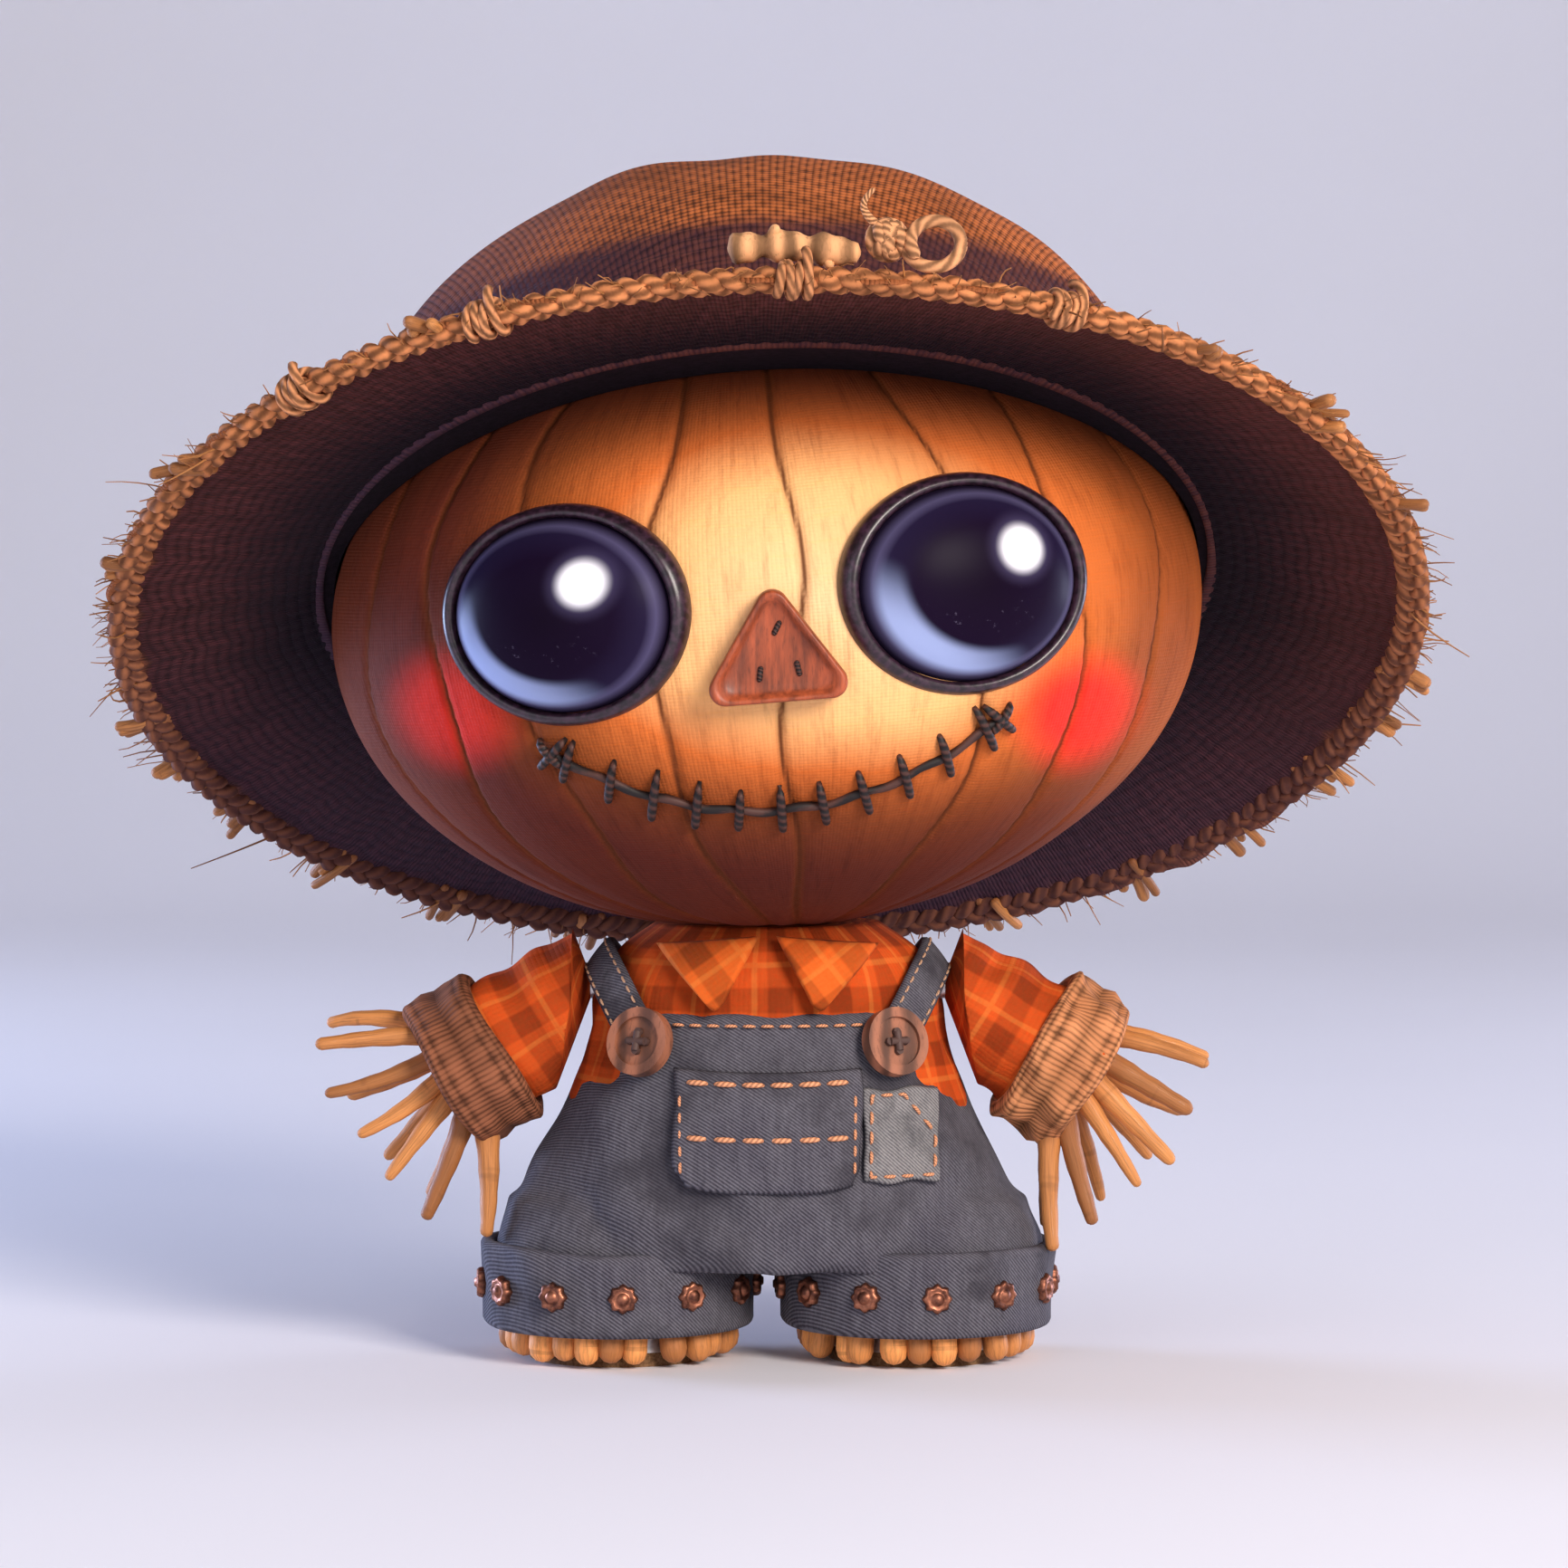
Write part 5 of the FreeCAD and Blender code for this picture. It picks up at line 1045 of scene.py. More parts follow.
def on_brim(turn, out, up=0.0):
    """Places on the brim: it falls by its slope outwards, and its rim sags by the turn's cosine times the
    share of the way out to the power 1.5. Up is measured along the hat's axis."""
    hat = bpy.context.scene.scarecrow_hat
    share = np.clip((out - hat.crown) / (hat.brim - hat.crown), 0, None)
    fall = hat.slope * (out - hat.crown) + hat.sag * np.cos(turn) * share ** 1.5
    return round_hat(turn, out, hat.seat - fall + up)


def crown_radius(up):
    """The crown's outer radius at a height: half an ellipse."""
    hat = bpy.context.scene.scarecrow_hat
    return hat.crown * np.sqrt(np.clip(1 - (up / hat.rise) ** 2, 0, 1))


class SCARECROW_OT_crown(bpy.types.Operator):
    """Make the crown: half an ellipsoid of coarse cloth with soft dents, and its inner side a wall away"""
    bl_idname = "scarecrow.crown"
    bl_label = "Hat Crown"

    def execute(self, context):
        hat = context.scene.scarecrow_hat
        turn = (np.arange(400) * TURN / 400)[None]
        foot = math.acos(6.5 * MM / hat.rise)
        lean = np.linspace(0.012, foot, 90)[:, None]
        dents = (0.9 * np.sin(3 * turn + 4 * lean) * np.sin(2 * lean) + 0.5 * np.sin(7 * turn - 5 * lean)
                 + 0.35 * np.sin(13 * turn + 3 * lean) * np.sin(2 * lean)) * MM * np.sin(lean * 2)
        gather = 0.55 * np.sin(lean * 150 + 2 * np.sin(turn * 5)) * ease(lean, 1.08, 1.17) * MM
        dents = dents + gather
        outer = round_hat(turn, (hat.crown + dents) * np.sin(lean), (hat.rise + dents) * np.cos(lean))
        wall = 2 * MM
        inner_lean = np.linspace(foot, 0.012, 40)[:, None]
        inner = round_hat(turn, (hat.crown - wall) * np.sin(inner_lean),
                          (hat.rise - wall) * np.cos(inner_lean))
        reach = np.concatenate([lean, inner_lean]) * hat.crown
        cloth = np.stack([reach * np.cos(turn), reach * np.sin(turn)], -1)
        crown = surface("crown_dome", np.concatenate([outer, inner]), crown_cloth(), wrap_cols=True,
                        caps=True,
                        cloth=cloth)
        # The share near the crown's foot: crown_cloth darkens it as painted shadow of the brim, and the same
        # ease gathers the cloth there.
        low = np.concatenate([ease(lean, 1.08, 1.17), np.ones_like(inner_lean)]) + 0 * turn
        attribute(crown, "low", np.append(low.ravel(), [0, 1]))
        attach(crown, "head")
        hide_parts("hat_crown")
        return {"FINISHED"}


class SCARECROW_OT_brim(bpy.types.Operator):
    """Make the brim: a wavy plaited sheet with a scalloped edge"""
    bl_idname = "scarecrow.brim"
    bl_label = "Hat Brim"

    def execute(self, context):
        hat = context.scene.scarecrow_hat
        turn = (np.arange(1080) * TURN / 1080)[None]
        share = np.linspace(0, 1, 46)[:, None]
        inner = hat.crown - 1.2 * MM
        scallop = np.abs(np.sin(turn * 21 + wander(turn, (2, 3, 5), 8, 0.6))) ** 0.8
        edge = hat.brim + (0.6 + 2.6 * scallop + 0.9 * wander(turn, (9, 14, 23, 37), 3, 0.2)) * MM
        out = inner + (edge - inner) * share
        wave = (0.8 * wander(turn, (2, 3, 5, 8), 6, 0.4) * share ** 2
                + 0.35 * np.sin(turn * 42) * share ** 6) * MM
        plait = (0.22 * MM * np.sin(out / (3.4 * MM) * math.pi)
                 * np.cos(turn * 150 + out / (3.4 * MM) * math.pi))
        thick = (2.3 - 1.0 * share ** 3) * MM
        top = on_brim(turn, out, wave + thick / 2 + plait)
        tip = on_brim(turn, edge + 0.5 * MM, wave[-1:])
        under = on_brim(turn, out, wave - thick / 2 - plait)[::-1]
        brim = surface("brim_sheet", np.concatenate([top, tip, under]), brim_cloth(), wrap_rows=True,
                       wrap_cols=True)
        rows = len(share)
        out_share = np.concatenate([share, [[1.0]], share[::-1]]) + 0 * turn
        side = np.concatenate([np.zeros((rows, 1)), [[0.5]], np.ones((rows, 1))]) + 0 * turn
        attribute(brim, "out", out_share)
        attribute(brim, "under", side)
        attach(brim, "head")
        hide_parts("hat_brim")
        return {"FINISHED"}


class SCARECROW_OT_rim(bpy.types.Operator):
    """Make the rim: a three-strand plait whose strands swing across it and over each other, tied in places"""
    bl_idname = "scarecrow.rim"
    bl_label = "Rim Plait"

    def execute(self, context):
        hat = context.scene.scarecrow_hat
        plaits, strands = 62, 3
        turn = (np.arange(plaits * 16) * TURN / (plaits * 16))[None]
        phase = turn * plaits + (np.arange(strands) * TURN / strands)[:, None]
        swing = 1.0 + 0.10 * wander(turn, (3, 7, 12), 2)
        paths = on_brim(turn, hat.brim + 2.0 * MM * swing * np.sin(phase), 1.0 * MM * np.sin(2 * phase))
        thick = 1.72 * MM * (1 + 0.05 * np.sin(phase * 3.0))
        jute = braid_cloth("rim_jute", (0.50, 0.185, 0.070), 1900)
        axis = hat_matrix().to_3x3() @ Vector((0, 0, 1))
        plait = rods("rim_plait", paths, thick, 12, jute, closed=True, helper=axis)
        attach(plait, "head")
        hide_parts("rim_cord")

        ties = np.radians((-131, -112, -86, -63))[:, None]
        along = np.linspace(0, 1, 90)[None]
        wind = along * TURN * 3.4 + ties
        out = hat.brim + 4.5 * MM * np.cos(wind) * (1 + 0.35 * ease(along, 0.9, 1.0))
        up = 3.6 * MM * np.sin(wind) + 3.0 * MM * ease(along, 0.88, 1.0)
        across = ties + ((along - 0.5) * 6 + 0.8 * np.sin(wind * 0.5)) * MM / hat.brim
        twine = braid_cloth("tie_twine", (0.55, 0.23, 0.10), 160)
        wraps = rods("rim_wraps", on_brim(across, out, up), 1.05 * MM * np.ones_like(along), 9, twine)
        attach(wraps, "head")
        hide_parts("rim_ties")
        return {"FINISHED"}


class SCARECROW_OT_stubs(bpy.types.Operator):
    """Make the straw in the rim: bunches of cut stalks, and fine fibres that fray out of the edge"""
    bl_idname = "scarecrow.stubs"
    bl_label = "Rim Straw"

    def execute(self, context):
        hat = context.scene.scarecrow_hat
        rng = np.random.default_rng(21)
        bunches = np.radians((12, 20, 31, 43, 56, 70, 110, 124, 137, 149, 160, 168, 196, 214, 243, 311, 326,
                              342))
        each = 3
        turn = np.repeat(bunches, each) + rng.normal(0, 1.2, len(bunches) * each) / 142
        slip = np.tile([-1.0, 0.0, 1.0], len(bunches)) * 2.3 * MM + rng.normal(0, 0.4 * MM, len(turn))
        length = rng.uniform(5.5, 9.5, len(turn)) * MM
        lean = rng.normal(0, 0.24, len(turn))
        rise = rng.normal(0, 0.13, len(turn))
        start = on_brim(turn + slip / hat.brim, hat.brim - 4 * MM, rng.normal(0, 0.8, len(turn)) * MM)
        end = on_brim(turn + (slip + lean * length) / hat.brim, hat.brim + length, rise * length)
        bow = rng.normal(0, 0.5 * MM, (len(turn), 3))
        radius = rng.uniform(1.0, 1.65, (len(turn), 1)) * MM * np.array([[1.0, 0.92]])
        paths, radii = capsule_paths(start, end, radius, 8, bow)
        straw = straw_stalk("rim_straw", 0.8)
        stalks = rods("rim_stalks", paths, radii, 10, straw)

        count = 620
        turn = rng.uniform(0, TURN, count)
        length = rng.gamma(3.0, 1.1, count) * MM + 1 * MM
        lean = rng.normal(0, 0.55, count)
        start = on_brim(turn, hat.brim - 1 * MM, rng.normal(0, 0.9 * MM, count))
        end = on_brim(turn + lean * length / hat.brim, hat.brim + 1.5 * MM + length,
                      rng.normal(0, 0.35, count) * length)
        paths, radii = capsule_paths(start, end, rng.uniform(0.16, 0.34, (count, 1)) * MM * [[1.0, 0.4]], 5,
                                     rng.normal(0, 0.7 * MM, (count, 3)))
        fray = rods("rim_fray", paths, radii, 4, straw)
        for piece in (stalks, fray):
            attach(piece, "head")
        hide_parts("brim_straws")
        return {"FINISHED"}


class SCARECROW_OT_band(bpy.types.Operator):
    """Make the hat band: a thick gathered ribbon round the foot of the crown, ribbed along its height"""
    bl_idname = "scarecrow.band"
    bl_label = "Hat Band"

    def execute(self, context):
        hat = context.scene.scarecrow_hat
        turn = (np.arange(1320) * TURN / 1320)[None]
        share = np.concatenate([np.linspace(0, 1, 16), np.linspace(0.96, 0.04, 6)])[:, None]
        outer = np.concatenate([np.ones(16), np.zeros(6)])[:, None]
        sway = 0.6 * MM * wander(turn, (3, 5, 9), 12)
        up = hat.seat + 1.4 * MM + (hat.band_high - 1 * MM) * share + sway * (share - 0.2)
        ribs = np.abs(np.sin(turn * 66 + 1.3 * share + 0.6 * wander(turn, (4, 9, 15), 3, 0.3))) ** 0.7
        swell = (0.5 + 1.0 * ribs + 0.9 * np.sqrt(np.clip(4 * share * (1 - share), 0, 1))) * MM
        out = crown_radius(up) + np.where(outer > 0, swell, -0.7 * MM)
        ribbon = Finish("band_ribbon", 0.7)
        weft = ribbon.noise(ribbon.cloth_place((900, 16, 1)), 1.0, 3)
        stain = ribbon.noise(ribbon.object_place(), 60, 4)
        painted_hollow_shade = ribbon.vertex("rib")
        ground = ribbon.mix(weft.step(0.3, 0.7), (0.022, 0.008, 0.016), (0.090, 0.035, 0.050))
        ground = ribbon.mix(stain.step(0.4, 0.65) * 0.5, ground, (0.030, 0.010, 0.012))
        # Near black in the hollows between the ribs: painted shade.
        ground = ribbon.mix(painted_hollow_shade.step(0.6, 0.0) * 0.75, ground, (0.006, 0.002, 0.005))
        material = ribbon.colour(ground).bump(weft, 0.5, 0.4 * MM)
        band = surface("band_ribbed", round_hat(turn, out, up), material, wrap_rows=True, wrap_cols=True)
        attribute(band, "rib", ribs + 0 * share)
        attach(band, "head")
        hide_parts("hat_band")
        return {"FINISHED"}


class SCARECROW_OT_twig(bpy.types.Operator):
    """Make the twig and the knotted twine on the front of the rim"""
    bl_idname = "scarecrow.twig"
    bl_label = "Twig and Knot"

    def execute(self, context):
        low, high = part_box("hat_twig")
        thick = 3.0 * MM
        start = np.array([low.x, (low.y + high.y) / 2, low.z + thick])
        end = np.array([high.x, (low.y + high.y) / 2, high.z - thick])
        share = np.linspace(0, 1, 40)[None]
        line = start + (end - start) * share[..., None]
        line = line + np.stack([0 * share, 0.5 * MM * np.sin(share * 5), 0.8 * MM * np.sin(share * 4.2)], -1)
        ends = np.sqrt(np.clip(1 - (1 - np.minimum(share, 1 - share) * 14).clip(0, 1) ** 2, 0.02, 1))
        radius = thick * (1 + 0.16 * np.sin(share * 19) + 0.10 * np.sin(share * 37 + 1)) * ends
        bark = wood("twig_bark", (0.56, 0.28, 0.13), 420, 0.0, 0.8)
        stick = rods("twig_stick", line, radius, 18, bark)
        side_start = line[0, [11, 26]]
        side_end = side_start + np.array([(2.5, -2.5, 4.2), (3.2, -2.0, -4.0)]) * MM
        paths, radii = capsule_paths(side_start, side_end, 1.15 * MM, 6)
        shoots = rods("twig_shoots", paths, radii, 10, bark)

        low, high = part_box("hat_knot")
        middle = np.array([low.x + 5.2 * MM, (low.y + high.y) / 2 - 0.5 * MM, (low.z + high.z) / 2])
        around = (np.arange(48) * TURN / 48)[None]
        tilts = np.radians((8, 55, 100, 150, 75))[:, None]
        turns = np.radians((10, 60, -50, 30, 90))[:, None]
        ring = np.stack([np.cos(around) * np.cos(turns), np.cos(around) * np.sin(turns) * np.cos(tilts)
                         + np.sin(around) * np.sin(tilts), np.sin(around) * np.cos(tilts)
                         - np.cos(around) * np.sin(turns) * np.sin(tilts)], -1)
        twine = braid_cloth("knot_twine", (0.60, 0.28, 0.13), 60)
        knot = rods("knot_wraps", middle + ring * 3.2 * MM, 1.55 * MM, 10, twine, closed=True,
                    helper=(0.31, 0.52, 0.79))
        share = np.linspace(0, 1, 70)[None]
        centre = np.array([high.x - 6.4 * MM, middle[1] - 0.6 * MM, middle[2] - 0.6 * MM])
        spin = share * TURN * 1.22 + 2.6
        size = (5.3 - 1.2 * share) * MM
        loop = centre + np.stack([size * np.cos(spin) * 1.15, 1.5 * MM * np.sin(spin) - 2 * MM * share,
                                  size * np.sin(spin)], -1)
        curl = middle + np.stack([(-1.5 - 3.4 * np.sin(share * 2.8)) * MM, (-1.0 - 1.5 * share) * MM,
                                  (2.5 + 8.0 * share) * MM], -1)
        cap = np.sqrt(np.clip(1 - (1 - np.minimum(share, 1 - share) * 20).clip(0, 1) ** 2, 0.03, 1))
        tails = rods("knot_tails", np.concatenate([loop, curl]),
                     np.concatenate([1.4 * MM * cap, 1.0 * MM * cap * (1 - 0.5 * share)]), 10, twine)
        for piece in (stick, shoots, knot, tails):
            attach(piece, "head")
        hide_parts("hat_twig")
        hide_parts("hat_knot")
        return {"FINISHED"}


# ---- the clothes ----

TRUNK_HEIGHTS = np.array((20, 26, 40, 56, 72, 84, 91.85, 96.85)) * MM
TRUNK_WIDE = np.array((58.5, 58, 53, 46.5, 41, 38.5, 33, 26)) * MM
TRUNK_DEEP = np.array((31, 33, 34, 33, 30, 26, 22, 18.5)) * MM
PLAID = 13 * MM
BIB_TOP = 79 * MM
SIDE_EDGE = 66 * MM


def trunk_wide(z):
    return through(TRUNK_HEIGHTS, TRUNK_WIDE, z)


def trunk_deep(z):
    return through(TRUNK_HEIGHTS, TRUNK_DEEP, z)


def on_trunk(x, z, lift=0.0, face=-1.0):
    """Points on the front (face -1) or back (face 1) of the trunk, lifted along the oval's normal, and those
    normals. The trunk is a stack of ovals, so its depth at a place is solved from the oval at that height."""
    x, z = np.broadcast_arrays(np.asarray(x, float), np.asarray(z, float))
    wide, deep = trunk_wide(z), trunk_deep(z)
    y = face * deep * np.sqrt(np.clip(1 - (x / wide) ** 2, 0, 1))
    step = 0.5 * MM
    slope = (trunk_deep(z + step) - trunk_deep(z - step)) / (2 * step)
    outward = unit(np.stack([x / wide ** 2, y / deep ** 2, -slope / deep], -1))
    return np.stack([x, y, z], -1) + outward * np.asarray(lift)[..., None], outward


def denim(name, colour, faded, fade_scale=24):
    """Twill: fine slanting ribs, worn pale in soft patches, with darker blotches."""
    made = Finish(name, 0.9)
    x, y, z = made.axes(made.object_place())
    twill = ((x + y * 0.8 + z * 1.35) * (TURN / (1.15 * MM))).sine() * 0.5 + 0.5
    slub = made.noise(made.object_place((1, 1, 0.15)), 700, 4, 0.7)
    cloud = made.noise(made.object_place(), fade_scale, 5, 0.6)
    fleck = made.noise(made.object_place(), 1600, 2)
    tone = (twill * 0.35 + slub * 0.35 + fleck * 0.3).step(0.15, 0.95)
    ground = made.mix(tone, shade(colour, 0.45), shade(faded, 0.75))
    ground = made.mix(cloud.step(0.42, 0.66) * 0.6, ground, faded, "SOFT_LIGHT")
    ground = made.mix((1 - cloud).step(0.46, 0.64) * 0.75, ground, shade(colour, 0.35))
    return made.colour(ground).bump(twill * 0.6 + slub * 0.6, 0.45, 0.4 * MM)


def plaid_cloth(name, colour):
    """Brushed check: broad darker bands both ways and thin pale lines, with a soft nap."""
    made = Finish(name, 0.88)
    u, v, _ = made.axes(made.cloth_place())
    wobble = (made.noise(made.cloth_place((60, 60, 1)), 1.0, 2) - 0.5) * (1.2 * MM)
    u, v = u + wobble, v + wobble
    across = (u * (TURN / PLAID)).sine()
    along = (v * (TURN / PLAID)).sine()
    bands = across.step(0.1, 0.45) + along.step(0.1, 0.45)
    lines = (u * (TURN / PLAID) + 2.6).sine().step(0.93, 0.99).above(
        (v * (TURN / PLAID) + 2.6).sine().step(0.93, 0.99))
    nap = made.noise(made.object_place(), 900, 4, 0.75)
    stain = made.noise(made.object_place(), 45, 4)
    thread = made.weave(made.cloth_place(), 900, 900)
    ground = made.mix(bands * 0.36, colour, shade(colour, 0.18))
    ground = made.mix(lines * 0.25, ground, (0.85, 0.30, 0.06))
    ground = made.mix(nap.step(0.4, 0.7) * 0.30, ground, (1.0, 0.36, 0.09), "SOFT_LIGHT")
    ground = made.mix(stain.step(0.45, 0.7) * 0.4, ground, shade(colour, 0.3))
    return made.colour(ground).bump(thread * 0.5 + nap * 0.5, 0.5, 0.35 * MM)


def stitch_thread(name, colour):
    """Thick sewing thread: plies twisted round each other on a slant."""
    made = Finish(name, 0.6)
    u, v, _ = made.axes(made.cloth_place())
    ply = (u * TURN * 2 + v * 26).sine() * 0.5 + 0.5
    ground = made.mix(ply, shade(colour, 0.5), shade(colour, 1.15))
    return made.colour(ground).bump(ply, 0.5, 0.2 * MM)


def dashes(name, line, outward, stitch, pitch, radius, material):
    """A running stitch along a line (n, 3): short capsules that rise out of the cloth and dive back into it,
    spaced by the line's own length."""
    steps = np.linalg.norm(np.diff(line, axis=0), axis=1)
    reach = np.concatenate([[0.0], np.cumsum(steps)])
    count = int((reach[-1] - stitch) / pitch) + 1
    starts = (reach[-1] - (count - 1) * pitch - stitch) / 2 + np.arange(count) * pitch
    share = np.linspace(0, 1, 9)
    at = starts[:, None] + stitch * share[None]
    path = np.stack([np.interp(at, reach, line[:, axis]) for axis in range(3)], -1)
    up = unit(np.stack([np.interp(at, reach, outward[:, axis]) for axis in range(3)], -1))
    arch = (np.sqrt(np.clip(1 - (2 * share - 1) ** 2, 0, 1)) * 1.5 - 0.9) * radius
    thick = radius * (0.55 + 0.45 * np.sin(share * math.pi) ** 0.5)
    return rods(name, path + up * arch[None, :, None], thick[None] * np.ones((count, 1)), 8, material)


def wear(piece, body, node):
    """The piece rides on the body and stands for a CAD node if one is named."""
    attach(piece, body)
    if node:
        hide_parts(node)


def settle(made, cap, keep_low):
    """Swells a stuffed cloth: remeshed evenly, blown up a little as a cloth, with no point moving past the
    cap and none at all near the hem, which the turned-up cuffs hold."""
    remesh = made.modifiers.new("even", "REMESH")
    remesh.mode = "VOXEL"
    remesh.voxel_size = 2.2 * MM
    remesh.use_smooth_shade = True
    bake(made)
    mesh = made.data
    start = np.empty(len(mesh.vertices) * 3, np.float32)
    mesh.vertices.foreach_get("co", start)
    start = start.reshape(-1, 3)
    cloth = made.modifiers.new("swell", "CLOTH")
    cloth.settings.use_pressure = True
    cloth.settings.uniform_pressure_force = 4.0
    cloth.settings.effector_weights.gravity = 0.0
    cloth.settings.quality = 5
    cloth.settings.mass = 0.3
    cloth.point_cache.frame_start = 1
    cloth.point_cache.frame_end = 20
    for step in range(1, 21):
        bpy.context.scene.frame_set(step)
    bake(made)
    bpy.context.scene.frame_set(1)
    mesh = made.data
    moved = np.empty(len(mesh.vertices) * 3, np.float32)
    mesh.vertices.foreach_get("co", moved)
    moved = moved.reshape(-1, 3)
    shift = moved - start
    size = np.linalg.norm(shift, axis=1, keepdims=True)
    shift *= np.minimum(1, cap / np.maximum(size, 1e-9)) * ease(start[:, 2:3], keep_low, keep_low + 6 * MM)
    return start + shift


def bake(made):
    """Applies the live modifiers: the evaluated mesh takes the place of the old one."""
    graph = bpy.context.evaluated_depsgraph_get()
    mesh = bpy.data.meshes.new_from_object(made.evaluated_get(graph))
    made.modifiers.clear()
    old = made.data
    made.data = mesh
    bpy.data.meshes.remove(old)


class SCARECROW_OT_overalls(bpy.types.Operator):
    """Make the overalls: an oval trunk lofted up to the bib's edge, and two legs, swollen as one cloth"""
    bl_idname = "scarecrow.overalls"
    bl_label = "Overalls"

    def execute(self, context):
        clothes = context.scene.scarecrow_clothes
        turn = (np.arange(240) * TURN / 240)[None]
        side = np.abs(np.cos(turn))
        edge = SIDE_EDGE + (BIB_TOP - SIDE_EDGE) * (1 - ease(side, 0.66, 0.86))
        share = np.linspace(0, 1, 60)[:, None]
        z = 22 * MM + (edge - 22 * MM) * share
        swell = 0.5 * MM
        trunk = np.stack([(trunk_wide(z) - swell) * np.cos(turn), (trunk_deep(z) - swell) * np.sin(turn), z],
                         -1)
        bag = surface("overalls_cloth", trunk, None, wrap_cols=True, caps=True)
        for label, where in SIDES:
            rise = np.linspace(7 * MM, 36 * MM, 30)[:, None]
            size = 27.0 * MM - 3.0 * MM * ease(rise, 24 * MM, 38 * MM)
            leg = np.stack([where * LEG_SIDE + size * np.cos(turn), size * np.sin(turn), rise + 0 * turn], -1)
            limb = surface("leg_" + label, leg, None, wrap_cols=True, caps=True)
            work = bmesh.new()
            work.from_mesh(bag.data)
            work.from_mesh(limb.data)
            work.to_mesh(bag.data)
            work.free()
            bpy.data.objects.remove(limb)
        places = settle(bag, 2.5 * MM, 24 * MM)
        x, y, z = places[:, 0], places[:, 1], places[:, 2]
        angle = np.arctan2(y, x)
        leg_x = np.abs(x) - LEG_SIDE
        crotch = np.exp(-((x / (20 * MM)) ** 2 + ((z - 30 * MM) / (12 * MM)) ** 2))
        hem = ease(z, 40 * MM, 24 * MM)
        folds = (0.9 * np.sin(angle * 9 + z / (9 * MM)) * np.exp(-((z - 44 * MM) / (14 * MM)) ** 2)
                 + 0.8 * np.sin(leg_x / (3.4 * MM) + z / (7 * MM) + 2 * np.sign(x)) * hem
                 + 0.7 * np.sin((z - np.abs(x) * 0.7) / (2.6 * MM)) * crotch
                 + 0.35 * np.sin(z / (3.1 * MM) + angle * 4)) * MM
        folds = np.where(folds < 0, folds * 0.3, folds * 1.25)
        roll = np.exp(-((z - edge_height(angle)) / (1.7 * MM)) ** 2) * 0.9 * MM
        normals = np.empty(len(places) * 3, np.float32)
        bag.data.vertices.foreach_set("co", places.astype(np.float32).ravel())
        bag.data.update()
        bag.data.vertices.foreach_get("normal", normals)
        normals = normals.reshape(-1, 3)
        places = places + normals * ((folds + roll) * np.abs(1 - np.abs(normals[:, 2]) * 0.8))[:, None]
        bag.data.vertices.foreach_set("co", places.astype(np.float32).ravel())
        bag.data.materials.append(denim("overalls_denim", clothes.denim, clothes.faded))
        fine = bag.modifiers.new("fine", "SUBSURF")
        fine.levels = fine.render_levels = 1
        bake(bag)
        wear(bag, "trunk", "overalls")
        return {"FINISHED"}


def edge_height(angle):
    """Height of the overalls' upper edge round the trunk: high at the bibs, low under the arms."""
    return SIDE_EDGE + (BIB_TOP - SIDE_EDGE) * (1 - ease(np.abs(np.cos(angle)), 0.66, 0.86))


class SCARECROW_OT_shirt(bpy.types.Operator):
    """Make the shirt: the trunk's ovals drawn in a little, with soft creases, and two pointed collar wings"""
    bl_idname = "scarecrow.shirt"
    bl_label = "Shirt and Collar"

    def execute(self, context):
        ground = context.scene.scarecrow_clothes.plaid
        plaid = plaid_cloth("plaid_flannel", ground)
        collar = plaid_cloth("collar_flannel", tuple(np.array(ground) * (1.15, 1.5, 1.5)))
        turn = (np.arange(260) * TURN / 260)[None]
        z = np.linspace(56 * MM, 96.6 * MM, 60)[:, None]
        crease = (0.5 * np.sin(turn * 8 + z / (6 * MM)) + 0.4 * np.sin(turn * 15 - z / (4 * MM))) * MM
        inset = 1.6 * MM - crease * ease(z, 60 * MM, 70 * MM) * ease(96 * MM - z, 0, 6 * MM) * 0.8
        body = np.stack([(trunk_wide(z) - inset) * np.cos(turn), (trunk_deep(z) - inset) * np.sin(turn),
                         z + 0 * turn], -1)
        cloth = np.stack([turn * 36 * MM + 0 * z, z + 0 * turn], -1)
        shirt = surface("shirt_body", body, plaid, wrap_cols=True, caps=True, cloth=cloth)
        wear(shirt, "trunk", "shirt")
        for label, side in SIDES:
            across = np.linspace(0, 1, 26)[None]
            down = np.linspace(0, 1, 22)[:, None]
            top_in, top_out, tip = 1.8 * MM, 24.5 * MM, 11.0 * MM
            x = ((top_in + (top_out - top_in) * across) * (1 - down) + tip * down
                 + (across - 0.5) * 3.4 * MM * down)
            z = 94.2 * MM - (14.6 * MM + 1.2 * MM * np.sin(across * math.pi)) * down ** 0.95
            z = z - 1.2 * MM * across * (1 - down)
            lift = (2.6 + 1.7 * np.sin(down * math.pi * 0.5) - 1.6 * across * (1 - down)) * MM
            front, outward = on_trunk(side * x, np.minimum(z, 94.5 * MM), lift)
            cloth = np.stack([side * x * 0.8 + z * 0.6, z * 0.8 - side * x * 0.6], -1)
            wing = pad("collar_wing_" + label, front, outward, 2.2 * MM, collar, cloth)
            wear(wing, "trunk", "collar_" + label)
        return {"FINISHED"}


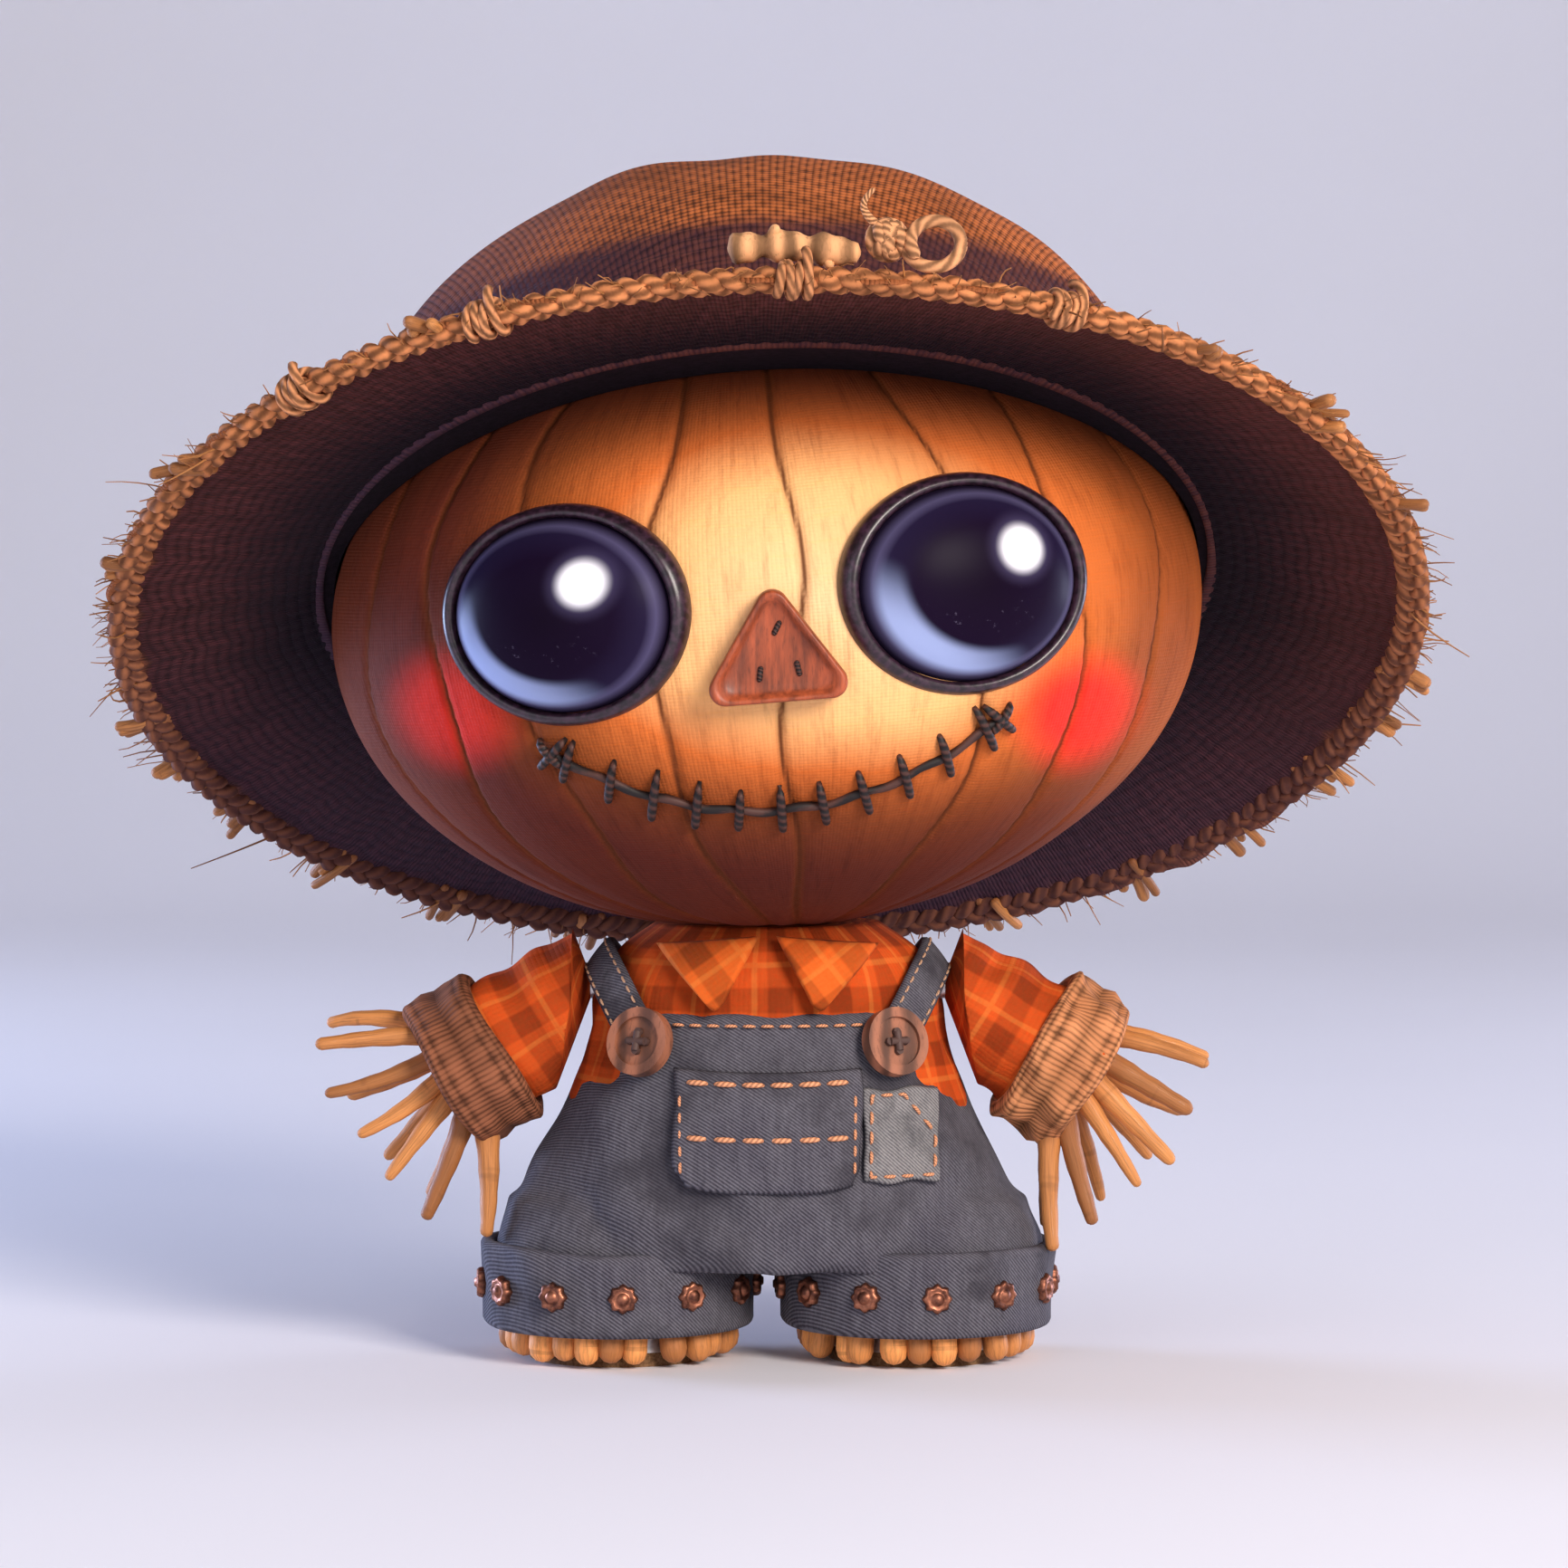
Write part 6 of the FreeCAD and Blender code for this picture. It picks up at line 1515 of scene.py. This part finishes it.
class SCARECROW_OT_bib(bpy.types.Operator):
    """Make the bib pocket with two rows of stitching and the paler patch beside it, tacked all round"""
    bl_idname = "scarecrow.bib"
    bl_label = "Pocket and Patch"

    def execute(self, context):
        clothes = context.scene.scarecrow_clothes
        thread = stitch_thread("peach_thread", (0.80, 0.34, 0.17))
        across = np.linspace(-1, 1, 50)[None]
        down = np.linspace(0, 1, 44)[:, None]
        half, top, low = 20 * MM, 66 * MM, 40 * MM
        round_in = 1 - 0.10 * ease(down, 0.72, 1.0) ** 2
        x = across * half * round_in + 0.4 * MM * np.sin(down * 7)
        z = (top + (low - top) * down + 0.7 * MM * across ** 2 * (1 - down)
             + 1.6 * MM * across ** 4 * ease(down, 0.7, 1))
        pucker = 0.25 * MM * np.sin(across * 26) * np.exp(-((z - 52 * MM) / (2 * MM)) ** 2)
        front, outward = on_trunk(x, z, 2.3 * MM + 0.5 * MM * np.sin(down * math.pi) + pucker)
        pocket = pad("pocket_cloth", front, outward, 1.9 * MM,
                     denim("pocket_denim", clothes.denim, clothes.faded, 40))
        wear(pocket, "trunk", "bib_pocket")
        side = np.linspace(-0.93, 0.93, 60)
        for label, height in (("upper", 63.2), ("lower", 51.5)):
            line, up = on_trunk(side * half, height * MM + 0.6 * MM * side ** 2, 2.75 * MM)
            row = dashes("pocket_stitch_" + label, line, up, 4.6 * MM, 6.2 * MM, 0.62 * MM, thread)
            wear(row, "trunk", None)
        for label, sign in SIDES:
            height = np.linspace(62 * MM, 43 * MM, 40)
            line, up = on_trunk(sign * (half - 1.7 * MM) + 0 * height, height, 2.6 * MM)
            row = dashes("pocket_seam_" + label, line, up, 2.4 * MM, 3.6 * MM, 0.36 * MM, thread)
            wear(row, "trunk", None)

        low_corner, high_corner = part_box("bib_patch")
        middle_x, middle_z = (low_corner.x + high_corner.x) / 2, (low_corner.z + high_corner.z) / 2
        half_x, half_z = (high_corner.x - low_corner.x) / 2, (high_corner.z - low_corner.z) / 2
        x = middle_x + half_x * across * (1 + 0.03 * np.sin(down * 9)) + 0.5 * MM * (down - 0.5)
        z = middle_z + half_z * (1 - 2 * down) + 0.4 * MM * np.sin(across * 5)
        front, outward = on_trunk(x, z, 1.9 * MM + 0.15 * MM * np.sin(across * 11) * np.sin(down * 9))
        patch = pad("patch_faded", front, outward, 1.5 * MM,
                    denim("patch_denim", (0.20, 0.19, 0.21), (0.50, 0.48, 0.48), 50))
        wear(patch, "trunk", "bib_patch")
        walk = np.linspace(0, 1, 200)
        loop_x = np.clip(1.5 - np.abs((walk * 4 + 1.5) % 4 - 2) * 2 + 0.0, -1, 1)
        loop_z = np.clip(1.5 - np.abs((walk * 4 + 0.5) % 4 - 2) * 2 + 0.0, -1, 1)
        line, up = on_trunk(middle_x + loop_x * half_x * 0.84, middle_z + loop_z * half_z * 0.86, 2.15 * MM)
        tack = dashes("patch_tacks", line, up, 2.6 * MM, 4.3 * MM, 0.40 * MM, thread)
        wear(tack, "trunk", None)
        edge = np.linspace(-27.5, 27.5, 80) * MM
        line, up = on_trunk(edge, BIB_TOP - 3.2 * MM, 0.75 * MM)
        hem = dashes("bib_hem_stitch", line, up, 2.6 * MM, 4.0 * MM, 0.36 * MM, thread)
        wear(hem, "trunk", None)
        return {"FINISHED"}


class SCARECROW_OT_straps(bpy.types.Operator):
    """Make the straps: denim strips that lean outwards from the buttons and go over the shoulders"""
    bl_idname = "scarecrow.straps"
    bl_label = "Straps"

    def execute(self, context):
        clothes = context.scene.scarecrow_clothes
        cloth = denim("strap_denim", clothes.denim, clothes.faded, 60)
        thread = stitch_thread("strap_thread", (0.62, 0.36, 0.22))
        foot, lean = 68 * MM, math.tan(math.radians(29))
        heights = np.linspace(80, 95, 400) * MM
        line_x = 27 * MM + (heights - 72 * MM) * lean
        crest = heights[np.argmin(np.abs(trunk_wide(heights) - line_x - 0.15 * MM))]
        walk = np.linspace(-1, 1, 90)
        z = crest - (crest - foot) * walk ** 2
        x = 27 * MM + (z - 72 * MM) * lean
        face = np.where(walk < 0, -1.0, 1.0)
        base, up = on_trunk(x, z, 0.4 * MM, face)
        for _ in range(6):
            base[1:-1] = (base[:-2] + base[1:-1] * 2 + base[2:]) / 4
            up[1:-1] = unit((up[:-2] + up[1:-1] * 2 + up[2:]))
        along = unit(np.gradient(base, axis=0))
        sideways = unit(np.cross(up, along))
        up = unit(np.cross(along, sideways))
        for label, side in SIDES:
            across = np.linspace(-1, 1, 16)[:, None, None]
            bow = (0.35 * (1 - across ** 2) + 0.0) * MM
            front = base[None] + sideways[None] * across * 4.8 * MM + up[None] * (2.0 * MM + bow)
            mirror = np.array((side, 1, 1))
            strip = pad("strap_strip_" + label, front * mirror, up[None] * mirror + 0 * front, 1.9 * MM,
                        cloth)
            wear(strip, "trunk", "strap_" + label)
            for number, offset in enumerate((-3.5, 3.5)):
                line = (base + sideways * offset * MM + up * 2.2 * MM) * mirror
                seam = dashes(f"strap_stitch_{label}_{number}", line, up * mirror, 1.9 * MM, 2.9 * MM,
                              0.28 * MM, thread)
                wear(seam, "trunk", None)
        return {"FINISHED"}


class SCARECROW_OT_cuffs(bpy.types.Operator):
    """Make the turned-up trouser cuffs, thick with creases, and a ring of rosette studs on each"""
    bl_idname = "scarecrow.cuffs"
    bl_label = "Trouser Cuffs"

    def execute(self, context):
        clothes = context.scene.scarecrow_clothes
        cloth = denim("cuff_denim", clothes.denim, clothes.faded, 45)
        copper = Finish("copper_stud", 0.35, metallic=1.0)
        dull = copper.noise(copper.object_place(), 500, 4)
        copper.rough(0.3 + dull * 0.35)
        stud_metal = copper.colour(copper.mix(dull.step(0.35, 0.7), (0.38, 0.15, 0.09),
                                              (0.10, 0.04, 0.03))).bump(
            dull, 0.2, 0.1 * MM)
        for label, side in SIDES:
            seed = 3 if side > 0 else 9
            turn = (np.arange(300) * TURN / 300)[None]
            lap = (np.arange(30) * TURN / 30)[:, None]
            high = np.sign(np.sin(lap)) * np.abs(np.sin(lap)) ** 0.55
            outer = np.clip(np.cos(lap) * 1.6, -1, 1)
            crease = (0.55 * np.sin(turn * 11 + high * 1.4 + wander(turn, (2, 3), seed)) * (0.6 + 0.4 * high)
                      + 0.5 * wander(turn, (3, 5, 8), seed + 1)) * MM
            out = 28.6 * MM + outer * 1.45 * MM + np.where(outer > 0, crease, 0) * np.abs(outer)
            out = out + 0.8 * MM * np.clip(high, 0, 1) * (outer > 0)
            z = (16.8 * MM + high * 9.4 * MM
                 + 0.7 * MM * wander(turn, (2, 3, 5), seed + 2) * np.clip(high, 0, 1))
            points = np.stack([side * LEG_SIDE + out * np.cos(turn), out * np.sin(turn), z], -1)
            cuff = surface("cuff_turned_" + label, points, cloth, wrap_rows=True, wrap_cols=True)
            wear(cuff, "trunk", "trouser_cuff_" + label)

            share = np.array([0.0, 0.25, 0.42, 0.55, 0.7, 0.85, 0.97, 1.0, 1.0])[1:, None]
            height = np.array([1.9, 1.8, 1.15, 0.85, 1.25, 1.2, 0.7, 0.2, -1.4])[1:, None] * MM
            ring = (np.arange(32) * TURN / 32)[None]
            petal = 1 + 0.10 * np.cos(ring * 8) * ease(share, 0.5, 0.85)
            reach = 3.1 * MM * share * petal
            rosette = np.stack([reach * np.cos(ring), reach * np.sin(ring), height + 0 * ring], -1)
            around = np.arange(12) * TURN / 12 + (0.13 if side > 0 else 0.05)
            outward = np.stack([np.cos(around), np.sin(around), 0 * around], -1)[:, None, None]
            sideways = np.stack([-np.sin(around), np.cos(around), 0 * around], -1)[:, None, None]
            middle = np.array((side * LEG_SIDE, 0, 16.5 * MM)) + outward * 30.3 * MM
            studs = (middle + sideways * rosette[None, ..., 0:1]
                     + np.array((0, 0, 1)) * rosette[None, ..., 1:2]
                     + outward * rosette[None, ..., 2:3])
            ring_of_studs = surface("cuff_rosettes_" + label, studs, stud_metal, wrap_cols=True, caps=True)
            wear(ring_of_studs, "trunk", "cuff_studs")
        return {"FINISHED"}


class SCARECROW_OT_feet(bpy.types.Operator):
    """Make the feet: rings of thick straw ends under the cuffs, each with its own lean and length"""
    bl_idname = "scarecrow.feet"
    bl_label = "Foot Straw"

    def execute(self, context):
        clothes = context.scene.scarecrow_clothes
        straw = straw_stalk("foot_straw", 1.3)
        rng = np.random.default_rng(4)
        for label, side in SIDES:
            count = clothes.toes
            turn = np.arange(count) * TURN / count + rng.normal(0, 0.025, count)
            radius = rng.uniform(2.75, 3.35, count) * MM
            foot = 23.6 * MM + rng.normal(0, 0.5, count) * MM
            low = 0.7 * MM + rng.uniform(0, 0.9, count) * MM
            spread = rng.normal(0, 0.03, count)
            end = np.stack([side * LEG_SIDE + foot * np.cos(turn + spread), foot * np.sin(turn + spread),
                            low], -1)
            start = np.stack([side * LEG_SIDE + 22.6 * MM * np.cos(turn), 22.6 * MM * np.sin(turn),
                              15 * MM + 0 * turn], -1)
            paths, radii = capsule_paths(start, end, np.stack([radius * 0.92, radius], -1), 9)
            toes = rods("foot_straws_" + label, paths, radii, 16, straw)
            wear(toes, "trunk", "foot_straw_" + label)
        return {"FINISHED"}


# ---- the arms ----

def arm_matrix(side):
    """An arm's frame: it starts at the shoulder bolt and Z runs down the arm."""
    drop = math.radians(90 + 31)
    return (Matrix.Translation((side * abs(ARM_START), 0, SHOULDER_HIGH))
            @ Matrix.Rotation(side * drop, 4, "Y"))


class SCARECROW_OT_sleeves(bpy.types.Operator):
    """Make the sleeves: round tubes of plaid that widen to the wrist, creased, with a rounded shoulder
    cut to a flat cone so that it turns beside the trunk, and a rolled cuff on each"""
    bl_idname = "scarecrow.sleeves"
    bl_label = "Sleeves"

    def execute(self, context):
        plaid = plaid_cloth("sleeve_flannel", context.scene.scarecrow_clothes.plaid)
        # The right (-x) cuff roll is a darker copy of the left one's colour: painted shade on the side away
        # from the key light.
        cuff_looks_with_painted_shade = {"left": ((0.50, 0.20, 0.085), 1.0), "right": ((0.24, 0.085, 0.042), 0.35)}
        for label, side in SIDES:
            body = "arm_" + label
            matrix = arm_matrix(side)
            turn = (np.arange(200) * TURN / 200)[None]
            along = np.linspace(0, 1, 90)[:, None]
            dome = np.clip(along / 0.22, 0, 1)
            reach = np.where(along < 0.22, -13 * np.cos(dome * math.pi / 2), (along - 0.22) / 0.78 * 38) * MM
            size = np.where(along < 0.22, 13 * np.sin(np.maximum(dome, 0.02) * math.pi / 2),
                            13 + 2.6 * np.clip(reach / (37 * MM), 0, 1)) * MM
            crease = (0.75 * np.sin(reach / (2.1 * MM) + 2.2 * np.sin(turn + side) + turn)
                      + 0.45 * np.sin(turn * 6 + reach / (5 * MM))) * MM * ease(along, 0.24, 0.4)
            points = np.stack([(size + crease * 0.8) * np.cos(turn), (size + crease * 0.8) * np.sin(turn),
                               reach + 0 * turn], -1)
            points = place(points, matrix)
            off_axis = np.hypot(points[..., 1], points[..., 2] - SHOULDER_HIGH)
            clear = abs(ARM_START) + 0.25 * MM + 0.38 * off_axis
            points[..., 0] = side * np.maximum(side * points[..., 0], clear)
            cloth = np.stack([turn * 14 * MM + 0 * along, reach + 0 * turn], -1)
            sleeve = surface("sleeve_cloth_" + label, points, plaid, wrap_cols=True, caps=True, cloth=cloth)
            wear(sleeve, body, "sleeve_" + label)

            colour, lumpy = cuff_looks_with_painted_shade[label]
            made, ground, height, strength = burlap("cuff_roll_" + label, colour, 90, 14, 0.35, 1.5, 0.8)
            roll_cloth = made.colour(ground).bump(height, strength, 0.7 * MM)
            lap = (np.arange(40) * TURN / 40)[:, None]
            high = np.sign(np.sin(lap)) * np.abs(np.sin(lap)) ** 0.6
            outer = np.clip(np.cos(lap) * 1.5, -1, 1)
            turn = (np.arange(220) * TURN / 220)[None]
            lump = (0.9 * np.sin(turn * 5 + high * 2) + 0.7 * np.sin(turn * 9 - high * 3)
                    + 0.55 * np.sin(high * 5 + turn * 2)) * lumpy * MM
            groove = -0.8 * MM * np.exp(-((high - 0.1 * np.sin(turn * 2)) / 0.16) ** 2)
            out = 15.9 * MM + outer * 1.6 * MM + (lump + groove + 0.6 * MM) * np.clip(outer, 0, 1)
            rise = 31.5 * MM + high * 8.2 * MM + 0.5 * MM * np.sin(turn * 3 + 1) * high
            roll = np.stack([out * np.cos(turn), out * np.sin(turn), rise], -1)
            cuff = surface("cuff_roll_" + label, place(roll, matrix), roll_cloth, wrap_rows=True,
                           wrap_cols=True)
            wear(cuff, body, "sleeve_cuff_" + label)
        return {"FINISHED"}


class SCARECROW_OT_hands(bpy.types.Operator):
    """Make the hands: two rows of thick straws that fan out of each sleeve, bowed and tapered"""
    bl_idname = "scarecrow.hands"
    bl_label = "Hand Straw"

    def execute(self, context):
        straw = straw_stalk("hand_straw_stalk")
        for label, side in SIDES:
            rng = np.random.default_rng(31 if side > 0 else 17)
            spread = (-16, 58) if side > 0 else (-30, 60)
            starts, ends, sizes = [], [], []
            for row, (count, depth) in enumerate(((6, -4.8), (5, 4.8))):
                fan = np.radians(np.linspace(*spread, count)) + rng.normal(0, 0.04, count)
                root = np.linspace(-8.8, 8.8, count) * MM
                length = (rng.uniform(22.5, 26.0, count) + 3 * np.linspace(0, 1, count) - row * 1.5) * MM
                tilt = np.radians(depth * 2) + rng.normal(0, 0.04, count)
                start = np.stack([side * root, np.full(count, depth * MM), np.full(count, 34 * MM)], -1)
                way = np.stack([side * np.sin(fan), np.sin(tilt), np.cos(fan)], -1)
                starts.append(start)
                ends.append(start + unit(way) * (length + 4 * MM)[:, None])
                thick = rng.uniform(2.4, 3.2, count) * MM
                sizes.append(np.stack([thick, thick * rng.uniform(0.38, 0.55, count)], -1))
            starts, ends, sizes = np.concatenate(starts), np.concatenate(ends), np.concatenate(sizes)
            bow = rng.normal(0, 0.9 * MM, starts.shape) * (1, 0.6, 0.3)
            paths, radii = capsule_paths(starts, ends, sizes, 12, bow)
            lumps = 1 + 0.05 * np.sin(np.arange(radii.shape[1])[None] * 1.9 + np.arange(len(radii))[:, None])
            fingers = rods("hand_straws_" + label, place(paths, arm_matrix(side)), radii * lumps, 12, straw)
            wear(fingers, "arm_" + label, "hand_straw_" + label)
        return {"FINISHED"}


# ---- finishes of the frame's own pieces, the stage and the camera ----

class SCARECROW_OT_frame_finish(bpy.types.Operator):
    """Give the buttons, boards, bolts, stuffing and every other piece of the frame a finish by its slot"""
    bl_idname = "scarecrow.frame_finish"
    bl_label = "Frame Finishes"

    def execute(self, context):
        clothes = context.scene.scarecrow_clothes
        hard = board()
        metal = steel()
        soft = felt("stuffing_fleece", (0.62, 0.52, 0.42), 500)
        finishes = {
            "hardboard": hard, "zinc_steel": metal, "stuffing": soft,
            "button_wood": wood("button_wood", (0.26, 0.095, 0.05), 260, 0.25, 0.45),
            "button_thread": stitch_thread("button_thread", (0.10, 0.05, 0.04)),
            # The hat wadding is near black to stand for the deep shade under the brim: painted shade.
            "hat_wadding": felt("hat_wadding", (0.008, 0.004, 0.008), 600),
            "washer_plastic": felt("washer_plastic", (0.06, 0.05, 0.06), 300),
            "denim": denim("frame_denim", clothes.denim, clothes.faded),
        }
        for node in frame["nodes"].values():
            wanted = node.material_slots[0].material.name.split(".")[0] if node.material_slots else ""
            material = finishes.get(wanted, soft)
            for place_in in node.material_slots:
                place_in.material = material
        return {"FINISHED"}


class SCARECROW_OT_camera(bpy.types.Operator):
    """Set up the camera: a long lens square to the front, a little above the figure"""
    bl_idname = "scarecrow.camera"
    bl_label = "Camera"

    def execute(self, context):
        view = context.scene.scarecrow_view
        camera = bpy.data.cameras.new("camera")
        camera.sensor_width = 36.0
        camera.lens = camera.sensor_width * view.distance / view.width
        camera.clip_end = 20
        holder = bpy.data.objects.new("camera", camera)
        context.scene.collection.objects.link(holder)
        aim = Vector((view.aim_side, 0, view.aim_high))
        rise = view.rise
        holder.location = aim + Vector((0, -math.cos(rise), math.sin(rise))) * view.distance
        holder.rotation_euler = (math.pi / 2 - rise, 0, 0)
        context.scene.camera = holder
        return {"FINISHED"}


class SCARECROW_OT_stage(bpy.types.Operator):
    """Set up a pale floor that curves up behind the figure, a warm key light, a fill and a cool rim light"""
    bl_idname = "scarecrow.stage"
    bl_label = "Floor and Lights"

    def execute(self, context):
        share = np.linspace(0, 1, 60)[:, None]
        bend = np.clip((share - 0.45) / 0.25, 0, 1) * math.pi / 2
        flat = np.minimum(share, 0.45) / 0.45 * 3.4 - 2.2
        y = flat + 0.8 * np.sin(bend)
        z = 0.8 * (1 - np.cos(bend)) + np.clip(share - 0.7, 0, 1) * 8
        x = np.linspace(-4, 4, 8)[None]
        points = np.stack([x + 0 * share, y + 0 * x, z + 0 * x], -1)
        paper = Finish("backdrop_paper", 0.85)
        speck = paper.noise(paper.object_place(), 3, 2)
        paper.colour(paper.mix(speck, (0.80, 0.79, 0.85), (0.86, 0.85, 0.91)))
        floor = surface("stage_sweep", points, paper.material)
        if floor.data.polygons[0].normal.z < 0:
            floor.data.flip_normals()
        for name, where, power, colour, size in (
                ("key", (0.9, -1.5, 0.9), 40, (1.0, 0.92, 0.84), 0.7),
                ("fill", (-1.1, -1.6, 0.5), 7, (0.90, 0.90, 1.0), 1.2),
                ("rim", (-1.1, 0.55, 0.12), 26, (0.50, 0.64, 1.0), 0.5),
                ("back", (1.1, 0.6, 0.12), 12, (0.70, 0.76, 1.0), 0.5)):
            lamp = bpy.data.lights.new(name, "AREA")
            lamp.energy = power
            lamp.color = colour
            lamp.size = size
            holder = bpy.data.objects.new(name, lamp)
            context.scene.collection.objects.link(holder)
            holder.location = where
            holder.rotation_euler = (Vector(where) - Vector((0, 0, 0.13))).to_track_quat("Z", "Y").to_euler()
        world = bpy.data.worlds.new("studio")
        world.use_nodes = True
        world.node_tree.nodes["Background"].inputs[0].default_value = (0.82, 0.82, 0.92, 1)
        world.node_tree.nodes["Background"].inputs[1].default_value = 0.34
        context.scene.world = world
        context.scene.view_settings.view_transform = "Standard"
        return {"FINISHED"}


class ViewSizes(bpy.types.PropertyGroup):
    distance: FloatProperty(name="Distance", description="Distance of the camera from the figure's middle",
                            default=1.6, unit="LENGTH")
    width: FloatProperty(name="View width", description="Width that the camera sees at the figure",
                         default=0.3464, unit="LENGTH")
    rise: FloatProperty(name="Rise", description="Angle from which the camera looks down",
                        default=math.radians(3.5), subtype="ANGLE")
    aim_side: FloatProperty(name="Aim sideways", description="Sideways place of the view's middle",
                            default=3.6 * MM, unit="LENGTH")
    aim_high: FloatProperty(name="Aim height", description="Height of the view's middle", default=0.127,
                            unit="LENGTH")


GROUPS = (("scarecrow_head", HeadSizes), ("scarecrow_face", FaceSizes), ("scarecrow_hat", HatSizes),
          ("scarecrow_clothes", ClothesSizes), ("scarecrow_view", ViewSizes))
OPERATORS = (SCARECROW_OT_camera, SCARECROW_OT_frame_finish, SCARECROW_OT_head, SCARECROW_OT_eyes,
             SCARECROW_OT_nose, SCARECROW_OT_mouth, SCARECROW_OT_crown, SCARECROW_OT_brim, SCARECROW_OT_rim,
             SCARECROW_OT_stubs, SCARECROW_OT_band, SCARECROW_OT_twig, SCARECROW_OT_overalls,
             SCARECROW_OT_shirt, SCARECROW_OT_bib, SCARECROW_OT_straps, SCARECROW_OT_cuffs, SCARECROW_OT_feet,
             SCARECROW_OT_sleeves, SCARECROW_OT_hands, SCARECROW_OT_stage)


class SCARECROW_PT_panel(bpy.types.Panel):
    """Lists the figure's pieces in the order in which they are made"""
    bl_idname = "SCARECROW_PT_panel"
    bl_label = "Stuffed Scarecrow Figure"
    bl_space_type = "VIEW_3D"
    bl_region_type = "UI"
    bl_category = "Scarecrow"

    def draw(self, context):
        for operator in OPERATORS:
            self.layout.operator(operator.bl_idname)


def register():
    for name, group in GROUPS:
        bpy.utils.register_class(group)
        setattr(bpy.types.Scene, name, PointerProperty(type=group))
    for operator in OPERATORS:
        bpy.utils.register_class(operator)
    bpy.utils.register_class(SCARECROW_PT_panel)


def unregister():
    bpy.utils.unregister_class(SCARECROW_PT_panel)
    for operator in reversed(OPERATORS):
        bpy.utils.unregister_class(operator)
    for name, group in reversed(GROUPS):
        delattr(bpy.types.Scene, name)
        bpy.utils.unregister_class(group)


def main():
    """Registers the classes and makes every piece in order."""
    register()
    for operator in OPERATORS:
        group, name = operator.bl_idname.split(".")
        getattr(getattr(bpy.ops, group), name)()
    bpy.context.view_layer.update()


if __name__ == "__main__":
    main()
